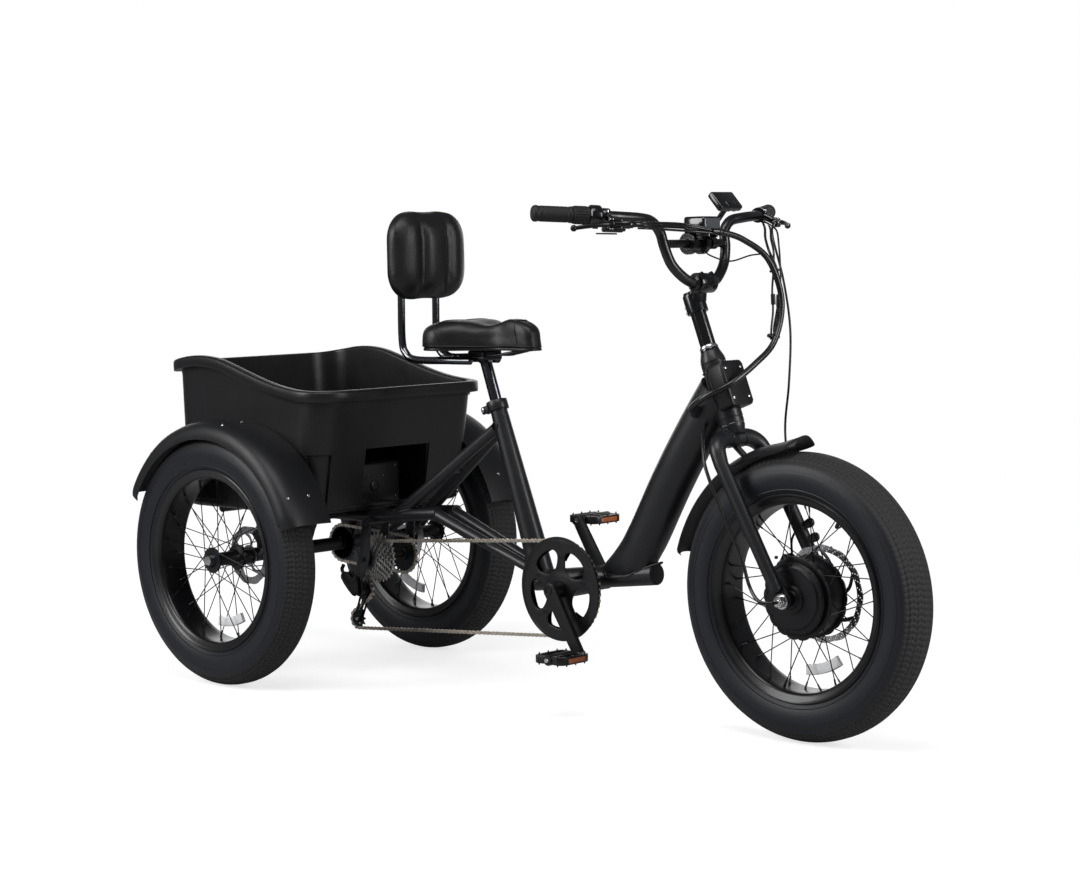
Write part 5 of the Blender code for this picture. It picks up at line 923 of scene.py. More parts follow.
    def finish(
        self, name: str, look: "Finish | Look", body: str, replaces: Iterable[str] = (), angle: float = 0.6,
        normals: bool = True
    ) -> bpy.types.Object:
        """Turn the form into a piece that rides on a body.

        Args:
            name: The piece's name.
            look: Its finish.
            body: The body that it rides on.
            replaces: The solids that it stands for.
            angle: The turn between faces, in radians, past which an edge stays sharp.
            normals: Whether to turn the faces outwards.

        Returns:
            The piece.
        """
        if normals:
            bmesh.ops.recalc_face_normals(self.bm, faces=self.bm.faces)
        for face in self.bm.faces:
            face.smooth = True
        for edge in self.bm.edges:
            if len(edge.link_faces) == 2 and edge.calc_face_angle() > angle:
                edge.smooth = False
        mesh = bpy.data.meshes.new(name)
        self.bm.to_mesh(mesh)
        self.bm.free()
        piece = bpy.data.objects.new(name, mesh)
        bpy.context.scene.collection.objects.link(piece)
        mesh.materials.append(Paintbox.get(look))
        if body:
            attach(piece, body)
        if replaces:
            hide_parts(*replaces)
        log.info("%s: %d faces on %s", name, len(mesh.polygons), body)
        return piece


@dataclass
class Tyre:
    """A wide road tyre with a smooth sidewall and rows of small slanted blocks."""

    name: str
    centre: Vector
    body: str
    blocks: int = 150
    groove: float = 0.0016
    slant_from: float = 0.27
    tread_from: float = 0.2712
    sunk_from: float = 0.2722

    def section(self) -> list[tuple[float, float]]:
        """Return half of the outline from the crown to the bead, as (along, radius).

        Returns:
            The outline's points.
        """
        crown = [(0.0085, 0.295), (0.017, 0.2938), (0.0255, 0.291), (0.033, 0.2865), (0.0395, 0.28)]
        side = [(0.044, 0.2715), (0.047, 0.263), (0.0488, 0.253), (0.049, 0.243), (0.0478, 0.233)]
        edge = [(0.045, 0.2235), (0.042, 0.217), (0.0405, 0.214), (0.0418, 0.2128), (0.04, 0.2095), (0.037, 0.206)]
        return crown + side + edge

    def carcass(self) -> None:
        """Spin the outline, and raise the tread's blocks out of it."""
        half = self.section()
        profile = [(-along, radius) for along, radius in reversed(half)] + half
        inner = [(0.03, 0.211), (0.04, 0.23), (0.04, 0.26), (0.02, 0.284)]
        profile += inner + [(-along, radius) for along, radius in reversed(inner)]
        form = Form().lathe(profile, self.centre, LEFT, self.blocks)
        bm = form.bm
        bmesh.ops.recalc_face_normals(bm, faces=bm.faces)
        step = math.tau / self.blocks
        lean = {0.0085: 0.0, 0.017: 0.42, 0.0255: 0.08, 0.033: 0.5, 0.0395: 0.2, 0.044: 0.2}
        for vert in bm.verts:
            spot = vert.co - self.centre
            radius = math.hypot(spot.x, spot.z)
            if radius > self.slant_from:
                near = min(lean, key=lambda along: abs(along - abs(spot.y)))
                turn = Matrix.Rotation(lean[near] * step * (1 if spot.y > 0 else -1), 3, LEFT)
                vert.co = self.centre + turn @ spot
        tread = [
            face for face in bm.faces
            if all(
                math.hypot(v.co.x - self.centre.x, v.co.z - self.centre.z) > self.tread_from for v in face.verts
            ) and face.normal.dot(face.calc_center_median() - self.centre) > 0
        ]
        bmesh.ops.inset_individual(bm, faces=tread, thickness=0.0007, depth=0.0)
        blocks = {vert for face in tread for vert in face.verts}
        for vert in bm.verts:
            spot = vert.co - self.centre
            if vert not in blocks and math.hypot(spot.x, spot.z) >= self.sunk_from and vert.normal.dot(spot) >= 0:
                vert.co -= Vector((spot.x, 0.0, spot.z)).normalized() * self.groove
        look = TyreRubber(
            "tyre_rubber_" + self.name, "tyre_rubber", (0.0042, 0.0052, 0.0078), 0.4, centre=tuple(self.centre)
        )
        form.finish(self.name + "_carcass", look, self.body, (self.name,), angle=0.5, normals=False)

    def rings(self) -> None:
        """Raise the sidewall's moulding rings and a few vent stubs."""
        form = Form()
        for side in (-1, 1):
            for along, radius, half in ((0.0452, 0.2225, 0.0009), (0.0484, 0.256, 0.0006)):
                at = self.centre + LEFT * side * along
                circle = [(half * math.cos(a), radius + half * math.sin(a)) for a in (0.5, 2.1, 3.7, 5.3)]
                form.lathe(circle, at, LEFT, 96)
            stubs = random.Random(11 + side)
            for index in range(22):
                angle = math.tau * (index + stubs.random() * 0.6) / 22
                along, radius = stubs.choice(((0.0486, 0.2515), (0.0486, 0.244), (0.047, 0.264)))
                outward = radial(angle)
                root = self.centre + LEFT * side * (along - 0.001) + outward * radius
                tip = root + LEFT * side * (0.0016 + 0.002 * stubs.random()) + outward * 0.0008
                form.tube(root, tip, 0.0005, 5)
        look = Finish("sidewall_rings", "tyre_rubber", (0.0075, 0.009, 0.012), 0.45)
        form.finish(self.name + "_rings", look, self.body)

    def build(self) -> None:
        """Make the tyre."""
        self.carcass()
        self.rings()


@dataclass
class Rim:
    """A wide rim with a rolled edge, a sunk bed and a valve."""

    name: str
    centre: Vector
    body: str
    half: float = 0.042
    edge: float = 0.2115
    inner: float = 0.19

    def band(self) -> None:
        """Spin the rim's wall."""
        half, edge, inner = self.half, self.edge, self.inner
        outer = [
            (half - 0.0035, edge - 0.004), (half - 0.0012, edge + 0.0006), (half + 0.0014, edge + 0.001),
            (half + 0.0026, edge - 0.0008), (half + 0.0012, edge - 0.003), (half - 0.0008, edge - 0.0065),
            (half - 0.0016, edge - 0.013), (half - 0.005, inner + 0.0032), (half - 0.01, inner + 0.0014),
            (0.02, inner + 0.0008)
        ]
        bed = [(0.03, inner + 0.005), (half - 0.006, inner + 0.012)]
        profile = [(-along, radius) for along, radius in outer] + [
            (along, radius) for along, radius in reversed(outer)
        ]
        profile += [(along, radius) for along, radius in reversed(bed)] + [(-along, radius) for along, radius in bed]
        form = Form().lathe(profile, self.centre, LEFT, 128)
        form.finish(self.name + "_band", Look.RIM, self.body, (self.name,), angle=0.9)

    def valve(self) -> None:
        """Set the valve's stem and cap."""
        angle = math.radians(62)
        outward = radial(angle)
        root = self.centre + outward * (self.inner + 0.002)
        stem = Form().tube(root, root - outward * 0.016, 0.0041, 20)
        stem.tube(root, root - outward * 0.004, 0.0062, 20)
        stem.finish(self.name + "_valve", Look.PLASTIC, self.body)
        cap = Form().sweep(
            [root - outward * d for d in (0.014, 0.015, 0.026, 0.0275)], (0.0036, 0.0042, 0.004, 0.003), 12
        )
        cap.finish(self.name + "_valve_cap", Look.PLASTIC, self.body)

    def build(self) -> None:
        """Make the rim."""
        self.band()
        self.valve()


@dataclass
class Spokes:
    """Crossed spokes from two flanges to a rim, with their nipples and a reflector among them."""

    name: str
    centre: Vector
    body: str
    flanges: tuple[tuple[float, float], ...]
    rim_radius: float = 0.1905
    rim_offset: float = 0.013
    count: int = 36
    sweep: float = 0.5
    diameter: float = 0.0024
    reflector: float = math.radians(-75)

    def ends(self) -> list[tuple[Vector, Vector]]:
        """Return each spoke's root on its flange and its end at the rim.

        Returns:
            The root and the end of each spoke.
        """
        ends = []
        pairs = self.count // 2
        for which, (along, radius) in enumerate(self.flanges):
            for index in range(pairs):
                hub = math.tau * (index + 0.5 * which) / pairs
                way = 1 if index % 2 else -1
                rim = hub + way * self.sweep
                root = self.centre + LEFT * along + radial(hub) * radius
                side = 1 if along > 0 else -1
                end = self.centre + LEFT * side * self.rim_offset
                end += radial(rim) * self.rim_radius
                ends.append((root, end))
        return ends

    def build(self) -> None:
        """Make the spokes, the nipples and the reflector."""
        wires, nipples = Form(), Form()
        for root, end in self.ends():
            inward = (root - end).normalized()
            wires.tube(root, end, self.diameter / 2, 8)
            nipples.sweep(
                [end, end + inward * 0.0025, end + inward * 0.013, end + inward * 0.0145],
                (0.0034, 0.0022, 0.002, 0.0015), 8
            )
        wires.finish(self.name + "_wires", Look.SPOKE, self.body)
        nipples.finish(self.name + "_nipples", Look.DARK, self.body)
        self.clip_on()

    def clip_on(self) -> None:
        """Hang the white reflector between the spokes."""
        steps = 14
        arc = [self.reflector + math.radians(-17 + 34 * step / steps) for step in range(steps + 1)]
        outer, inner = self.rim_radius - 0.032, self.rim_radius - 0.054
        around = [radial(a) for a in arc]
        outline = [self.centre + way * outer for way in around] + [
            self.centre + way * inner for way in reversed(around)
        ]
        form = Form().slab([[point - LEFT * 0.0065 for point in outline]], LEFT * 0.0105, 0.0022, 3)
        form.finish(self.name + "_reflector", Look.WHITE_LENS, self.body)


@dataclass
class RearHub:
    """A rear wheel's hub with its flanges, brake disc, end cap and axle nut."""

    name: str
    side: int
    body: str
    node: str
    track: float = PLAN.track / 2

    def build(self) -> None:
        """Make the hub."""
        centre = PLAN.rear_axle
        axis = LEFT * self.side
        shell = [
            (0.2545, 0.009), (0.2545, 0.02), (0.28, 0.0205), (0.284, 0.029), (0.286, 0.03), (0.289, 0.03),
            (0.2905, 0.029), (0.293, 0.0185), (0.305, 0.016), (0.345, 0.016), (0.356, 0.0185), (0.358, 0.029),
            (0.36, 0.03), (0.363, 0.03), (0.3645, 0.0285), (0.365, 0.018), (0.374, 0.015), (0.3752, 0.0135),
            (0.3752, 0.009)
        ]
        Form().lathe(shell, centre, axis, 64).finish(self.name + "_shell", Look.DARK, self.body, (self.node,))
        cap = [(0.3745, 0.0), (0.3745, 0.0125), (0.3765, 0.0125), (0.378, 0.011), (0.3785, 0.0)]
        Form().lathe(cap, centre, axis, 6).finish(self.name + "_nut", Look.STEEL, self.body, angle=0.4)
        Disc(self.name + "_disc", centre + axis * 0.25, axis, 0.07, 0.0515, 0.022, 5, self.body).build()
        flanges = ((self.side * 0.2875, 0.0262), (self.side * 0.3615, 0.0262))
        centre_plane = self.side * self.track
        Spokes(
            self.name + "_spokes", centre + LEFT * centre_plane, self.body,
            tuple((along - centre_plane, radius) for along, radius in flanges), sweep=1.05,
            reflector=math.radians(-80 if self.side < 0 else -112)
        ).build()


@dataclass
class Disc:
    """A brake disc: a drilled ring on curved arms with its bolts."""

    name: str
    centre: Vector
    axis: Vector
    outer: float
    inner: float
    carrier: float
    arms: int
    body: str
    thickness: float = 0.002

    def point(self, radius: float, angle: float) -> Vector:
        """Return a point in the disc's near plane."""
        return self.centre - self.axis * self.thickness / 2 + radial(angle) * radius

    def circle(self, radius: float, steps: int, centre: tuple[float, float] = (0.0, 0.0)) -> list[Vector]:
        """Return a circle about a point given by radius and angle."""
        return [self.point(*centre) + radial(angle) * radius for angle in full_turn(steps)]

    def build(self) -> None:
        """Make the disc."""
        depth = self.axis * self.thickness
        look = TurnedMetal(
            "disc_steel_" + self.name, "steel", (0.42, 0.42, 0.43), 0.3, 1.0, centre=tuple(self.centre), depth=0.00003
        )
        middle = (self.outer + self.inner) / 2
        holes = [
            self.circle(0.0016, 8, (radius, angle + offset * 0.09)) for angle in full_turn(self.arms * 6)
            for offset, radius in ((-0.5, middle + 0.0045), (0.0, middle), (0.5, middle - 0.0045))
        ]
        wave = 0.0012
        wavy = [
            self.point(self.outer - wave + wave * math.cos(angle * self.arms * 2), angle) for angle in full_turn(120)
        ]
        form = Form().slab([wavy, self.circle(self.inner, 96)] + holes, depth)
        for angle in full_turn(self.arms):
            path = [
                self.point(self.carrier + (self.inner + 0.002 - self.carrier) * s, angle + 0.55 * s * s)
                for s in (0, 0.35, 0.7, 1.0)
            ]
            path = [point + depth / 2 for point in smooth_path(path, 4)]
            form.sweep(path, [(self.thickness / 2 * 0.96, 0.0042)] * len(path), 4, hint=self.axis.cross(UP))
        form.slab([self.circle(self.carrier + 0.003, 48), self.circle(self.carrier * 0.62, 32)], depth)
        form.finish(self.name + "_plate", look, self.body, angle=0.5)
        bolts = Form()
        for angle in full_turn(6):
            at = self.point(self.carrier * 0.82, angle + 0.2) + depth
            bolts.tube(at, at + self.axis * 0.0022, 0.003, 12)
        bolts.finish(self.name + "_bolts", Look.DARK, self.body)


@dataclass
class HubMotor:
    """The front hub motor: domed covers, a scalloped flange each side, spokes and a brake disc."""

    body: str = "front_wheel"
    flange: float = 0.086

    def scallop(self, along: float, form: Form) -> None:
        """Draw one flange whose edge bulges round each pair of spoke holes.

        Args:
            along: The flange's place from side to side.
            form: The form to draw on.
        """
        centre = PLAN.front_axle + LEFT * along
        bulge, hole_radius = 0.0036, 0.066
        outline = [
            centre + radial(angle) * (self.flange - bulge + bulge * abs(math.cos(angle * 9)) ** 0.6)
            for angle in full_turn(216)
        ]
        hole = [centre + radial(angle) * hole_radius for angle in full_turn(64)]
        form.slab([outline, hole], LEFT * 0.0042, 0.0008, 2)

    def build(self) -> None:
        """Make the motor."""
        centre = PLAN.front_axle
        shell = [
            (-0.03, 0.074), (-0.03, 0.077), (-0.024, 0.079), (-0.006, 0.079), (0.02, 0.079), (0.026, 0.077),
            (0.026, 0.074)
        ]
        near = [
            (-0.029, 0.074), (-0.034, 0.0752), (-0.038, 0.0742), (-0.041, 0.0705), (-0.0418, 0.064), (-0.0432, 0.062),
            (-0.0455, 0.061), (-0.047, 0.03), (-0.05, 0.029), (-0.052, 0.026), (-0.0525, 0.02), (-0.056, 0.018),
            (-0.0575, 0.013), (-0.0575, 0.0072), (-0.029, 0.0072)
        ]
        far = [
            (0.025, 0.074), (0.03, 0.0735), (0.0335, 0.069), (0.036, 0.046), (0.04, 0.044), (0.043, 0.03),
            (0.0445, 0.02), (0.0445, 0.0072), (0.025, 0.0072)
        ]
        form = Form()
        for profile in (shell, near, far):
            form.lathe(profile, centre, LEFT, 96)
        for along in (-0.029, 0.021):
            self.scallop(along, form)
        form.finish("motor_shell", Look.MOTOR, self.body, ("hub_motor",), angle=0.55)
        bolts = Form()
        for index in range(9):
            angle = math.tau * (index + 0.35) / 9
            at = centre + radial(angle) * 0.07
            bolts.tube(at - LEFT * 0.0395, at - LEFT * 0.0425, 0.0027, 12)
            bolts.tube(at + LEFT * 0.03, at + LEFT * 0.0345, 0.0027, 12)
        bolts.finish("motor_bolts", Look.DARK, self.body)
        Spokes(
            "front_spokes", centre, self.body, ((-0.027, 0.0815), (0.023, 0.0815)), sweep=0.42,
            reflector=math.radians(-72)
        ).build()
        Disc("front_disc", centre + LEFT * 0.056, LEFT, 0.1015, 0.087, 0.026, 6, self.body).build()
        post = [(0.044, 0.008), (0.044, 0.024), (0.0552, 0.024), (0.0552, 0.008)]
        Form().lathe(post, centre, LEFT, 48).finish("disc_carrier", Look.MOTOR, self.body)


@dataclass
class FrontAxle:
    """The front axle's ends, washers and nuts."""

    body: str = "steering_assembly"

    def build(self) -> None:
        """Make the axle's ends."""
        centre = PLAN.front_axle
        thread = Form()
        for side in (-1, 1):
            rounds = [(side * (0.099 - 0.0008 * index), 0.0068 - 0.0005 * (index % 2)) for index in range(28)]
            thread.lathe([(rounds[0][0], 0.0)] + rounds + [(rounds[-1][0], 0.0)], centre, LEFT, 24)
        thread.finish("axle_thread", Look.STEEL, self.body, ("front_axle",), angle=0.3)
        nut = [(0.0835, 0.007), (0.0835, 0.0118), (0.085, 0.0124), (0.0925, 0.0124), (0.094, 0.0112), (0.094, 0.007)]
        washer = [(0.079, 0.0072), (0.079, 0.015), (0.08, 0.016), (0.0815, 0.016), (0.0822, 0.015), (0.0822, 0.0072)]
        for side, name in SIDES:
            for part, profile, steps, angle in (("nut", nut, 6, 0.4), ("washer", washer, 40, 0.5)):
                form = Form().lathe([(side * along, radius) for along, radius in profile], centre, LEFT, steps)
                form.finish(f"axle_{part}_{name}", Look.STEEL, self.body, angle=angle)


@dataclass
class Fork:
    """The fork: a crown under the head tube, two bent legs and their dropouts."""

    spread: float = 0.078
    crown_depth: float = 0.1663

    @property
    def crown(self) -> Vector:
        """Return the middle of the crown."""
        return PLAN.on_steerer(-self.crown_depth)

    def leg(self, side: int) -> tuple[list[Vector], list[float]]:
        """Return a leg's path and its radii.

        Args:
            side: 1 for left and -1 for right.

        Returns:
            The path and the radius at each of its points.
        """
        bend = smooth_path(
            [
                self.crown + Vector((-0.002, -side * 0.004, -0.023)),
                self.crown + Vector((0.004, side * 0.042, -0.023)),
                self.crown + Vector((0.014, side * 0.069, -0.038)),
                self.crown + Vector((0.03, side * self.spread, -0.068))
            ]
        )
        tip = PLAN.front_axle + Vector((-0.013, side * self.spread, 0.02))
        shares = [0.857 * index / (len(bend) - 1) for index in range(len(bend))]
        path = bend + [bend[-1].lerp(tip, step / 6) for step in range(1, 7)]
        shares += [0.857 + 0.143 * step / 6 for step in range(1, 7)]
        return path, [0.019 - 0.005 * share**2 for share in shares]

    def build(self) -> None:
        """Make the fork."""
        form = Form().lathe(
            [
                (-0.0165, 0.004), (-0.0165, 0.0195), (-0.015, 0.0208), (-0.002, 0.025), (0.0, 0.0256),
                (0.0042, 0.0256), (0.0052, 0.0246), (0.0052, 0.004)
            ],
            self.crown, PLAN.steer_up, 48
        )
        for side in (1, -1):
            path, radii = self.leg(side)
            form.sweep(path, radii, 32)
            foot = capsule((0.0, 0.0), (-0.016, 0.03), 0.017, 0.0135)
            form.slab([upright(foot, PLAN.front_axle, side * 0.071 - 0.0033)], LEFT * 0.0066, 0.0012)
            form.lathe(
                [(-0.004, 0.0), (-0.004, 0.0105), (0.001, 0.0132), (0.006, 0.0142), (0.01, 0.0141), (0.01, 0.0)],
                path[-1], (path[-2] - path[-1]).normalized(), 32
            )
        for height in (-0.05, -0.018):
            centre = PLAN.front_axle + Vector((-0.046, 0.0, 0.086)) + Vector((0.4, 0.0, -0.9)) * height
            form.slab([upright(capsule((0.0, 0.0), (0.02, 0.01), 0.0065, 0.01), centre, 0.0735)], LEFT * 0.006, 0.001)
        form.finish("fork_tubes", Look.FRAME, "steering_assembly", replaces=["fork"])
        race = Form().lathe(
            [(0.0052, 0.018), (0.0052, 0.0249), (0.0062, 0.0254), (0.007, 0.0249), (0.007, 0.018)], self.crown,
            PLAN.steer_up, 64
        )
        race.finish("crown_race", Look.STEEL, "steering_assembly")
        welds = Form()
        for side in (1, -1):
            path, _ = self.leg(side)
            welds.joint(
                ring_about(path[6], path[7] - path[5], 0.0187, 0.0187), (path[5] - path[7]).normalized(), self.crown,
                PLAN.steer_up, 0.0235, 0.0017
            )
            bolt = PLAN.front_axle + Vector((-0.004, side * 0.0925, 0.09))
            welds.tube(bolt - LEFT * side * 0.004, bolt, 0.0034, 16)
        welds.finish("fork_welds", Look.WELD, "steering_assembly")


@dataclass
class MainFrame:
    """The front frame: head tube, down tube, lower tube, seat tube and bottom bracket."""

    lower_front: Vector = field(default_factory=lambda: Vector((0.328, 0.0, 0.309)))
    lower_rear: Vector = field(default_factory=lambda: Vector((-0.0285, 0.0, 0.266)))

    def down(self) -> tuple[list[Vector], list[tuple[float, float]]]:
        """Return the down tube's path and its half sizes.

        Returns:
            The path, and the half width and half height at each of its points.
        """
        path = smooth_path(
            [
                PLAN.on_steerer(-0.083, -0.006), (0.44, 0, 0.612), (0.3705, 0, 0.503), (0.308, 0, 0.395),
                (0.266, 0, 0.335), (0.234, 0, 0.296)
            ]
        )
        sizes = []
        for index in range(len(path)):
            share = index / (len(path) - 1)
            high = 0.0465 * (1 + 0.9 * max(0.0, (share - 0.66) / 0.34) ** 1.9)
            narrowing = 1 - 0.5 * max(0.0, (share - 0.62) / 0.38) ** 1.3
            sizes.append((0.0427 * narrowing * (0.86 + 0.14 * min(1.0, share / 0.3)), high))
        return path, sizes

    def down_rings(self) -> list[list[Vector]]:
        """Return the down tube's sections, which lean over to lie along the lower tube at its foot.

        Returns:
            The sections, from the head to the foot.
        """
        path, sizes = self.down()
        foot = LEFT.cross(self.lower_front - self.lower_rear).normalized()
        foot *= -1 if foot.z > 0 else 1
        rings = []
        for index, (half_x, half_y) in enumerate(sizes):
            way = (path[min(index + 1, len(path) - 1)] - path[max(index - 1, 0)]).normalized()
            lean = max(0.0, index / (len(path) - 1) - 0.62) / 0.38
            high = LEFT.cross(way.lerp(foot, lean)).normalized()
            rings.append(
                [path[index] + LEFT * half_x * math.cos(a) + high * half_y * math.sin(a) for a in full_turn(72)]
            )
        return rings

    def tubes(self) -> None:
        """Make the tubes and the collars at the head."""
        form = Form().loft(self.down_rings(), caps=True)
        form.lathe(
            [
                (-0.16, 0.0165), (-0.16, 0.0252), (-0.159, 0.0262), (-0.15, 0.0266), (-0.149, 0.0258),
                (-0.1478, 0.0258), (-0.1466, 0.027), (-0.0262, 0.027), (-0.0252, 0.026), (-0.024, 0.026),
                (-0.023, 0.027), (-0.015, 0.0258), (-0.006, 0.0228), (0.0, 0.0206), (0.0, 0.0165)
            ],
            Vector(PLAN.head_top), PLAN.steer_up, 64
        )
        way = self.lower_front - self.lower_rear
        length = way.length
        form.lathe(
            [
                (0.0, 0.002), (0.0, 0.0238), (length - 0.0012, 0.024), (length, 0.0236), (length, 0.0216),
                (length - 0.0012, 0.0211), (length - 0.004, 0.0211), (length - 0.004, 0.002)
            ],
            self.lower_rear, way, 56
        )
        plug = Form().lathe(
            [(-0.004, 0.0), (-0.004, 0.0208), (0.0, 0.0214), (0.0012, 0.0206), (0.0016, 0.015), (0.0017, 0.0)],
            self.lower_front - way.normalized() * 0.0012, way, 48
        )
        plug.finish("lower_tube_plug", Look.PLASTIC, "frame")
        form.lathe(
            [
                (-0.034, 0.01), (-0.034, 0.0205), (-0.0335, 0.0212), (-0.026, 0.0212), (0.026, 0.0212),
                (0.0335, 0.0212), (0.034, 0.0205), (0.034, 0.01)
            ],
            Vector(PLAN.crank_centre), LEFT, 56
        )
        foot, top = Vector(PLAN.seat_tube_foot), Vector(PLAN.seat_tube_top)
        form.lathe(
            [(0.0, 0.002), (0.0, 0.029), ((top - foot).length, 0.019), ((top - foot).length, 0.002)], foot,
            top - foot, 56
        )
        form.finish("main_frame_tubes", Look.FRAME, "frame", replaces=["main_frame"])

    def welds(self) -> None:
        """Lay the welds where the tubes meet."""
        path, sizes = self.down()
        foot, top = Vector(PLAN.seat_tube_foot), Vector(PLAN.seat_tube_top)
        lower = (self.lower_front - self.lower_rear).normalized()
        upward = (top - foot).normalized()
        welds = Form()
        welds.joint(
            ring_about(path[4], path[3] - path[5], sizes[4][0] + 0.0004, sizes[4][1] + 0.0004, 72),
            (path[3] - path[5]).normalized(), Vector(PLAN.head_top), PLAN.steer_up, 0.0272
        )
        welds.joint(self.down_rings()[-4], (path[-1] - path[-4]).normalized(), self.lower_rear, lower, 0.0243)
        welds.joint(
            ring_about(foot + upward * 0.08, -upward, 0.0272, 0.0272, 64), -upward, self.lower_rear, lower, 0.0242
        )
        for side in (1, -1):
            ring = ring_about(Vector(PLAN.crank_centre) + LEFT * side * 0.0325, LEFT, 0.0214, 0.0214, 64)
            welds.sweep(ring, 0.0009, 8, closed=True)
        welds.finish("main_frame_welds", Look.WELD, "frame")

    def port(self) -> None:
        """Make the rubber collar where the cables enter the down tube."""
        centre = Vector((0.4752, -0.0418, 0.665))
        axis = Vector((0.4, -0.82, 0.48))
        form = Form().lathe(
            [(-0.006, 0.0068), (-0.006, 0.0122), (0.0, 0.0122), (0.0028, 0.0112), (0.0038, 0.009), (0.003, 0.007)],
            centre, axis, 40
        )
        form.sweep(
            [centre + Vector((0.0095, -0.017, 0.0125)), centre + Vector((0.0055, -0.011, 0.007)), centre],
            (0.0074, 0.0098, 0.0112), 24
        )
        form.finish("cable_port", Look.GRIP, "frame")

    def build(self) -> None:
        """Make the main frame."""
        self.tubes()
        self.welds()
        self.port()


@dataclass
class RearFrame:
    """The welded frame under the tub: stays, rails, cross tubes, axle housings and brackets."""

    spread: float = 0.068
    bar_reach: float = 0.2155

    def stays(self, side: int) -> tuple[Vector, Vector, Vector, Vector]:
        """Return the foot and top of the seat stay, and the front and back of the chainstay.

        Args:
            side: 1 for left and -1 for right.

        Returns:
            The four points.
        """
        foot = Vector((-0.425, side * 0.049, PLAN.rail_height + 0.006))
        top = Vector(PLAN.seat_tube_top) + Vector((0.004, side * 0.01, -0.052))
        return foot, top, Vector((-0.016, side * 0.016, 0.289)), Vector(
            (-0.322, side * 0.031, PLAN.rail_height + 0.014)
        )

    def side(self, form: Form, side: int) -> None:
        """Draw one side's tubes and plates.

        Args:
            form: The form to draw on.
            side: 1 for left and -1 for right.
        """
        height, axle = PLAN.rail_height, PLAN.rear_axle
        junction = Vector((-0.31, side * 0.031, height + 0.014))
        straight = Vector((-0.6, side * self.spread, height))
        rail = smooth_path([junction, (-0.5, side * 0.058, height), straight, (-0.931, side * self.spread, height)])
        form.sweep(rail, 0.0148, 32)
        foot, top, front, back = self.stays(side)
        form.lathe(
            [(0.0, 0.002), (0.0, 0.0133), ((foot - top).length, 0.0148), ((foot - top).length, 0.002)], top,
            foot - top, 40
        )
        form.lathe(
            [(0.0, 0.002), (0.0, 0.0138), ((front - back).length, 0.0118), ((front - back).length, 0.002)], back,
            front - back, 40
        )
        hanger = [(-0.012, 0.0115), (0.012, 0.0115), (0.026, 0.044), (0.052, 0.092), (-0.052, 0.092), (-0.026, 0.044)]
        form.slab([upright(hanger, axle, side * self.spread - 0.0025)], LEFT * 0.005, 0.0008)
        outer, inner = axle + LEFT * side * 0.236, axle + LEFT * (0.045 + side * 0.017)
        reach = (outer - inner).length
        form.lathe(
            [
                (0.0, 0.011), (0.0, 0.0163), (reach - 0.014, 0.0163), (reach - 0.012, 0.0166), (reach, 0.0166),
                (reach, 0.011)
            ],
            inner, outer - inner, 40
        )
        form.tube((axle.x, side * self.bar_reach, height), (axle.x, side * self.bar_reach, axle.z + 0.012), 0.009)
        form.tube((-0.73, side * self.bar_reach, height), (-0.572, side * self.bar_reach, height), 0.0079, 20)
        form.tube((axle.x, side * 0.19, axle.z + 0.012), (-0.576, side * 0.19, height), 0.0079, 20)

    def build(self) -> None:
        """Make the rear frame and its welds."""
        form = Form()
        height = PLAN.rail_height
        for side in (1, -1):
            self.side(form, side)
        for x, reach in ((-0.576, 0.215), (-0.726, 0.225), (-0.911, 0.18)):
            form.tube((x, -reach, height + 0.004), (x, reach, height + 0.004), 0.0108, 32)
        bridge = Vector(PLAN.seat_tube_top).lerp(Vector((-0.425, 0, height)), 0.5) - UP * 0.022
        form.tube(bridge - LEFT * 0.03, bridge + LEFT * 0.03, 0.0069, 24)
        hub = Vector(PLAN.jackshaft)
        carrier = Vector((hub.x + 0.012, 0.0, height - 0.014))
        form.tube(carrier - LEFT * 0.0865, carrier + LEFT * 0.072, 0.0108, 32)
        arm = capsule((0.0, 0.0), (carrier.x - hub.x, carrier.z - hub.z), 0.0155, 0.013)
        for plane in (-0.022, 0.062):
            form.slab([upright(arm, hub, plane - 0.0025)], LEFT * 0.005, 0.0008)
        dropout = [
            (0.024, 0.086), (-0.002, 0.086), (-0.016, 0.006), (-0.032, -0.03), (-0.032, -0.044), (-0.004, -0.044),
            (0.012, -0.012), (0.018, 0.006)
        ]
        form.slab([upright(dropout, hub, -0.0835)], LEFT * 0.005, 0.0008)
        form.finish("rear_frame_tubes", Look.FRAME, "frame", replaces=["rear_frame"])
        welds = Form()
        foot, top = Vector(PLAN.seat_tube_foot), Vector(PLAN.seat_tube_top)
        for side in (1, -1):
            low, high, front, back = self.stays(side)
            way = (high - low).normalized()
            welds.joint(ring_about(high - way * 0.05, way, 0.0134, 0.0134, 40), way, foot, top - foot, 0.0205, 0.0015)
            welds.joint(
                ring_about(low + way * 0.05, -way, 0.0148, 0.0148, 40), -way, low - FORWARD * 0.05, FORWARD, 0.0152,
                0.0015
            )
            way = (front - back).normalized()
            welds.joint(ring_about(front - way * 0.06, way, 0.012, 0.012, 40), way, foot, top - foot, 0.0286, 0.0015)
        welds.finish("rear_frame_welds", Look.WELD, "frame")


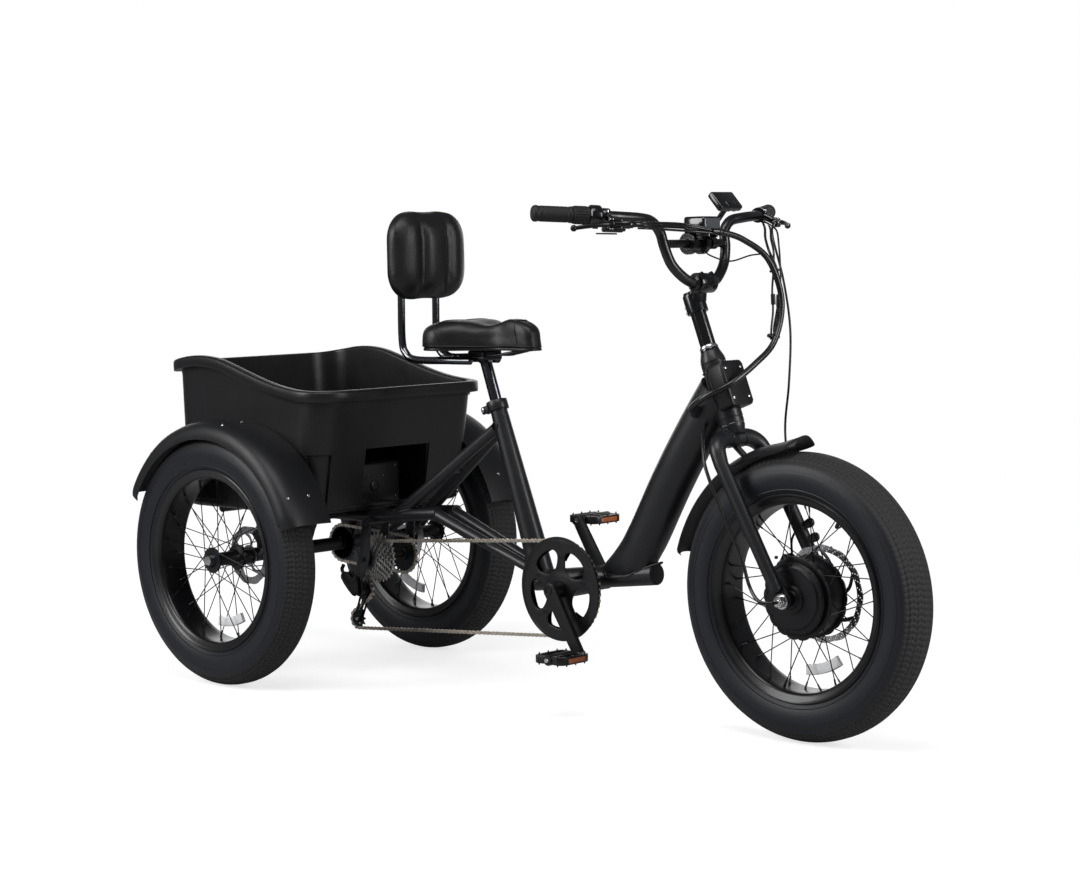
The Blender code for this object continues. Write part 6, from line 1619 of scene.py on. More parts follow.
@dataclass
class Tub:
    """The moulded tub with its rolled rim, corner flutes, battery cover and open front door."""

    front: float = -0.447
    rear: float = -0.998
    half: float = 0.258
    corner: float = 0.07
    bottom: float = 0.4015
    door_half: float = 0.1025
    door_low: float = 0.417
    door_high: float = 0.5475
    cover_rear: float = -0.942
    cover_half: float = 0.1075
    cover_top: float = 0.5525

    def rim_height(self, x: float) -> float:
        """Return the rim's height, low in front and swelling up over the wheels.

        Args:
            x: The place from front to rear.

        Returns:
            The height.
        """
        share = min(1.0, max(0.0, (x - self.front) / (self.rear - self.front)))
        swell = math.sin(math.pi * min(1.0, share / 0.86) ** 1.15 * 0.5) ** 2
        return 0.69 + 0.086 * swell - 0.028 * max(0.0, (share - 0.62) / 0.38) ** 1.4

    def outline(self, inset: float, lean: float, flute: float) -> list[tuple[float, float]]:
        """Return the tub's outline from above.

        Args:
            inset: How far the outline is drawn in.
            lean: How far down the leaning walls it lies, from 0 at the rim to 1 at the floor.
            flute: The depth of the hollows at the front corners.

        Returns:
            The outline's points, from the right side's rear end round the front to the rear wall.
        """
        front, rear = self.front - inset - lean * 0.05, self.rear + inset + lean * 0.014
        half, radius = self.half - inset, max(0.012, self.corner - inset)
        side = [rear + radius + (front - rear - 2 * radius) * step / 26 for step in range(26)]
        corners = [0.0, 8, 16, 23, 27, 29, 31.5, 36, 42, 48, 54, 60, 66, 70.5, 73, 75, 79, 85, 90]
        across = [-self.door_half, -0.068, -0.034, 0.0, 0.034, 0.068, self.door_half]
        gap = (half - radius + self.door_half) / 2

        def bend(centre_x: float, centre_y: float, start: float, hollow: bool) -> list[tuple[float, float]]:
            """Return one corner's points, turned by quarter turns.

            Args:
                centre_x: The corner's centre from front to rear.
                centre_y: The corner's centre from side to side.
                start: The heading at which it starts, in degrees.
                hollow: Whether it has a flute.

            Returns:
                The corner's points.
            """
            points = []
            for angle in corners:
                reach = radius
                if hollow and 27 < angle < 75:
                    reach -= flute * min(1.0, (angle - 27) / 2, (75 - angle) / 2)
                heading = math.radians(start + angle)
                points.append((centre_x + reach * math.cos(heading), centre_y + reach * math.sin(heading)))
            return points

        points = [(x, -half) for x in side]
        points += bend(front - radius, radius - half, -90, True)
        points += [(front, y) for y in (-gap, *across, gap)]
        points += bend(front - radius, half - radius, 0, True)
        points += [(x, half) for x in reversed(side[1:])]
        points += bend(rear + radius, half - radius, 90, False)
        points += [(rear, (half - radius) * (1 - 2 * step / 9)) for step in range(1, 9)]
        points += bend(rear + radius, radius - half, 180, False)[:-1]
        return points

    def ring(self, inset: float, share: float, drop: float = 0.0, flute: float = 0.0) -> list[Vector]:
        """Return one level of the wall, from the floor at 0 to the rim at 1.

        Args:
            inset: How far the wall is drawn in.
            share: The level.
            drop: How far the level is let down.
            flute: The depth of the corners' hollows.

        Returns:
            The level's points.
        """
        level = []
        for x, y in self.outline(inset, 1.0 - share, flute):
            top = self.rim_height(x)
            level.append(Vector((x, y, self.bottom + (top - self.bottom) * share - drop)))
        return level

    def in_door(self, point: Vector) -> bool:
        """Return whether a point lies in the front wall's doorway."""
        return abs(point.y) < self.door_half and self.door_low < point.z < self.door_high and point.x > -0.53

    def walls(self) -> None:
        """Make the leaning walls with the rolled rim and the door."""
        deep, bow = 0.0075, 0.0016
        outer = [
            (0.016, 0.0, 0, 0), (0.0085, 0.006, 0, deep), (0.004, 0.02, 0, deep), (bow, 0.036, 0, deep),
            (bow, 0.05, 0, deep), (0.0, 0.0537, 0, deep), (0.0, 0.14, 0, deep), (0.0, 0.26, 0, deep),
            (0.0, 0.38, 0, deep), (0.0, 0.474, 0, deep), (0.0, 0.484, 0, 0), (0.0, 0.506, 0, 0), (0.0, 0.62, 0, 0),
            (0.0, 0.76, 0, 0), (0.0, 0.9, 0, 0), (0.0, 1.0, 0.034, 0)
        ]
        rim = [
            (-0.0005, 1.0, 0.028, 0), (-0.016, 1.0, 0.0262, 0), (-0.0186, 1.0, 0.0258, 0), (-0.0194, 1.0, 0.0245, 0),
            (-0.0198, 1.0, 0.014, 0), (-0.0198, 1.0, 0.0062, 0), (-0.0188, 1.0, 0.003, 0), (-0.0165, 1.0, 0.0008, 0),
            (-0.013, 1.0, 0.0, 0), (-0.003, 1.0, 0.0, 0), (0.002, 1.0, 0.0008, 0), (0.0045, 1.0, 0.0032, 0)
        ]
        inner = [
            (0.005, 1.0, 0.008, 0), (0.005, 0.9, 0, 0), (0.005, 0.76, 0, 0), (0.005, 0.62, 0, 0),
            (0.005, 0.506, 0, 0), (0.005, 0.488, 0, 0), (0.005, 0.476, 0, deep), (0.005, 0.38, 0, deep),
            (0.005, 0.26, 0, deep), (0.005, 0.14, 0, deep), (0.005, 0.0537, 0, deep), (0.009, 0.026, 0, deep),
            (0.016, 0.018, 0, 0), (0.022, 0.016, 0, 0)
        ]
        form = Form().loft([self.ring(*level) for level in outer + rim + inner])
        door = [face for face in form.bm.faces if self.in_door(face.calc_center_median())]
        bmesh.ops.delete(form.bm, geom=door, context="FACES")
        loose = []
        for edge in form.bm.edges:
            (x, y, z), last = edge.verts[0].co, edge.verts[1].co
            if edge.is_boundary and abs(y) < 0.104 and 0.4165 < z < 0.5478 and x > -0.54 and last.z > 0.4165:
                loose.append(edge)
        bmesh.ops.bridge_loops(form.bm, edges=loose)
        form.finish("tub_walls", Look.TUB, "frame", replaces=["cargo_tub"], angle=0.75)

    def floor(self) -> None:
        """Make the floor and the cover over the battery."""
        gap = [
            (-0.937, -self.door_half), (-0.495, -self.door_half), (-0.495, self.door_half), (-0.937, self.door_half)
        ]
        flat = (self.outline(0.0161, 1.0, 0.0), gap)
        form = Form().slab([[Vector((x, y, self.bottom + 0.0002)) for x, y in line] for line in flat], UP * 0.0047)
        # The floor takes the tub plastic darkened with painted shade.
        form.finish("tub_floor", Look.TUB_INSIDE_PAINTED_SHADE, "frame")
        half, top, low = self.cover_half, self.cover_top, self.bottom + 0.003
        section = []
        for centre_y, start in ((half - 0.012, 0), (0.012 - half, 90)):
            for step in range(7):
                heading = math.radians(start + 15 * step)
                section.append((centre_y + 0.012 * math.cos(heading), top - 0.012 + 0.012 * math.sin(heading)))
        section = [(half, low)] + section + [(-half, low)]
        inner = [(y * (half - 0.005) / half, z - (0.005 if z > low + 0.01 else 0.0)) for y, z in reversed(section)]
        start = Vector((self.cover_rear, 0.0, 0.0))
        outline = [start + LEFT * y + UP * z for y, z in section + inner]
        cover = Form().slab([outline], FORWARD * 0.452)
        cover.slab([[start + LEFT * y + UP * z for y, z in section]], FORWARD * 0.005)
        front = self.front - 0.005
        for vert in cover.bm.verts:
            share = (vert.co.z - self.bottom) / (self.rim_height(self.front) - self.bottom)
            vert.co.x = min(vert.co.x, front - 0.05 * (1.0 - share) + 0.001)
        # The battery cover takes the tub plastic darkened with painted shade.
        cover.finish("battery_cover", Look.TUB_INSIDE_PAINTED_SHADE, "frame", angle=0.5)
        screws = Form()
        for x in (-0.9, -0.72, -0.54):
            for side in (1, -1):
                screws.ball(Vector((x, side * 0.085, top + 0.0003)), (0.0055, 0.0055, 0.0022))
        for y in (-0.235, 0.235):
            for x in (-0.62, -0.86):
                screws.ball(Vector((x, y * 0.72, self.bottom + 0.0052)), (0.006, 0.006, 0.0022))
        screws.finish("tub_screws", Look.DARK, "frame")

    def build(self) -> None:
        """Make the tub."""
        self.walls()
        self.floor()


@dataclass
class Battery:
    """The battery and the controller in the tub's tunnel."""

    def build(self) -> None:
        """Make both boxes with their screws, socket and cooling ribs."""
        case = Form().block((-0.697, 0.0, 0.4538), (0.28, 0.17, 0.1034), bevel=0.01)
        for z in (0.43, 0.476):
            case.block((-0.697, 0.0, z), (0.276, 0.1706, 0.004), bevel=0.001)
        case.finish("battery_case", Look.PLASTIC, "frame", replaces=["battery_pack"])
        trim = Form()
        for y, z in ((-0.068, 0.492), (0.068, 0.492), (-0.068, 0.418), (0.068, 0.418), (-0.03, 0.47), (0.03, 0.47)):
            trim.ball(Vector((-0.5568, y, z)), (0.0016, 0.0045, 0.0045))
        trim.lathe(
            [(0.0, 0.0), (0.0, 0.013), (0.003, 0.013), (0.0036, 0.0115), (0.0036, 0.0)], Vector((-0.557, 0.0, 0.448)),
            FORWARD, 32
        )
        trim.finish("battery_trim", Look.DARK, "frame")
        body = Form().block((-0.8726, 0.0, 0.4318), (0.0694, 0.15, 0.0598), bevel=0.003)
        for step in range(12):
            body.block((-0.8726, -0.066 + 0.012 * step, 0.4612), (0.06, 0.003, 0.0012), bevel=0.0004)
        body.finish("controller_box", Look.STEEL, "frame", replaces=["motor_controller"])


@dataclass
class RearFender:
    """A mudguard over a rear wheel."""

    side: int
    name: str

    def place(self, angle: float, along: float, radius: float) -> Vector:
        """Return a point by its angle about the axle, its place from side to side and its radius."""
        return PLAN.rear_axle + LEFT * self.side * along + radial(math.radians(angle)) * radius

    def build(self) -> None:
        """Make the guard with its turned edge and its bolts."""
        curve = [
            (0.3865, 0.285), (0.3868, 0.2895), (0.3855, 0.3), (0.381, 0.311), (0.372, 0.3188), (0.359, 0.3232),
            (0.344, 0.3254), (0.3285, 0.326), (0.31, 0.3256), (0.292, 0.3243), (0.275, 0.3222), (0.259, 0.3196)
        ]
        under = [
            (0.3843, 0.285), (0.3843, 0.2895), (0.3828, 0.2992), (0.3788, 0.3092), (0.3706, 0.3166), (0.3582, 0.3208)
        ]
        under += [(along, radius - 0.0025) for along, radius in curve[6:]]
        rings = []
        for step in range(73):
            angle = 18.0 + 136.0 * step / 72
            end = min(angle - 18.0, 154.0 - angle)
            pinch = 1.0 - min(1.0, end / 5.0)
            ring = []
            for along, radius in curve + list(reversed(under)):
                shift = 0.018 * pinch**2 * max(0.0, (along - 0.345) / 0.042) ** 2
                ring.append(self.place(angle, along - shift * 0.4, radius))
            rings.append(ring)
        form = Form().loft(rings, caps=True)
        form.finish(self.name + "_guard", Look.FENDER, "frame", replaces=[self.name], angle=0.9)
        lip = Form().sweep([self.place(20.0 + 132.0 * step / 60, 0.3852, 0.285) for step in range(61)], 0.0017, 10)
        lip.finish(self.name + "_lip", Look.FENDER, "frame")
        bolts, washers = Form(), Form()
        for angle in (30.0, 80.5, 132.0):
            for along, radius in ((0.306, 0.3252), (0.364, 0.3216)):
                outward = (self.place(angle, along, radius) - self.place(angle, along, 0.0)).normalized()
                if along > 0.35:
                    outward = (outward + LEFT * self.side * 0.25).normalized()
                at = self.place(angle, along, radius)
                washers.lathe([(-0.001, 0.0), (-0.001, 0.0058), (0.0004, 0.0056), (0.0006, 0.0)], at, outward, 24)
                bolts.lathe(
                    [
                        (0.0, 0.0), (0.0, 0.0042), (0.0012, 0.004), (0.0024, 0.0026), (0.0022, 0.0014),
                        (0.0012, 0.0012), (0.0012, 0.0)
                    ],
                    at, outward, 20
                )
        washers.finish(self.name + "_washers", Look.DARK, "frame")
        bolts.finish(self.name + "_bolts", Look.STEEL, "frame")


@dataclass
class FrontFender:
    """The short mudguard behind and over the front wheel."""

    half: float = 0.0475

    def place(self, share: float, along: float, drop: float) -> Vector:
        """Return a point on the guard by its share of the length and its place across it.

        Args:
            share: The share of the length, from the top to the rear.
            along: The place across the guard.
            drop: How far in from the crown the point lies.

        Returns:
            The point.
        """
        angle = math.radians(90 + 78 * share)
        radius = 0.313 + 0.018 * share + 0.016 * max(0.0, 1 - share * 6) ** 2
        return PLAN.front_axle + LEFT * along + radial(angle) * (radius - drop)

    def build(self) -> None:
        """Make the guard, its raised spine and its tab."""
        rings, across = [], [-1.0 + index / 10 for index in range(21)]
        for step in range(61):
            share = step / 60
            taper = 1.0 - 0.3 * (1.0 - min(1.0, share / 0.035)) ** 2 - 0.35 * max(0.0, (share - 0.965) / 0.035) ** 2
            ring = []
            for ways, least, deep, narrow in ((across, 0.0004, 0.0192, 1.0), (across[::-1], 0.0029, 0.019, 0.972)):
                for way in ways:
                    ring.append(self.place(share, self.half * taper * way * narrow, least + deep * abs(way) ** 2.3))
            rings.append(ring)
        form = Form().loft(rings, caps=True)
        form.sweep(
            [self.place(0.06 + 0.88 * step / 40, 0.0, 0.0012) for step in range(41)], [(0.0105, 0.0018)] * 41, 16
        )
        crown = Fork().crown
        outward = (crown - PLAN.front_axle).normalized()
        foot = PLAN.front_axle + outward * 0.3155
        form.tube(foot, crown + Vector((-0.002, 0.0, -0.032)), 0.0068, 20)
        form.finish("front_guard", Look.FENDER, "steering_assembly", replaces=["front_fender"], angle=0.8)
        bolt = Form().lathe(
            [(0.0, 0.0), (0.0, 0.0052), (0.0016, 0.005), (0.0032, 0.003), (0.0032, 0.0)],
            PLAN.front_axle + outward * 0.3122, -outward, 24
        )
        bolt.finish("front_guard_bolt", Look.STEEL, "steering_assembly")


@dataclass
class Caliper:
    """A brake caliper astride its disc, with its bracket and bolts."""

    name: str
    centre: Vector
    outward: Vector
    plane: float
    radius: float
    bracket_end: Vector
    body: str

    def build(self) -> None:
        """Make the caliper."""
        along = self.outward.cross(LEFT)
        place = self.centre + self.outward * self.radius + LEFT * self.plane
        turn = turn_onto(self.outward, LEFT, along)
        form = Form()
        for side in (1, -1):
            form.block(place + LEFT * side * 0.0096, (0.029, 0.0135, 0.044), turn, 0.0035)
            form.lathe(
                [(0.0, 0.0), (0.0, 0.0098), (0.0015, 0.0098), (0.0022, 0.0088), (0.0022, 0.0)],
                place + LEFT * side * 0.0148, LEFT * side, 28
            )
        form.block(place + self.outward * 0.0095, (0.0095, 0.02, 0.04), turn, 0.002)
        middle = place + self.outward * 0.012
        form.sweep([middle, middle.lerp(self.bracket_end, 0.5), self.bracket_end], 0.0052, 20)
        form.finish(self.name + "_body", Look.MOTOR, self.body, replaces=[self.name])
        bolts = Form()
        for shift in (-0.014, 0.014):
            at = place + along * shift + self.outward * 0.014
            bolts.lathe(
                [(0.0, 0.0), (0.0, 0.0038), (0.003, 0.0036), (0.0036, 0.0026), (0.0036, 0.0)], at, self.outward, 16
            )
        bolts.finish(self.name + "_bolts", Look.STEEL, self.body)


@dataclass
class Handlebar:
    """The riser, the stem and the bent bar with its crossbar."""

    riser_length: float = 0.122
    crossbar: Vector = field(default_factory=lambda: Vector(PLAN.crossbar))

    def riser(self) -> None:
        """Make the polished riser with its ring."""
        top, up = Vector(PLAN.head_top), PLAN.steer_up
        Form().lathe(
            [
                (0.0003, 0.002), (0.0003, 0.0196), (0.0012, 0.0204), (0.005, 0.0204), (0.0062, 0.0196),
                (0.0064, 0.017), (self.riser_length, 0.017), (self.riser_length, 0.002)
            ],
            top, up, 64
        ).finish("riser_post", Look.GLOSS, "steering_assembly", replaces=["handlebar_riser"])
        Form().lathe(
            [
                (0.0064, 0.0171), (0.0064, 0.0196), (0.0074, 0.0202), (0.0106, 0.02), (0.0132, 0.0184),
                (0.0134, 0.0171)
            ],
            top, up, 64
        ).finish("riser_ring", Look.STEEL, "steering_assembly")

    def stem(self) -> None:
        """Make the stem: a clamp on the riser, a neck and a barrel with a four-bolt cap."""
        top, up, clamp = Vector(PLAN.head_top), PLAN.steer_up, Vector(PLAN.bar_clamp)
        form = Form().lathe(
            [
                (0.0862, 0.0172), (0.0862, 0.0218), (0.0874, 0.023), (0.123, 0.023), (0.1262, 0.0226),
                (0.129, 0.0205), (0.1316, 0.02), (0.1318, 0.0), (0.1224, 0.0), (0.1224, 0.0172)
            ],
            top, up, 56
        )
        start, end = PLAN.on_steerer(0.112, 0.01), clamp - PLAN.steer_forward * 0.008
        form.sweep([start, start.lerp(end, 0.5), end], [(0.0195, 0.0168), (0.018, 0.015), (0.0215, 0.0165)], 32)
        form.lathe(
            [(-0.025, 0.016), (-0.025, 0.0206), (-0.0238, 0.0214), (0.0238, 0.0214), (0.025, 0.0206), (0.025, 0.016)],
            clamp, LEFT, 56
        )
        form.finish("stem_body", Look.SMOOTH, "steering_assembly", replaces=["stem"])
        bolts = Form()
        ahead = PLAN.steer_forward
        side_up = ahead.cross(LEFT)
        for y in (-0.0155, 0.0155):
            for lift in (-0.015, 0.015):
                at = clamp + LEFT * y + side_up * lift + ahead * 0.0148
                bolts.lathe(
                    [
                        (-0.003, 0.0), (-0.003, 0.0042), (0.0028, 0.0042), (0.0036, 0.0036), (0.0036, 0.002),
                        (0.001, 0.0018), (0.001, 0.0)
                    ],
                    at, ahead, 20
                )
        for height in (0.092, 0.104):
            at = PLAN.on_steerer(height, -0.0195)
            bolts.tube(at - LEFT * 0.01, at + LEFT * 0.01, 0.0036, 16)
        bolts.lathe(
            [(0.0, 0.0), (0.0, 0.0075), (0.0016, 0.007), (0.0016, 0.0034), (0.0004, 0.003), (0.0004, 0.0)],
            PLAN.on_steerer(0.1316), up, 28
        )
        bolts.finish("stem_bolts", Look.DARK, "steering_assembly")
        split = Form()
        for y in (-0.0251, 0.0251):
            split.sweep(
                [clamp + LEFT * y + side_up * lift + ahead * 0.001 for lift in (-0.021, 0.0, 0.021)],
                [(0.0006, 0.0012)] * 3, 6, hint=ahead
            )
        split.finish("stem_split", Look.SHEATH, "steering_assembly")

    def bar(self) -> None:
        """Make the bar and its crossbar."""
        clamp = Vector(PLAN.bar_clamp)
        half = smooth_path(
            [
                clamp, clamp + LEFT * 0.026, (0.461, 0.054, 0.941), (0.453, 0.084, 0.969), (0.446, 0.0985, 1.005),
                (0.439, 0.104, 1.036), (0.437, 0.127, 1.058), (0.44, 0.165, 1.065), PLAN.grip_point(0.17, 1)
            ]
        ) + [PLAN.grip_point(0.003, 1)]
        right = [Vector((point.x, -point.y, point.z)) for point in half]
        form = Form().sweep(list(reversed(right)) + half[1:], 0.0111, 32)
        form.lathe(
            [(-0.034, 0.0111), (-0.029, 0.0158), (0.029, 0.0158), (0.034, 0.0111)], clamp, LEFT, 48, closed=False
        )
        form.tube(self.crossbar - LEFT * 0.0985, self.crossbar + LEFT * 0.0985, 0.0088, 32)
        form.finish("handlebar_tube", Look.BAR, "steering_assembly", replaces=["handlebar"])
        welds = Form()
        for side in (1, -1):
            ring = ring_about(self.crossbar + LEFT * side * 0.08, LEFT * side, 0.0089, 0.0089, 40)
            path_up = Vector((0.439, side * 0.104, 1.036)) - Vector((0.446, side * 0.0985, 1.005))
            welds.joint(ring, LEFT * side, Vector((0.4445, side * 0.0993, 1.012)), path_up, 0.0113, 0.0013)
        welds.finish("handlebar_welds", Look.BAR, "steering_assembly")

    def build(self) -> None:
        """Make the riser, the stem and the bar."""
        self.riser()
        self.stem()
        self.bar()


@dataclass
class Controls:
    """What one hand holds: the grip, the brake lever's mount, the lever, and on the right the throttle."""

    side: int
    name: str
    body: str = "steering_assembly"
    mount_start: float = 0.1406

    def __post_init__(self) -> None:
        """Take the grip's directions."""
        self.inward, self.ahead, self.over = PLAN.grip_axes(self.side)

    def at(self, from_end: float, ahead: float = 0.0, over: float = 0.0) -> Vector:
        """Return a point by its place along, ahead of and over the grip's axis."""
        return PLAN.grip_point(from_end, self.side) + self.ahead * ahead + self.over * over

    @property
    def pivot(self) -> Vector:
        """Return the brake lever's pivot."""
        return self.at(self.mount_start + 0.01, 0.04, -0.016)

    def ribbed(
        self, start: float, end: float, radius: float, depth: float, pitch: float
    ) -> list[tuple[float, float]]:
        """Return a profile with rounded ribs round it.

        Args:
            start: Where the ribs start.
            end: Where they end.
            radius: The radius over a rib.
            depth: How deep the grooves are.
            pitch: The distance from rib to rib.

        Returns:
            The profile's points.
        """
        profile = []
        count = max(1, round((end - start) / pitch))
        for index in range(count * 6 + 1):
            share = index / (count * 6)
            groove = max(0.0, math.cos(math.tau * count * share)) ** 3
            profile.append((start + (end - start) * share, radius - depth * groove))
        return profile

    def grip(self) -> None:
        """Make the rubber grip with its end cap."""
        length = 0.0777 if self.side < 0 else self.mount_start - 0.0009
        profile = [
            (-0.0058, 0.0), (-0.0058, 0.0085), (-0.0048, 0.013), (-0.0022, 0.0158), (0.001, 0.0168), (0.0048, 0.0168),
            (0.006, 0.016), (0.0068, 0.0157)
        ]
        profile += self.ribbed(0.012, length - 0.01, 0.0162, 0.0005, 0.0052)
        profile += [
            (length - 0.006, 0.0159), (length - 0.0045, 0.0168), (length - 0.0008, 0.0168), (length, 0.016),
            (length, 0.0117), (0.004, 0.0117), (0.004, 0.0)
        ]
        form = Form().lathe(profile, PLAN.grip_point(0.0, self.side), self.inward, 48)
        form.finish("grip_rubber_" + self.name, Look.GRIP, self.body, replaces=["grip_" + self.name], angle=0.9)

    def throttle(self) -> None:
        """Make the twist throttle and its housing."""
        profile = [
            (0.0786, 0.0117), (0.0786, 0.0166), (0.0794, 0.0176), (0.08, 0.0176), (0.1118, 0.0176), (0.1124, 0.0178),
            (0.1132, 0.0174), (0.1136, 0.016), (0.1136, 0.0117)
        ]
        form = Form().lathe(profile, PLAN.grip_point(0.0, self.side), self.inward, 48)
        start, end = PLAN.grip_point(0.0815, self.side), PLAN.grip_point(0.1105, self.side)

        def rib(part: Form) -> None:
            """Draw one rib along the sleeve.

            Args:
                part: The form to draw on.
            """
            lift = self.over * 0.0176
            part.sweep(
                [start + lift, start.lerp(end, 0.1) + lift, start.lerp(end, 0.9) + lift, end + lift],
                (0.0004, 0.0011, 0.0011, 0.0004), 8
            )

        form.around(start, self.inward, 22, rib)
        form.finish("throttle_sleeve", Look.GRIP, "throttle", replaces=["throttle_grip"])
        shell = Form().lathe(
            [
                (0.1143, 0.0118), (0.1143, 0.019), (0.116, 0.0212), (0.119, 0.0219), (0.134, 0.0219), (0.1372, 0.021),
                (0.1393, 0.0188), (0.1393, 0.0118)
            ],
            PLAN.grip_point(0.0, self.side), self.inward, 56
        )
        shell.lathe(
            [(0.0, 0.0), (0.0, 0.006), (0.006, 0.0055), (0.006, 0.0)], self.at(0.127, 0.006, -0.0205), -self.over, 24
        )
        shell.finish("throttle_case", Look.SMOOTH, self.body, replaces=["throttle_housing"])
        seam = Form().lathe(
            [(0.1262, 0.0217), (0.1262, 0.02205), (0.127, 0.02205), (0.127, 0.0217)], PLAN.grip_point(0.0, self.side),
            self.inward, 56
        )
        seam.finish("throttle_seam", Look.SHEATH, self.body)

    def mount(self) -> None:
        """Make the lever's clamp, arm and cylinder."""
        pivot = self.pivot
        start = self.mount_start
        form = Form().lathe(
            [
                (start, 0.0117), (start, 0.0156), (start + 0.0012, 0.0164), (start + 0.0148, 0.0164),
                (start + 0.016, 0.0156), (start + 0.016, 0.0117)
            ],
            PLAN.grip_point(0.0, self.side), self.inward, 48
        )
        root = self.at(start + 0.01, 0.0135, -0.003)
        elbow = pivot + self.inward * 0.012
        form.sweep(
            [root, root.lerp(elbow, 0.5) + self.over * 0.001, elbow],
            [(0.007, 0.0085), (0.0062, 0.0078), (0.0068, 0.0082)], 24
        )
        turn = turn_onto(self.inward, self.ahead, self.over)
        cylinder = (self.inward * 0.047 + self.ahead * 0.004).normalized()
        form.lathe(
            [
                (0.0, 0.0), (0.0, 0.0066), (0.003, 0.0086), (0.033, 0.0088), (0.035, 0.0074), (0.04, 0.0072),
                (0.041, 0.0056), (0.0468, 0.005), (0.0468, 0.0)
            ],
            pivot + self.inward * 0.0035, cylinder, 36
        )
        for lift in (0.0073, -0.0073):
            form.slab(
                [
                    [
                        pivot + self.over * (lift - 0.002) + self.inward * u + self.ahead * v
                        for u, v in capsule((0.0, 0.0), (0.016, 0.001), 0.0085, 0.0092)
                    ]
                ],
                self.over * 0.004, 0.0008
            )
        if self.side < 0:
            place = self.at(start + 0.026, -0.004, -0.0235)
            form.block(place, (0.039, 0.033, 0.017), turn, 0.0045)
            form.block(place + self.inward * 0.021, (0.01, 0.02, 0.012), turn, 0.003)
        form.finish("lever_clamp_" + self.name, Look.SMOOTH, self.body, replaces=["lever_mount_" + self.name])
        bolts = Form()
        for lift in (0.0102, -0.0102):
            way = self.over * (1 if lift > 0 else -1)
            bolts.lathe(
                [(-0.001, 0.0), (-0.001, 0.0046), (0.0008, 0.0046), (0.0014, 0.004), (0.0014, 0.0)],
                pivot + self.over * lift * 0.92, way, 20
            )
        for over in (0.0105, -0.0105):
            at = self.at(start + 0.008, 0.015, over * 0.9)
            bolts.lathe(
                [(-0.004, 0.0), (-0.004, 0.003), (0.0016, 0.003), (0.002, 0.0024), (0.002, 0.0)], at, self.ahead, 16
            )
        bolts.finish("lever_bolts_" + self.name, Look.STEEL, self.body)

    def lever(self) -> None:
        """Make the brake lever's blade with its ball end."""
        pivot = self.pivot
        blade = ((0.01, 0.008, 0.001), (0.029, 0.012, 0.003), (0.056, 0.014, 0.007), (0.077, 0.0125, 0.0108))
        path = smooth_path(
            [pivot + self.inward * 0.004]
            + [pivot - self.inward * out + self.ahead * ahead - self.over * down for out, ahead, down in blade]
        )
        sizes = [
            (0.004 - 0.0006 * index / (len(path) - 1), 0.0058 - 0.0016 * index / (len(path) - 1))
            for index in range(len(path))
        ]
        form = Form().sweep(path, sizes, 20, hint=self.over)
        form.lathe(
            [(-0.005, 0.0), (-0.005, 0.0078), (-0.004, 0.0084), (0.004, 0.0084), (0.005, 0.0078), (0.005, 0.0)],
            pivot, self.over, 32
        )
        form.ball(
            pivot - self.inward * 0.083 + self.ahead * 0.012 - self.over * 0.0118, (0.0068, 0.0068, 0.0068), detail=20
        )
        form.finish(
            "lever_blade_" + self.name, Look.LEVER, "lever_" + self.name, replaces=["brake_lever_" + self.name]
        )

    def shifter(self) -> None:
        """Make the thumb lever under the right shifter."""
        top = self.at(self.mount_start + 0.026, -0.004, -0.0235) - self.over * 0.013
        outline = [
            top - self.inward * u + self.ahead * v for u, v in capsule((0.0, 0.0), (0.016, -0.036), 0.01, 0.007)
        ]
        form = Form().slab([[point + self.over * 0.0003 for point in outline]], self.over * 0.003, 0.0009)
        form.finish("shift_paddle", Look.PLASTIC, "shifter", replaces=["shift_lever"])

    def build(self) -> None:
        """Make everything on this side."""
        self.grip()
        if self.side < 0:
            self.throttle()
            self.shifter()
        self.mount()
        self.lever()


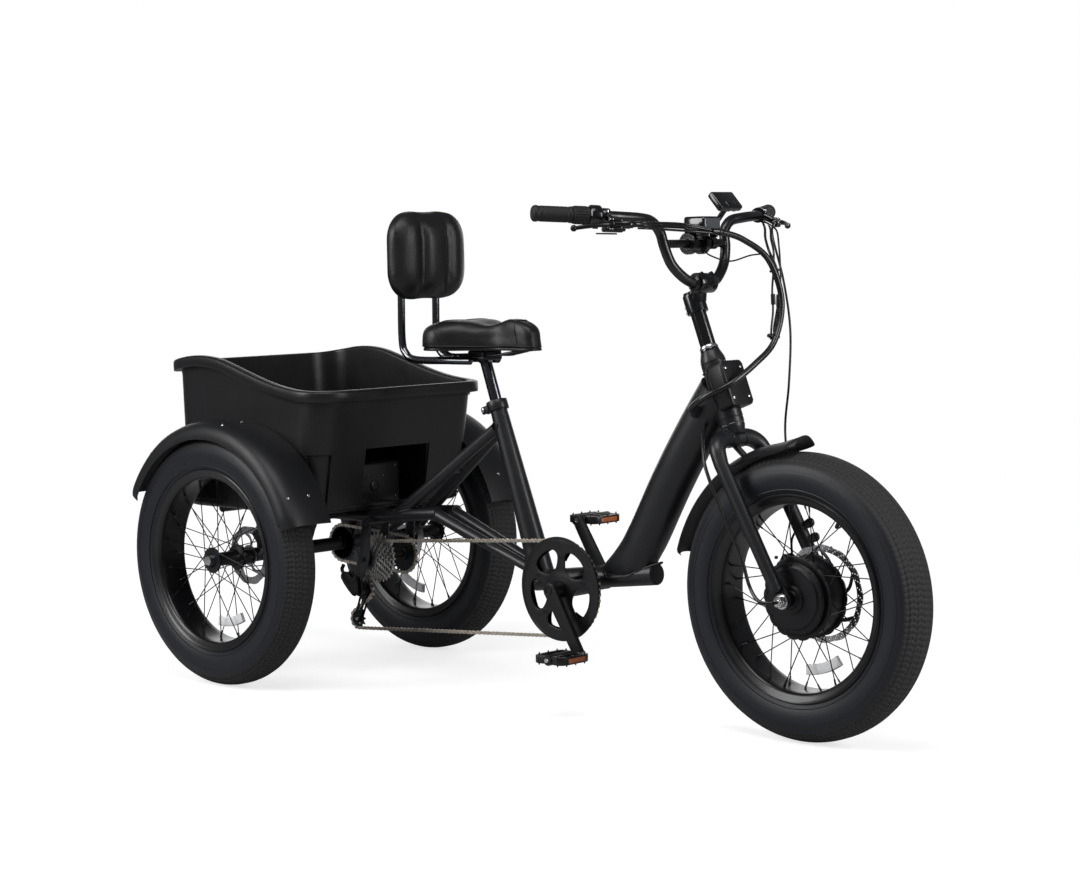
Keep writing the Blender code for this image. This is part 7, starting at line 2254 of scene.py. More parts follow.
@dataclass
class Front:
    """The display, the lamp with its clamps and the cover in front of the head tube."""

    crossbar: Vector = field(default_factory=lambda: Vector(PLAN.crossbar))
    body: str = "steering_assembly"

    def display(self) -> None:
        """Make the tilted display on its arm."""
        screen_up = (UP * 0.74 - FORWARD * 0.67).normalized()
        facing = LEFT.cross(screen_up)
        centre = Vector((0.485, 0.052, 1.098))
        turn = turn_onto(facing, LEFT, screen_up)
        form = Form().block(centre, (0.0155, 0.0715, 0.0455), turn, 0.0045)
        form.block(centre + facing * 0.003 - screen_up * 0.013, (0.014, 0.03, 0.014), turn, 0.003)
        low = Vector((self.crossbar.x, 0.055, self.crossbar.z + 0.011))
        form.sweep([low, low.lerp(centre, 0.45) + UP * 0.003, centre - screen_up * 0.01], [(0.0062, 0.0058)] * 3, 20)
        form.lathe(
            [(-0.0085, 0.0092), (-0.0085, 0.0128), (0.0085, 0.0128), (0.0085, 0.0092)], self.crossbar + LEFT * 0.055,
            LEFT, 32
        )
        form.finish("display_case", Look.SMOOTH, self.body, replaces=["display"])
        glass = Form().block(centre - facing * 0.0076, (0.001, 0.06, 0.034), turn, 0.0004)
        glass.finish("display_glass", Look.GLASS, self.body)
        keys = Form()
        for y in (-0.018, 0.0, 0.018):
            keys.block(centre - facing * 0.0079 + LEFT * y - screen_up * 0.0195, (0.0012, 0.01, 0.0034), turn, 0.0005)
        keys.finish("display_keys", Look.GRIP, self.body)

    def lamp(self) -> None:
        """Make the lamp over the crossbar with its lens, clamps and strap."""
        place = self.crossbar + Vector((0.022, -0.002, 0.038))
        form = Form().block(place, (0.0575, 0.0555, 0.0355), None, 0.006)
        form.block(place - UP * 0.019 - FORWARD * 0.006, (0.03, 0.026, 0.008), None, 0.002)
        form.finish("lamp_case", Look.GLOSS, self.body, replaces=["headlight"])
        Form().block(
            place + FORWARD * 0.0284, (0.0016, 0.046, 0.027), None, 0.0007
        ).finish("lamp_lens", Look.LAMP, self.body)
        clamps, discs = Form(), Form()
        for aside in (-0.026, 0.014):
            start = self.crossbar + LEFT * aside
            clamps.lathe(
                [
                    (0.0, 0.01), (0.0, 0.0215), (0.0014, 0.0228), (0.0126, 0.0228), (0.014, 0.0215), (0.014, 0.01),
                    (0.011, 0.0092), (0.003, 0.0092)
                ],
                start, LEFT, 56
            )
            for way, along in ((1, 0.0138), (-1, 0.0002)):
                discs.lathe(
                    [
                        (0.0, 0.0105), (0.0, 0.015), (0.0006, 0.0152), (0.0006, 0.0176), (0.0, 0.0178),
                        (-0.0004, 0.015)
                    ],
                    start + LEFT * along, LEFT * way, 48
                )
        clamps.finish("lamp_clamps", Look.SMOOTH, self.body)
        discs.finish("lamp_clamp_faces", Look.GLOSS, self.body)
        strap = Form().block(place + Vector((0.004, 0.0325, -0.004)), (0.018, 0.003, 0.044), None, 0.0012)
        strap.finish("lamp_strap", Look.GLOSS, self.body)
        edge = Form()
        for x in (-0.0095, 0.0095):
            edge.block(place + Vector((0.004 + x, 0.0326, -0.004)), (0.0012, 0.0036, 0.044), None, 0.0004)
        edge.finish("lamp_strap_edges", Look.STEEL, self.body)

    def cover(self) -> None:
        """Make the bare cover in front of the head tube, with its four screws."""
        levels = (
            (-0.131, 0.027, 0.03, 0.042), (-0.1296, 0.029, 0.033, 0.0448), (-0.123, 0.0316, 0.0374, 0.046),
            (-0.043, 0.0316, 0.0374, 0.046), (-0.035, 0.029, 0.0335, 0.0448), (-0.0334, 0.027, 0.0305, 0.042)
        )
        rings = []
        for along, half_back, half_front, front in levels:
            half, radius = [(0.004, half_back)], 0.007
            for turn in range(0, 91, 18):
                sine, cosine = math.sin(math.radians(turn)), math.cos(math.radians(turn))
                half.append((front - radius + radius * sine, half_front - radius + radius * cosine))
            corners = half + [(ahead, -aside) for ahead, aside in reversed(half)]
            rings.append([PLAN.on_steerer(along, ahead, aside) for ahead, aside in corners])
        form = Form().loft(rings, caps=True)
        form.finish("head_cover_shell", Look.PLASTIC, "frame", replaces=["head_cover"], angle=0.7)
        screws = Form()
        for along in (-0.05, -0.114):
            for aside in (-0.024, 0.024):
                screws.lathe(
                    [
                        (-0.0005, 0.0), (-0.0005, 0.0038), (0.0008, 0.0036), (0.0014, 0.0024), (0.0014, 0.0014),
                        (0.0006, 0.0012), (0.0006, 0.0)
                    ],
                    PLAN.on_steerer(along, 0.046, aside), PLAN.steer_forward, 20
                )
        screws.finish("head_cover_screws", Look.STEEL, "frame")

    def build(self) -> None:
        """Make the display, the lamp and the cover."""
        self.display()
        self.lamp()
        self.cover()


@dataclass
class Cushion:
    """A padded cover that swells under its own filling, with its seams laid on afterwards."""

    name: str
    node: str
    rings: list[list[Vector]]
    cap: float
    hard: Callable[[Vector], float]
    voxel: float = 0.0045
    pressure: float = 4.0
    ease: int = 6

    def swell(self, piece: bpy.types.Object) -> None:
        """Fill the cover by a cloth simulation and keep its result within the cap.

        Args:
            piece: The cover.
        """
        remesh = piece.modifiers.new("voxels", "REMESH")
        remesh.mode = "VOXEL"
        remesh.voxel_size = self.voxel
        graph = bpy.context.evaluated_depsgraph_get()
        mesh = bpy.data.meshes.new_from_object(piece.evaluated_get(graph))
        piece.modifiers.clear()
        piece.data = mesh
        cloth = piece.modifiers.new("cloth", "CLOTH")
        cloth.settings.use_pressure = True
        cloth.settings.uniform_pressure_force = self.pressure
        cloth.settings.effector_weights.gravity = 0.0
        for step in range(1, 21):
            bpy.context.scene.frame_set(step)
        graph = bpy.context.evaluated_depsgraph_get()
        soft = [vert.co.copy() for vert in piece.evaluated_get(graph).data.vertices]
        for vert, place in zip(mesh.vertices, soft):
            move = place - vert.co
            limit = self.cap * self.hard(vert.co)
            if move.length > limit:
                move = move.normalized() * limit
            vert.co += move
        piece.modifiers.clear()
        bpy.context.scene.frame_set(1)
        for polygon in mesh.polygons:
            polygon.use_smooth = True

    def build(self) -> bpy.types.Object:
        """Make the cushion.

        Returns:
            The cover.
        """
        form = Form().loft(self.rings, caps=True)
        bmesh.ops.triangulate(form.bm, faces=[face for face in form.bm.faces if len(face.verts) > 4])
        piece = form.finish(self.name, Look.VINYL, "seat", replaces=[self.node], angle=3.0)
        self.swell(piece)
        piece.data.materials.clear()
        piece.data.materials.append(Paintbox.get(Look.VINYL))
        smooth = piece.modifiers.new("smooth", "SMOOTH")
        smooth.factor, smooth.iterations = 0.5, self.ease
        levels = piece.modifiers.new("subdivision", "SUBSURF")
        levels.levels = levels.render_levels = 1
        graph = bpy.context.evaluated_depsgraph_get()
        mesh = bpy.data.meshes.new_from_object(piece.evaluated_get(graph))
        piece.modifiers.clear()
        piece.data = mesh
        self.tree = BVHTree.FromPolygons([v.co for v in mesh.vertices], [p.vertices for p in mesh.polygons])
        return piece

    def seam(self, form: Form, points: Sequence[Vector], radius: float, closed: bool = False) -> None:
        """Lay a cord on the cover along the points nearest to a line.

        Args:
            form: The form to draw on.
            points: The line.
            radius: The cord's radius.
            closed: Whether the line joins its own start.
        """
        line = [self.tree.find_nearest(point) for point in evenly(points, 0.0035)]
        line = [place + normal * radius * 0.25 for place, normal, _, _ in line]
        if closed:
            line = line[:-1]
        for _ in range(2):
            line = [
                (line[index - 1] + line[index] * 2 + line[(index + 1) % len(line)]) / 4
                if closed or 0 < index < len(line) - 1 else line[index] for index in range(len(line))
            ]
        form.sweep(line, radius, 8, closed=closed)


@dataclass
class Seat:
    """The saddle, the backrest and what holds them on the sliding post."""

    nose: Vector = field(default_factory=lambda: Vector((-0.011, 0.0, 0.786)))
    length: float = 0.285
    pad: Vector = field(default_factory=lambda: Vector((-0.353, 0.0, 0.9945)))

    def half_width(self, share: float) -> float:
        """Return the saddle's half width by its share of the way to the nose.

        Args:
            share: The share of the way from the tail to the nose.

        Returns:
            The half width.
        """
        wide = 0.5 + 0.5 * math.cos(math.pi * min(1.0, max(0.0, (share - 0.16) / 0.54)))
        end = math.sqrt(max(0.0, 1.0 - (2 * abs(share - 0.5)) ** 9))
        return (0.0285 + 0.0895 * wide) * (0.26 + 0.74 * end)

    def top(self, share: float) -> float:
        """Return the height of the saddle's back at a share of the way to the nose.

        Args:
            share: The share of the way from the tail to the nose.

        Returns:
            The height over the base.
        """
        dip = 0.012 * math.exp(-(((share - 0.53) / 0.13) ** 2))
        wave = 0.06 + 0.006 * math.exp(-(((share - 0.8) / 0.12) ** 2)) - dip
        end = math.sqrt(max(0.0, 1.0 - (2 * abs(share - 0.5)) ** 8))
        return wave * (0.52 + 0.48 * end)

    def saddle(self) -> None:
        """Make the saddle with its base, piping and seams."""
        half = [
            (0.4, 0.0), (0.78, 0.0), (0.9, 0.025), (0.965, 0.1), (0.992, 0.22), (1.0, 0.38), (0.992, 0.54),
            (0.965, 0.7), (0.9, 0.84), (0.78, 0.935), (0.6, 0.985), (0.38, 1.0), (0.18, 0.992)
        ]
        section = [(0.0, 0.0)] + half + [(0.0, 0.975)] + [(-across, up) for across, up in reversed(half)]

        def place(share: float, across: float, up: float) -> Vector:
            """Return a point on the saddle's skin."""
            x = self.nose.x - self.length * (1 - share)
            return Vector((x, self.half_width(share) * across, self.nose.z - 0.003 + self.top(share) * up))

        shares = [0.0, 0.008, 0.022, 0.045] + [
            0.08 + 0.84 * step / 24 for step in range(25)
        ] + [0.955, 0.978, 0.992, 1.0]
        rings = [[place(share, *point) for point in section] for share in shares]
        cushion = Cushion(
            "saddle_cover", "saddle", rings, 0.0045, lambda co: min(1.0, max(0.0, (co.z - 0.789) / 0.02))
        )
        cushion.build()
        seams = Form()
        edge = [place(share, 0.985, 0.12) for share in shares] + [
            place(share, -0.985, 0.12) for share in reversed(shares)
        ]
        cushion.seam(seams, edge + [edge[0]], 0.0014, closed=True)
        for base, lean in ((0.3, -0.085), (0.875, -0.055)):
            line = []
            for across, up in section[2:-1]:
                share = base + lean * up - (0.02 if base < 0.5 else -0.01) * (1 - across**2)
                line.append(place(share, across, up))
            cushion.seam(seams, line, 0.0012)
        seams.finish("saddle_seams", Look.SEAM, "seat")
        outline = [Vector((place(s, 0.93, 0).x, place(s, 0.93, 0).y, self.nose.z - 0.0062)) for s in shares]
        outline += [Vector((point.x, -point.y, point.z)) for point in reversed(outline)]
        Form().slab([outline], UP * 0.006, 0.001).finish("saddle_base", Look.PLASTIC, "seat")

    def rails(self) -> None:
        """Make the saddle's bent rod and the plates that hold it."""
        low, top, half = self.nose.z - 0.0175, self.nose.z - 0.0069, 0.022
        side = [
            (-0.268, half + 0.018, top), (-0.25, half + 0.012, low), (-0.205, half, low), (-0.125, half, low),
            (-0.095, half - 0.002, low + 0.004), (-0.06, half - 0.01, top - 0.001)
        ]
        points = side + [(-0.046, 0.0, top)] + [(x, -y, z) for x, y, z in reversed(side)]
        form = Form().sweep(smooth_path(points), 0.0035, 16)
        for y in (-0.04, 0.04):
            form.block((-0.266, y, top + 0.0015), (0.022, 0.016, 0.006), None, 0.002)
        form.block((-0.048, 0.0, top + 0.0015), (0.018, 0.026, 0.006), None, 0.002)
        form.finish("saddle_rods", Look.DARK, "seat", replaces=["saddle_rails"])

    def post(self) -> None:
        """Make the seatpost with its clamp head and bolts."""
        foot, top = Vector(PLAN.seat_tube_foot), Vector(PLAN.seat_tube_top)
        along = (top - foot).normalized()
        end = top + along * 0.114
        form = Form().lathe(
            [(-0.19, 0.0), (-0.19, 0.013), (-0.1885, 0.0136), (0.109, 0.0136), (0.109, 0.0)], top, along, 56
        )
        form.finish("seatpost_tube", Look.CHROME, "seat", replaces=["seatpost"])
        head = Form()
        head.block(end + Vector((0.0, 0.0, -0.001)), (0.054, 0.06, 0.0098), None, 0.003)
        head.block(end + Vector((0.0, 0.0, 0.0112)), (0.05, 0.06, 0.0072), None, 0.0024)
        head.lathe([(-0.004, 0.0), (-0.004, 0.015), (0.003, 0.0185), (0.003, 0.0)], end - along * 0.006, along, 40)
        for y in (-0.022, 0.022):
            head.tube(end + Vector((-0.026, y, 0.0058)), end + Vector((0.026, y, 0.0058)), 0.0062, 16)
        head.finish("seatpost_head", Look.DARK, "seat")
        bolts = Form()
        for x in (-0.0175, 0.0175):
            at = end + Vector((x, 0.0, 0.0148))
            bolts.lathe([(0.0, 0.0), (0.0, 0.0052), (-0.0006, 0.0052), (-0.024, 0.003), (-0.024, 0.0)], at, UP, 6)
            bolts.lathe([(0.0, 0.0), (0.0, 0.0056), (-0.0036, 0.0056), (-0.0036, 0.0)], at - UP * 0.0208, UP, 6)
        bolts.finish("seatpost_bolts", Look.STEEL, "seat")
        ring = Form().lathe(
            [
                (-0.012, 0.0196), (-0.012, 0.0236), (-0.0108, 0.0244), (0.0088, 0.0244), (0.01, 0.0236),
                (0.01, 0.0142), (0.0012, 0.0142), (0.0012, 0.0196)
            ],
            top, along, 56
        )
        back = along.cross(LEFT)
        turn = turn_onto(back, LEFT, along)
        for y in (-0.0066, 0.0066):
            ring.block(top - along * 0.001 + back * 0.0325 + LEFT * y, (0.0235, 0.0085, 0.0175), turn, 0.0028)
        ring.finish("seat_collar", Look.FRAME, "frame", replaces=["seat_clamp"])
        bolt = Form()
        at = top - along * 0.001 + back * 0.0355
        bolt.tube(at - LEFT * 0.0165, at + LEFT * 0.0165, 0.003, 20)
        bolt.lathe(
            [(0.0, 0.0), (0.0, 0.005), (0.004, 0.0046), (0.0046, 0.0036), (0.0046, 0.0)], at - LEFT * 0.0112, -LEFT,
            24
        )
        bolt.lathe([(0.0, 0.0), (0.0, 0.0052), (0.0042, 0.0052), (0.0042, 0.0)], at + LEFT * 0.0112, LEFT, 6)
        bolt.finish("seat_collar_bolt", Look.STEEL, "frame")

    def backrest(self) -> None:
        """Make the backrest's pad with its two channels, and its bent tubes."""
        half_wide, half_high, radius = 0.1165, 0.102, 0.062
        corners = []
        for way_y, way_z, start in ((1, 1, 0), (-1, 1, 90), (-1, -1, 180), (1, -1, 270)):
            for step in range(13):
                angle = math.radians(start + 90 * step / 12)
                corners.append(
                    Vector((way_y * (half_wide - radius), way_z * (half_high - radius), 0.0))
                    + Vector((math.cos(angle), math.sin(angle), 0.0)) * radius
                )
        base = evenly(corners + [corners[0]], 0.006)[:-1]

        def outline(shrink: float) -> list[tuple[float, float]]:
            """Return the rounded outline from behind, drawn in."""
            return [(point.x * (1 - shrink), point.y * (1 - shrink)) for point in base]

        rings = []
        levels = [(0.0, 0.5), (0.0, 0.16), (0.0015, 0.06), (0.006, 0.02), (0.014, 0.0), (0.026, 0.0), (0.034, 0.014)]
        levels += [
            (0.03 + 0.0285 * (1 - (1 - shrink) ** 3.0), shrink) for shrink in (step * 0.05 for step in range(1, 20))
        ]
        for depth, shrink in levels:
            ring = []
            for y, z in outline(shrink):
                groove = 0.0105 * math.exp(-(((abs(y) - 0.04) / 0.012) ** 2)) if depth > 0.034 else 0.0
                groove *= min(1.0, max(0.0, (0.101 - abs(z)) / 0.05))
                ring.append(self.pad + Vector((depth - 0.03 - groove, y, z)))
            rings.append(ring)
        cushion = Cushion(
            "backrest_cover", "backrest_pad", rings, 0.0042,
            lambda co: min(1.0, max(0.0, (co.x - self.pad.x + 0.0285) / 0.014)) * (
                1.0 - 0.85 * math.exp(-(((abs(co.y) - 0.04) / 0.012) ** 2))
            ),
            ease=22
        )
        cushion.build()
        seams = Form()
        for y in (-0.04, 0.04):
            cushion.seam(seams, [self.pad + Vector((0.034, y, z)) for z in (-0.099, -0.05, 0.0, 0.05, 0.099)], 0.0009)
        edge = [self.pad + Vector((-0.0215, y * 1.05, z * 1.05)) for y, z in outline(0.0)]
        cushion.seam(seams, edge + [edge[0]], 0.0014, closed=True)
        seams.finish("backrest_seams", Look.SEAM, "seat")
        back = self.pad.x - 0.03 - 0.0003 - 0.009 * math.cos(math.pi / 8)
        low = self.nose.z - 0.03
        tubes = Form()
        for side in (1, -1):
            path = smooth_path(
                [
                    (back, side * 0.055, self.pad.z + 0.03), (back, side * 0.055, 0.9),
                    (back, side * 0.055, low + 0.045), (back + 0.012, side * 0.055, low + 0.014),
                    (back + 0.045, side * 0.055, low), (-0.24, side * 0.052, low), (-0.18, side * 0.044, low)
                ]
            )
            tubes.sweep(path, 0.0089, 32)
        tubes.finish("backrest_tubes", Look.CHROME, "seat", replaces=["backrest_frame"])
        plate = Form().block((-0.236, 0.0, low + 0.0045), (0.03, 0.1, 0.0078), None, 0.002)
        plate.finish("backrest_bridge", Look.DARK, "seat")
        bolts = Form()
        for y in (-0.044, 0.044):
            for x in (-0.244, -0.228):
                bolts.lathe(
                    [(0.0, 0.0), (0.0, 0.0048), (0.003, 0.0046), (0.0038, 0.0034), (0.0038, 0.0)],
                    Vector((x, y * 0.8, low + 0.0082)), UP, 6
                )
        bolts.finish("backrest_bolts", Look.STEEL, "seat")

    def build(self) -> None:
        """Make the whole seat."""
        self.saddle()
        self.rails()
        self.post()
        self.backrest()


def closed_curve(points: Sequence[Sequence[float]], steps: int = 5) -> list[Vector]:
    """Return a smooth closed line through points."""
    around = [points[-1], *points, points[0], points[1]]
    return smooth_path(around, steps)[steps : steps * (len(points) + 1)]


@dataclass
class Belt:
    """A chain's line round its sprockets in an upright plane, measured by its length."""

    rounds: list[tuple[Vector, float, int]]

    def __post_init__(self) -> None:
        """Find the straight runs between the sprockets and the arcs round them."""
        flat = [(Vector((centre.x, centre.z)), radius, sense) for centre, radius, sense in self.rounds]
        headings = []
        for index, (centre, radius, sense) in enumerate(flat):
            after, after_radius, after_sense = flat[(index + 1) % len(flat)]
            way = after - centre
            headings.append(
                math.atan2(way.y, way.x) + math.asin((sense * radius - after_sense * after_radius) / way.length)
            )
        self.runs = []
        for index, (centre, radius, sense) in enumerate(flat):
            arrive, leave = headings[index - 1], headings[index]
            self.runs.append((radius * ((sense * (leave - arrive)) % math.tau), centre, radius * sense, arrive, True))
            after, after_radius, after_sense = flat[(index + 1) % len(flat)]
            side = Vector((math.sin(leave), -math.cos(leave)))
            start, end = centre + side * sense * radius, after + side * after_sense * after_radius
            self.runs.append(((end - start).length, start, 0.0, leave, False))
        self.length = sum(run[0] for run in self.runs)

    def at(self, distance: float) -> tuple[Vector, float]:
        """Return the point and the heading at a distance along the line.

        Args:
            distance: The distance from the line's start.

        Returns:
            The point, and the heading in radians.
        """
        distance %= self.length
        for reach, start, radius, heading, bent in self.runs:
            if distance <= reach:
                break
            distance -= reach
        if not bent:
            return start + Vector((math.cos(heading), math.sin(heading))) * distance, heading
        heading += distance / radius
        return start + Vector((math.sin(heading), -math.cos(heading))) * radius, heading

    def phase(self, index: int) -> float:
        """Return the direction from a sprocket's centre to a pin on it.

        Args:
            index: The sprocket's place in the line.

        Returns:
            The direction in radians.
        """
        before = sum(run[0] for run in self.runs[: 2 * index])
        pin = math.ceil(before / PLAN.chain_pitch) * PLAN.chain_pitch
        centre = self.rounds[index][0]
        place = self.at(pin)[0] - Vector((centre.x, centre.z))
        return math.atan2(place.y, place.x)


@dataclass
class Chain:
    """A roller chain: its plates, rollers and pins, one link after another."""

    name: str
    node: str
    belt: Belt
    line: float

    def plate(self, form: Form, pins: tuple[Vector, Vector], near: float, far: float, size: float) -> None:
        """Draw one waisted side plate between two pins.

        Args:
            form: The form to draw on.
            pins: The two pins' centres.
            near: The plate's near side, from side to side.
            far: Its far side.
            size: Its radius about a pin.
        """
        way = pins[1] - pins[0]
        heading = math.atan2(way.y, way.x)
        outline = []
        for pin, turn in ((pins[1], heading - math.pi / 2), (pins[0], heading + math.pi / 2)):
            for step in range(5):
                angle = turn + math.pi * step / 4
                outline.append(pin + Vector((math.cos(angle), math.sin(angle))) * size)
            side = Vector((math.cos(turn + math.pi), math.sin(turn + math.pi))) * size * 0.66
            outline.append((pins[0] + pins[1]) / 2 + side)
        form.loft([[Vector((p.x, plane, p.y)) for p in outline] for plane in (near, far)], caps=True)

    def build(self) -> None:
        """Make the chain."""
        count = round(self.belt.length / PLAN.chain_pitch)
        pins = [self.belt.at(index * self.belt.length / count)[0] for index in range(count)]
        plates, rollers = Form(), Form()
        for index in range(count):
            pair = (pins[index], pins[(index + 1) % count])
            near, far, size = ((0.0024, 0.0033, 0.0042), (0.0014, 0.0023, 0.004))[index % 2]
            for side in (1, -1):
                self.plate(plates, pair, self.line + side * near, self.line + side * far, size)
            centre = Vector((pair[0].x, self.line, pair[0].y))
            rollers.sweep([centre - LEFT * 0.0013, centre + LEFT * 0.0013], 0.0038, 10)
            rollers.sweep([centre - LEFT * 0.0037, centre + LEFT * 0.0037], 0.0018, 6)
        plates.finish(self.name + "_plates", Look.NICKEL, "frame", replaces=[self.node])
        rollers.finish(self.name + "_rollers", Look.COG, "frame")


@dataclass
class Drive:
    """The pedals, the chains and all that they turn."""

    cog_teeth: tuple = (14, 16, 18, 20, 22, 24, 28)
    cog_spacing: float = 0.005
    guard_plane: float = -0.0605

    def __post_init__(self) -> None:
        """Lay the two chains' lines."""
        self.crank, self.hub = Vector(PLAN.crank_centre), Vector(PLAN.jackshaft)
        self.guide, self.tension = Vector(PLAN.guide_pulley), Vector(PLAN.tension_pulley)
        self.main = Belt(
            [
                (self.crank, self.pitch(52), 1), (self.hub, self.pitch(20), 1), (self.guide, self.pitch(11), -1),
                (self.tension, self.pitch(11), 1)
            ]
        )
        self.drive = Belt([(self.hub, self.pitch(22), 1), (PLAN.rear_axle, self.pitch(22), 1)])

    def pitch(self, teeth: int) -> float:
        """Return the radius at which a chain's pins lie on a sprocket."""
        return teeth * PLAN.chain_pitch / math.tau

    def toothed(self, teeth: int, phase: float, centre: Vector, plane: float) -> list[Vector]:
        """Return a sprocket's outline with hooked teeth between the pins.

        Args:
            teeth: How many teeth there are.
            phase: The direction of one pin.
            centre: The sprocket's centre.
            plane: Its place from side to side.

        Returns:
            The outline's points.
        """
        middle, step = self.pitch(teeth), math.tau / teeth
        shape = (
            (0.0, -0.004), (0.17, -0.0034), (0.32, -0.0008), (0.43, 0.0026), (0.57, 0.0026), (0.68, -0.0008),
            (0.83, -0.0034)
        )
        points = []
        for tooth in range(teeth):
            for share, reach in shape:
                angle = phase + (tooth + share) * step
                points.append((math.cos(angle) * (middle + reach), math.sin(angle) * (middle + reach)))
        return upright(points, centre, plane)

    def circle(self, centre: Vector, radius: float, plane: float, steps: int, at: tuple = (0.0, 0.0)) -> list[Vector]:
        """Return a round outline about a point given by radius and angle.

        Args:
            centre: The point that the radius and angle start from.
            radius: The outline's radius.
            plane: Its place from side to side.
            steps: How many sides it has.
            at: The radius and angle of its centre.

        Returns:
            The outline's points.
        """
        middle = (at[0] * math.cos(at[1]), at[0] * math.sin(at[1]))
        points = [(middle[0] + radius * math.cos(a), middle[1] + radius * math.sin(a)) for a in full_turn(steps)]
        return upright(points, centre, plane)

    def polar(self, points: Sequence[tuple[float, float]], turn: float, plane: float) -> list[Vector]:
        """Return an outline about the crank from (radius, angle) points, turned."""
        flat = [(radius * math.cos(turn + angle), radius * math.sin(turn + angle)) for radius, angle in points]
        return upright(flat, self.crank, plane)

    def chainring(self) -> None:
        """Make the chainring with its five tabs."""
        line, turn = PLAN.chain_line, PLAN.crank_angle
        inner = []
        for middle in full_turn(5):
            inner += [(0.0615, middle + share) for share in (-0.1, 0.0, 0.1)]
            inner += [(0.069, middle + 0.15), (0.087, middle + 0.26), (0.089, middle + 0.42), (0.089, middle + 0.83)]
            inner += [(0.087, middle + math.tau / 5 - 0.26), (0.069, middle + math.tau / 5 - 0.15)]
        outer = self.toothed(52, self.main.phase(0), self.crank, line - 0.001)
        form = Form().slab([outer, closed_curve(self.polar(inner, turn, line - 0.001), 2)], LEFT * 0.002, 0.0003, 1)
        form.finish("chainring_teeth", Look.RING, "cranks", replaces=["chainring"])

    def guard(self) -> None:
        """Make the guard with five openings, its spider and bolts."""
        plane, turn = self.guard_plane, PLAN.crank_angle
        hole = [
            (0.0885, -0.22), (0.0895, 0.0), (0.0885, 0.22), (0.085, 0.385), (0.0745, 0.475), (0.06, 0.45),
            (0.048, 0.34), (0.0425, 0.17), (0.0415, 0.0), (0.0425, -0.17), (0.048, -0.34), (0.06, -0.45),
            (0.0745, -0.475), (0.085, -0.385)
        ]
        outlines = [self.circle(self.crank, 0.115, plane - 0.0015, 120)]
        for index in range(5):
            middle = turn + math.tau * (index + 0.5) / 5
            outlines.append(closed_curve(self.polar(hole, middle, plane - 0.0015), 3))
        form = Form().slab(outlines, LEFT * 0.003, 0.0006)
        form.lathe(
            [(0.0009, 0.108), (-0.0012, 0.11), (-0.0012, 0.1142), (0.0009, 0.1146)],
            self.crank + LEFT * (plane - 0.001), LEFT, 120
        )
        for angle in full_turn(5):
            outward = radial(turn + angle)
            start = self.crank + LEFT * (plane + 0.003)
            form.sweep(
                [start + outward * 0.012, start + outward * 0.045, start + outward * 0.0765],
                [(0.017, 0.0042), (0.0105, 0.004), (0.0088, 0.0034)], 20, hint=LEFT, fixed=True
            )
        form.lathe(
            [
                (-0.038, 0.009), (-0.038, 0.018), (-0.064, 0.0205), (-0.07, 0.02), (-0.085, 0.0175), (-0.09, 0.017),
                (-0.09, 0.009)
            ],
            self.crank, LEFT, 48
        )
        form.finish("crank_guard", Look.GUARD, "cranks", replaces=["crank_right"])
        bolts = Form()
        for angle in full_turn(5):
            place = self.crank + radial(turn + angle) * 0.07
            bolts.lathe(
                [
                    (0.0, 0.0), (0.0, 0.0022), (-0.0012, 0.0026), (-0.0012, 0.005), (-0.0006, 0.0058), (0.0, 0.006),
                    (0.011, 0.006), (0.011, 0.0)
                ],
                place + LEFT * (plane - 0.0016), LEFT, 28
            )
        bolts.finish("guard_bolts", Look.DARK, "cranks")

    def arm_way(self, side: int) -> tuple[str, float]:
        """Return the name of an arm's side and the angle at which it stands."""
        return ("right", PLAN.crank_angle) if side < 0 else ("left", PLAN.crank_angle + math.pi)

    def arm(self, side: int) -> None:
        """Make one crank arm with its bolt and the pedal's spindle.

        Args:
            side: 1 for left and -1 for right.
        """
        name, heading = self.arm_way(side)
        tip = (PLAN.crank_length * math.cos(heading), PLAN.crank_length * math.sin(heading))
        shape = capsule((0.0, 0.0), tip, 0.0172, 0.0138, 16)
        form = Form().slab([upright(shape, self.crank, side * 0.091 - 0.006)], LEFT * 0.012, 0.0026, 3)
        replaces = []
        if side > 0:
            replaces = ["crank_left"]
            form.lathe(
                [(0.04, 0.009), (0.04, 0.0165), (0.0415, 0.017), (0.086, 0.017), (0.09, 0.0165), (0.09, 0.009)],
                self.crank, LEFT, 48
            )
        form.finish("crank_arm_" + name, Look.ARM, "cranks", replaces=replaces)
        metal = Form()
        foot = self.crank + Vector((tip[0], 0.0, tip[1]))
        out = LEFT * side
        metal.lathe(
            [
                (0.0, 0.0), (0.0, 0.0052), (0.0062, 0.0052), (0.0066, 0.0078), (0.0074, 0.0078), (0.008, 0.006),
                (0.01, 0.006), (0.104, 0.005), (0.105, 0.0044), (0.105, 0.0)
            ],
            foot + out * 0.0905, out, 32
        )
        metal.lathe(
            [(0.0, 0.0), (0.0, 0.006), (0.0008, 0.006), (0.0008, 0.0034), (-0.0015, 0.003), (-0.0015, 0.0)],
            foot + out * 0.0846, -out, 24
        )
        if side > 0:
            metal.lathe([(-0.0378, 0.0), (-0.0378, 0.0085), (0.0405, 0.0085), (0.0405, 0.0)], self.crank, LEFT, 32)
        metal.finish("pedal_spindle_" + name, Look.STEEL, "cranks")
        cap = Form().lathe(
            [
                (0.0, 0.0), (0.0, 0.003), (-0.0016, 0.0034), (-0.0016, 0.007), (0.0004, 0.0082), (0.0016, 0.0084),
                (0.002, 0.009), (0.0, 0.0098), (-0.002, 0.0098), (-0.002, 0.0)
            ],
            self.crank + out * 0.0966, out, 32
        )
        cap.finish("crank_bolt_" + name, Look.DARK, "cranks")

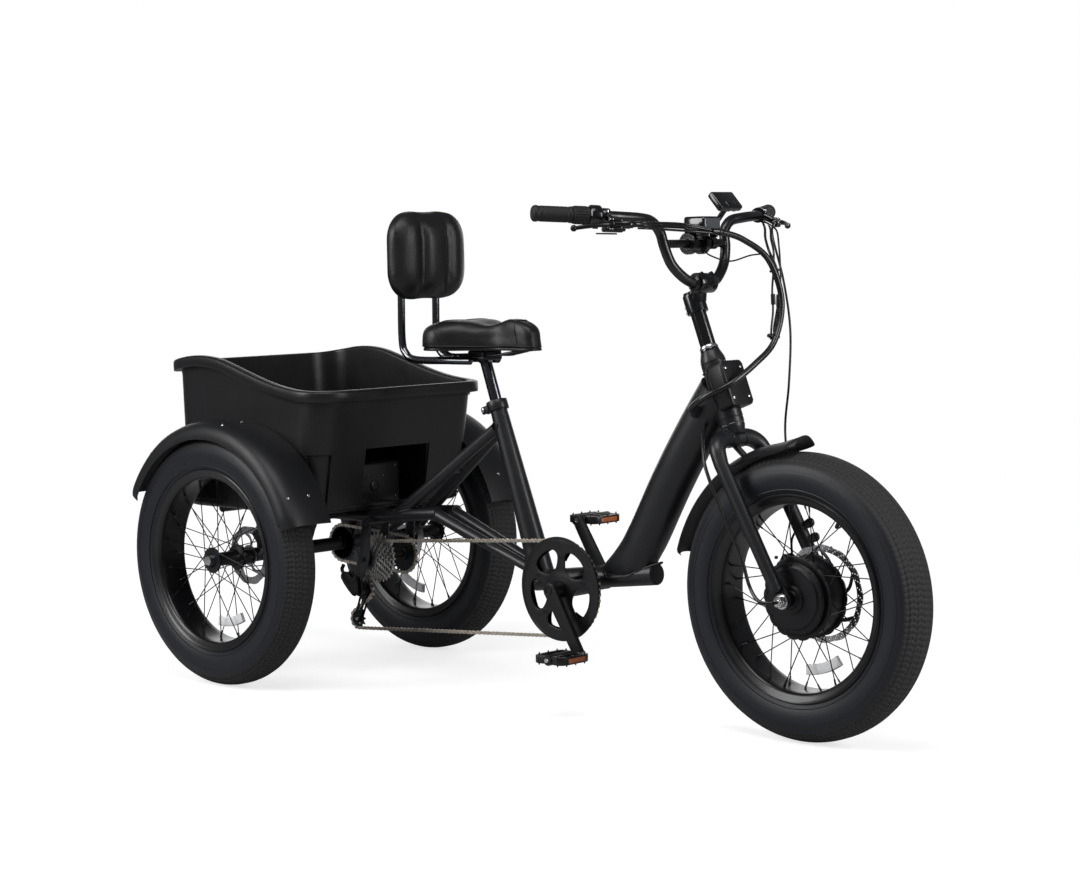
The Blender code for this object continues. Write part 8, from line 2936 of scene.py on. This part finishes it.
    def pedal(self, side: int) -> None:
        """Make a platform pedal with its pins and amber reflectors.

        Args:
            side: 1 for left and -1 for right.
        """
        name, heading = self.arm_way(side)
        centre = self.crank + Vector((math.cos(heading), 0.0, math.sin(heading))) * PLAN.crank_length
        centre += LEFT * side * (0.097 + 0.0015 + 0.047)
        body = "pedal_body_" + name
        half_x, half_y = 0.0435, 0.0465

        def at(x: float, y: float, z: float) -> Vector:
            """Return a point by its place in the pedal."""
            return centre + Vector((x, y, z))

        edge = [
            (half_x, -0.031), (half_x, 0.031), (0.0385, 0.041), (0.029, half_y), (0.01, 0.0435), (-0.01, 0.0435),
            (-0.029, half_y), (-0.0385, 0.041), (-half_x, 0.031), (-half_x, -0.031), (-0.0385, -0.041),
            (-0.029, -half_y), (-0.01, -0.0435), (0.01, -0.0435), (0.029, -half_y), (0.0385, -0.041)
        ]
        hole = [(0.0138, -0.033), (0.03, -0.035), (0.0345, -0.029), (0.0345, 0.029), (0.03, 0.035), (0.0138, 0.033)]
        flat = [edge, hole, [(-x, y) for x, y in hole]]
        outlines = [[at(x, y, -0.0085) for x, y in line] for line in flat]
        form = Form().slab(outlines, UP * 0.017, 0.0014)
        form.lathe(
            [
                (-0.0465, 0.0062), (-0.0465, 0.0106), (-0.044, 0.0116), (0.044, 0.0116), (0.0465, 0.0106),
                (0.0465, 0.0062)
            ],
            centre, LEFT, 40
        )
        for y in (-0.0145, 0.0145):
            form.block(at(0.0, y, 0.0), (0.08, 0.005, 0.012), None, 0.0012)
        form.finish("pedal_frame_" + name, Look.PEDAL, body, replaces=["pedal_" + name])
        pins = Form()
        for x, y in ((0.04, -0.028), (0.04, 0.0), (0.04, 0.028), (0.027, 0.0425), (0.0, 0.04), (-0.027, 0.0425)):
            for flip in (1, -1):
                for up in (1, -1):
                    foot = at(x * flip, y * flip, up * 0.008)
                    pins.sweep([foot, foot + UP * up * 0.0034, foot + UP * up * 0.004], (0.0017, 0.0015, 0.0008), 8)
        pins.finish("pedal_pins_" + name, Look.DARK, body)
        glass = Form()
        for way in (1, -1):
            glass.block(at(way * 0.0432, 0.0, 0.0), (0.0032, 0.052, 0.01), None, 0.001)
        glass.finish("pedal_reflectors_" + name, Look.AMBER, body)

    def cassette(self) -> None:
        """Make the seven cogs on their carrier."""
        first = PLAN.chain_line - self.cog_spacing * 3
        form = Form()
        for index, teeth in enumerate(self.cog_teeth):
            plane = first + self.cog_spacing * index - 0.0009
            inner = self.pitch(teeth) * (0.6 if teeth > 18 else 0.66)
            form.slab(
                [
                    self.toothed(teeth, self.main.phase(1), self.hub, plane),
                    self.circle(self.hub, inner * 0.86, plane, 28)
                ],
                LEFT * 0.0018
            )
            if teeth > 16:
                for arm in range(6):
                    heading = math.pi * arm / 3 + index * 0.3
                    out = radial(heading)
                    middle = self.hub + LEFT * (plane + 0.0009)
                    form.sweep(
                        [middle + out * 0.014, middle + out * inner], [(0.0035, 0.0008)] * 2, 8, hint=LEFT, fixed=True
                    )
        form.finish("cassette_cogs", Look.COG, "cogs", replaces=["cassette"])
        core = Form().lathe(
            [
                (first - 0.004, 0.0092), (first - 0.004, 0.0165), (first - 0.002, 0.0188), (first + 0.032, 0.0188),
                (first + 0.034, 0.017), (first + 0.034, 0.0092)
            ],
            self.hub, LEFT, 40
        )
        core.finish("cassette_core", Look.DARK, "cogs")

    def shafts(self) -> None:
        """Make the jackshaft and the live axle with the second chain's sprockets."""
        plane = 0.0441
        shafts = (("jackshaft", self.hub, "countershaft"), ("live_axle", PLAN.rear_axle, "rear_wheel_right"))
        for index, (node, centre, body) in enumerate(shafts):
            form = Form().slab(
                [self.toothed(22, self.drive.phase(index), centre, plane), self.circle(centre, 0.012, plane, 32)],
                LEFT * 0.0018
            )
            form.lathe(
                [
                    (0.0382, 0.007), (0.0382, 0.0155), (0.0388, 0.016), (0.0515, 0.016), (0.052, 0.0155),
                    (0.052, 0.007)
                ],
                centre, LEFT, 40
            )
            if index == 0:
                form.lathe(
                    [
                        (-0.09, 0.0), (-0.09, 0.0052), (-0.0838, 0.0054), (-0.0838, 0.0075), (0.069, 0.0075),
                        (0.07, 0.0068), (0.07, 0.0)
                    ],
                    centre, LEFT, 40
                )
            else:
                form.copy_of(node)
            form.finish(node + "_turned", Look.DARK, body, replaces=[node])

    def derailleur(self) -> None:
        """Make the derailleur's body, cage and pulleys."""
        near = PLAN.chain_line - 0.0063
        body = Form().lathe(
            [(-0.02, 0.0), (-0.02, 0.01), (-0.0185, 0.0122), (-0.003, 0.013), (-0.0004, 0.0118), (-0.0004, 0.0)],
            self.guide + LEFT * near, LEFT, 40
        )
        link = [(-0.046, 0.03), (-0.03, 0.046), (-0.012, 0.0347), (0.006, 0.0347), (0.009, 0.0), (-0.006, -0.009)]
        for inset in (0.0335, 0.019):
            body.slab([closed_curve(upright(link, self.guide, near - inset), 3)], LEFT * 0.006, 0.0012)
        for x, z in ((-0.036, 0.032), (0.0, 0.026), (-0.01, 0.006)):
            body.tube(
                self.guide + Vector((x, near - 0.034, z)), self.guide + Vector((x, near - 0.012, z)), 0.0038, 16
            )
        barrel = ((-0.04, near - 0.024, 0.034), (-0.05, near - 0.024, 0.048), (-0.046, near - 0.022, 0.06))
        body.sweep(smooth_path([self.guide + Vector(point) for point in barrel], 4), 0.0045, 12)
        body.finish("derailleur_knuckle", Look.MECH, "derailleur", replaces=["derailleur_body"])
        reach = self.tension - self.guide
        cage = Form()
        gap = 0.0045
        shape = capsule((0.0, 0.0), (reach.x, reach.z), 0.0115, 0.0095)
        window = [
            (reach.x * s + nx * 0.0042, reach.z * s + nz * 0.0042)
            for s, nx, nz in ((0.32, 0.9, -0.35), (0.68, 0.9, -0.35), (0.68, -0.9, 0.35), (0.32, -0.9, 0.35))
        ]
        for plane in (PLAN.chain_line - gap - 0.0015, PLAN.chain_line + gap):
            cage.slab(
                [upright(shape, self.guide, plane), upright(window, self.guide, plane)], LEFT * 0.0015, 0.0003, 1
            )
        cage.finish("derailleur_plates", Look.MECH, "cage", replaces=["derailleur_cage"])
        bolts = Form()
        for centre in (self.guide, self.tension):
            bolts.lathe(
                [
                    (-0.0062, 0.0), (-0.0062, 0.0016), (-0.007, 0.0018), (-0.007, 0.004), (-0.006, 0.0044),
                    (-0.006, 0.0026), (0.006, 0.0026), (0.0064, 0.004), (0.0064, 0.0)
                ],
                centre + LEFT * PLAN.chain_line, LEFT, 24
            )
        bolts.finish("pulley_bolts", Look.STEEL, "cage")
        for name, index, centre, carrier in (
            ("guide", 2, self.guide, "guide_wheel"), ("tension", 3, self.tension, "tension_wheel")
        ):
            plane = PLAN.chain_line - 0.0012
            outlines = [
                self.toothed(11, self.main.phase(index), centre, plane), self.circle(centre, 0.0037, plane, 20)
            ]
            outlines += [self.circle(centre, 0.0021, plane, 10, (0.011, angle)) for angle in full_turn(5)]
            form = Form().slab(outlines, LEFT * 0.0024)
            form.lathe(
                [(-0.003, 0.0037), (-0.003, 0.0066), (0.003, 0.0066), (0.003, 0.0037)],
                centre + LEFT * PLAN.chain_line, LEFT, 28
            )
            form.finish(name + "_pulley_wheel", Look.PLASTIC, carrier, replaces=[name + "_pulley"])

    def build(self) -> None:
        """Make the drive."""
        Chain("pedal_chain", "main_chain", self.main, PLAN.chain_line).build()
        Chain("axle_chain", "drive_chain", self.drive, 0.045).build()
        self.chainring()
        self.guard()
        for side in (-1, 1):
            self.arm(side)
            self.pedal(side)
        self.cassette()
        self.shafts()
        self.derailleur()


@dataclass
class Cable:
    """One cable or hose: its route through listed points, its diameter, and what it rides on."""

    name: str
    points: list
    diameter: float
    node: str = ""
    bend: tuple = ()

    def build(self) -> None:
        path = evenly(smooth_path(self.points), 0.005)
        form = Form().sweep(path, self.diameter / 2, 14)
        body, replaces = "" if self.bend else "steering_assembly", [self.node] if self.node else []
        piece = form.finish(self.name, Look.SHEATH, body, replaces=replaces)
        if self.bend:
            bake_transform(piece)


@dataclass
class Cables:
    """The cables from the bar to the frame, the brake and the motor, with their ties."""

    def start(self, side: int) -> Vector:
        """Return the inner end of a brake lever's cylinder.

        Args:
            side: 1 for left and -1 for right.

        Returns:
            The point.
        """
        inward, ahead, over = PLAN.grip_axes(side)
        pivot = PLAN.grip_point(0.1506, side) + ahead * 0.04 - over * 0.016
        return pivot + inward * 0.0509 + ahead * 0.004

    def collar(self, form: Form, place: Sequence[float], way: Sequence[float], radius: float, half: float) -> None:
        """Draw a band round a cable.

        Args:
            form: The form to draw on.
            place: The band's middle.
            way: The cable's way there.
            radius: The band's radius.
            half: Half its length.
        """
        form.lathe(
            [
                (-half, radius * 0.8), (-half, radius), (-half * 0.8, radius * 1.1), (half * 0.8, radius * 1.1),
                (half, radius), (half, radius * 0.8)
            ],
            Vector(place), Vector(way).normalized(), 24
        )

    def build(self) -> None:
        """Make every cable."""
        right, left = self.start(-1), self.start(1)
        inward, ahead, _ = PLAN.grip_axes(-1)
        meet = Vector((0.523, -0.012, 1.0345))
        bands, ties = Form(), Form()
        for index, (aside, lift, sag) in enumerate(
            ((0.0, 0.0, 0.0), (-0.008, 0.0055, 0.004), (0.006, -0.0065, -0.01), (-0.012, -0.002, -0.004))
        ):
            begin = right + ahead * aside + UP * lift
            Cable(
                "bar_cable_" + str(index + 1),
                [
                    begin, begin + inward * 0.025, Vector((0.495, -0.09, 1.048)) + UP * sag + ahead * aside * 0.6,
                    meet + UP * lift * 0.45 + ahead * aside * 0.25
                ],
                0.0048
            ).build()
        Cable(
            "harness_sleeve",
            [
                meet - Vector((0.006, 0.018, -0.002)), meet + Vector((0.002, 0.006, -0.001)), (0.538, 0.045, 1.018),
                (0.554, 0.108, 0.975), (0.574, 0.125, 0.89), (0.583, 0.088, 0.808), (0.58, 0.025, 0.762),
                (0.565, -0.04, 0.723), (0.525, -0.064, 0.7), (0.483, -0.0615, 0.6755), (0.474, -0.0437, 0.6648)
            ],
            0.0132, node="cable_harness", bend=((0.483, -0.0615, 0.6755), (0.574, 0.125, 0.89))
        ).build()
        self.collar(bands, meet, (0.2, 0.75, -0.1), 0.007, 0.006)
        lead = Controls(1, "left").at
        bundle = (
            [
                lead(0.153, 0.01, -0.016), (0.48, 0.19, 1.04), (0.508, 0.156, 1.02), (0.5402, 0.1271, 0.9935),
                (0.557, 0.1319, 0.9536), (0.5682, 0.1236, 0.9121), (0.57, 0.119, 0.8705), (0.572, 0.1042, 0.8295),
                (0.573, 0.096, 0.81)
            ],
            [
                lead(0.148, 0.02, -0.018), (0.49, 0.196, 1.038), (0.518, 0.162, 1.018), (0.548, 0.1326, 0.99),
                (0.551, 0.127, 0.9495), (0.557, 0.115, 0.9123), (0.561, 0.112, 0.8707), (0.567, 0.099, 0.838),
                (0.569, 0.093, 0.81)
            ],
            [
                lead(0.158, 0.014, -0.014), (0.496, 0.193, 1.046), (0.528, 0.17, 1.034), (0.553, 0.144, 1.005),
                (0.559, 0.14, 0.9701), (0.566, 0.131, 0.9244), (0.565, 0.121, 0.8745), (0.569, 0.104, 0.8336),
                (0.575, 0.099, 0.812)
            ]
        )
        for index, points in enumerate(bundle):
            Cable("left_cable_" + str(index + 1), points, (0.0058, 0.0046, 0.004)[index]).build()
        Cable(
            "lamp_wire",
            [
                (0.469, 0.003, 0.996), (0.48, 0.009, 0.986), (0.509, 0.036, 0.974), (0.536, 0.0753, 0.986),
                (0.5524, 0.1079, 0.984), (0.554, 0.126, 0.956)
            ],
            0.0034
        ).build()
        self.collar(bands, (0.569, 0.1213, 0.89), (0.05, -0.1, -1.0), 0.005, 0.013)
        self.collar(bands, (0.5605, 0.1135, 0.893), (0.1, -0.08, -1.0), 0.0045, 0.011)
        for place, way, radius in (
            ((0.5745, 0.0955, 0.817), (0.1, -0.35, -1.0), 0.0125), ((0.5575, 0.1265, 0.953), (0.2, 0.05, -1.0), 0.012)
        ):
            self.collar(ties, place, way, radius, 0.0022)
        bands.finish("cable_sockets", Look.PLASTIC, "steering_assembly")
        ties.finish("cable_ties", Look.PLASTIC, "steering_assembly")
        Cable(
            "brake_hose",
            [
                left, left + PLAN.grip_axes(1)[0] * 0.02, (0.52, 0.165, 1.025), (0.56, 0.15, 0.93),
                (0.588, 0.135, 0.83), (0.595, 0.12, 0.72), (0.59, 0.112, 0.62), (0.605, 0.11, 0.51),
                (0.63, 0.104, 0.435), (0.63, 0.08, 0.398), PLAN.front_axle + Vector((-0.0777, 0.056, 0.0747))
            ],
            0.005, node="front_brake_hose"
        ).build()
        Cable(
            "motor_lead",
            [
                (0.4944, -0.0297, 0.6379), (0.502, -0.044, 0.631), (0.52, -0.072, 0.606), (0.55, -0.1, 0.555),
                (0.603, -0.106, 0.455), (0.645, -0.108, 0.385), (0.67, -0.112, 0.325), (0.7, -0.12, 0.298),
                PLAN.front_axle + Vector((-0.001, -0.112, 0.0)), PLAN.front_axle + Vector((0.0, -0.1009, 0.0))
            ],
            0.0075, node="motor_cable", bend=((0.4944, -0.0297, 0.6379), (0.55, -0.1, 0.555))
        ).build()


@dataclass
class Studio:
    """The pale floor, the soft light and the camera."""

    fill: float = 0.135
    glow: float = 0.7
    floor_radius: float = 6.0
    lens: float = 81.05
    place: tuple = (3.70885, -3.90012, 1.02315)
    yaw: float = 2.33240224
    pitch: float = -0.079912
    roll: float = -0.0174081

    def camera(self) -> None:
        """Set the camera at the photograph's viewing angle."""
        ahead = Vector(
            (
                math.cos(self.pitch) * math.cos(self.yaw), math.cos(self.pitch) * math.sin(self.yaw),
                math.sin(self.pitch)
            )
        )
        level = Vector((math.sin(self.yaw), -math.cos(self.yaw), 0.0))
        above = level.cross(ahead)
        right = level * math.cos(self.roll) + above * math.sin(self.roll)
        above = above * math.cos(self.roll) - level * math.sin(self.roll)
        data = bpy.data.cameras.new("camera")
        data.lens = self.lens
        data.sensor_width = 36.0
        data.sensor_fit = "HORIZONTAL"
        data.clip_end = 60.0
        camera = bpy.data.objects.new("camera", data)
        turn = turn_onto(right, above, -ahead)
        camera.matrix_world = Matrix.Translation(Vector(self.place)) @ turn
        bpy.context.scene.collection.objects.link(camera)
        bpy.context.scene.camera = camera

    def lamp(
        self, name: str, place: Sequence[float], target: Sequence[float], size: Sequence[float], power: float
    ) -> None:
        """Hang one soft panel of light.

        Args:
            name: The lamp's name.
            place: Where it hangs.
            target: What it points at.
            size: The panel's sizes.
            power: Its power in watts.
        """
        data = bpy.data.lights.new(name, "AREA")
        data.shape = "RECTANGLE"
        data.size, data.size_y = size
        data.energy = power
        lamp = bpy.data.objects.new(name, data)
        away = Vector(place) - Vector(target)
        lamp.matrix_world = Matrix.Translation(Vector(place)) @ frame_of(away)
        bpy.context.scene.collection.objects.link(lamp)

    def world(self) -> None:
        """Fill the room with even light that is white where the camera sees it."""
        world = bpy.data.worlds.new("room")
        world.use_nodes = True
        graph = Graph(world.node_tree)
        seen = graph.node("ShaderNodeBackground", {}, {"Color": (1.0, 1.0, 1.0, 1.0), "Strength": 1.0})
        fill = graph.node("ShaderNodeBackground", {}, {"Color": (0.93, 0.96, 1.0, 1.0), "Strength": self.fill})
        mix = graph.node("ShaderNodeMixShader", {}, {0: graph.in_view(), 1: fill, 2: seen})
        graph.feed(graph.tree.nodes.new("ShaderNodeOutputWorld"), {"Surface": mix})
        bpy.context.scene.world = world

    def floor(self) -> None:
        """Lay the pale floor, which fades to the background far off."""
        graph = Paint("studio_floor")
        x, y, _ = graph.parts((0.0, 0.0, 0.0))
        far = ((x * x + y * y) ** 0.5).above(3.2, 3.0)
        graph.dress(Base_Color=(0.45, 0.45, 0.46, 1.0), Roughness=0.75, Specular_IOR_Level=0.25)
        bare = Signal(graph, graph.shader.outputs[0])
        glow = graph.node("ShaderNodeEmission", {}, {"Color": (1.0, 1.0, 1.0, 1.0), "Strength": self.glow})
        lit = graph.node("ShaderNodeAddShader", {}, {0: bare, 1: glow})
        near = graph.node("ShaderNodeMixShader", {}, {0: graph.in_view(), 1: bare, 2: lit})
        clear = graph.node("ShaderNodeBsdfTransparent", {}, {})
        mix = graph.node("ShaderNodeMixShader", {}, {0: far, 1: near, 2: clear})
        graph.feed(graph.output, {"Surface": mix})
        bm = bmesh.new()
        bmesh.ops.create_circle(bm, cap_ends=True, segments=96, radius=self.floor_radius)
        mesh = bpy.data.meshes.new("floor")
        bm.to_mesh(mesh)
        bm.free()
        floor = bpy.data.objects.new("floor", mesh)
        mesh.materials.append(graph.material)
        bpy.context.scene.collection.objects.link(floor)

    def build(self) -> None:
        """Set up the whole studio."""
        bpy.context.scene.view_settings.view_transform = "Standard"
        self.camera()
        self.world()
        self.floor()
        self.lamp("left_panel", (-1.9, -3.3, 2.3), (-0.1, 0.0, 0.45), (1.8, 2.4), 110.0)
        self.lamp("top_panel", (0.9, -1.3, 3.6), (0.1, 0.0, 0.3), (2.6, 1.6), 64.0)
        self.lamp("right_panel", (3.7, 0.7, 1.7), (0.4, 0.0, 0.5), (1.2, 2.0), 76.0)
        self.lamp("rear_panel", (-3.2, 3.4, 1.3), (-0.2, 0.0, 0.6), (6.0, 2.4), 68.0)


SLOT_LOOKS = {
    "frame_paint": Look.FRAME, "gloss_black": Look.GLOSS, "tub_plastic": Look.TUB, "black_plastic": Look.PLASTIC,
    "tyre_rubber": Look.GRIP, "grip_rubber": Look.GRIP, "rim_black": Look.RIM, "motor_black": Look.MOTOR,
    "steel": Look.STEEL, "dark_steel": Look.DARK, "chain_nickel": Look.NICKEL, "seat_vinyl": Look.VINYL,
    "cable_sheath": Look.SHEATH
}


def dress_solids() -> None:
    """Give every solid that stays in sight the finish of its slot."""
    for part in frame["record"]["subparts"]:
        node = frame["nodes"][part["node"]]
        if not node.hide_render:
            node.data.materials.clear()
            node.data.materials.append(Paintbox.get(SLOT_LOOKS[part["material_slot"]]))
            log.info("kept solid %s", part["node"])


def main() -> None:
    """Build the studio and then the tricycle, one sub-assembly after another."""
    logging.basicConfig(level=logging.INFO, format="%(message)s")
    Studio().build()
    axle = PLAN.rear_axle
    for name, centre, body in (
        ("front_tyre", PLAN.front_axle, "front_wheel"),
        ("rear_tyre_right", axle - LEFT * PLAN.track / 2, "rear_wheel_right"),
        ("rear_tyre_left", axle + LEFT * PLAN.track / 2, "rear_wheel_left")
    ):
        Tyre(name, centre, body).build()
        Rim(name.replace("tyre", "rim"), centre, body).build()
    RearHub("right_hub", -1, "rear_wheel_right", "rear_hub_right").build()
    RearHub("left_hub", 1, "rear_wheel_left", "rear_hub_left").build()
    HubMotor().build()
    FrontAxle().build()
    Fork().build()
    MainFrame().build()
    RearFrame().build()
    Tub().build()
    Battery().build()
    for side, name in SIDES:
        RearFender(side, "rear_fender_" + name).build()
        outward = Vector((0.75, 0.0, 0.66)).normalized()
        end = Vector((axle.x + 0.068, side * 0.2155, PLAN.rail_height - 0.009))
        Caliper("rear_caliper_" + name, axle, outward, side * 0.25, 0.071, end, "frame").build()
    FrontFender().build()
    outward = Vector((-0.866, 0.0, 0.5)).normalized()
    end = PLAN.front_axle + Vector((-0.04, 0.07, 0.066))
    Caliper("front_caliper", PLAN.front_axle, outward, 0.056, 0.1025, end, "steering_assembly").build()
    Handlebar().build()
    Controls(-1, "right").build()
    Controls(1, "left").build()
    Front().build()
    Seat().build()
    Drive().build()
    Cables().build()
    dress_solids()


if __name__ == "__main__":
    main()
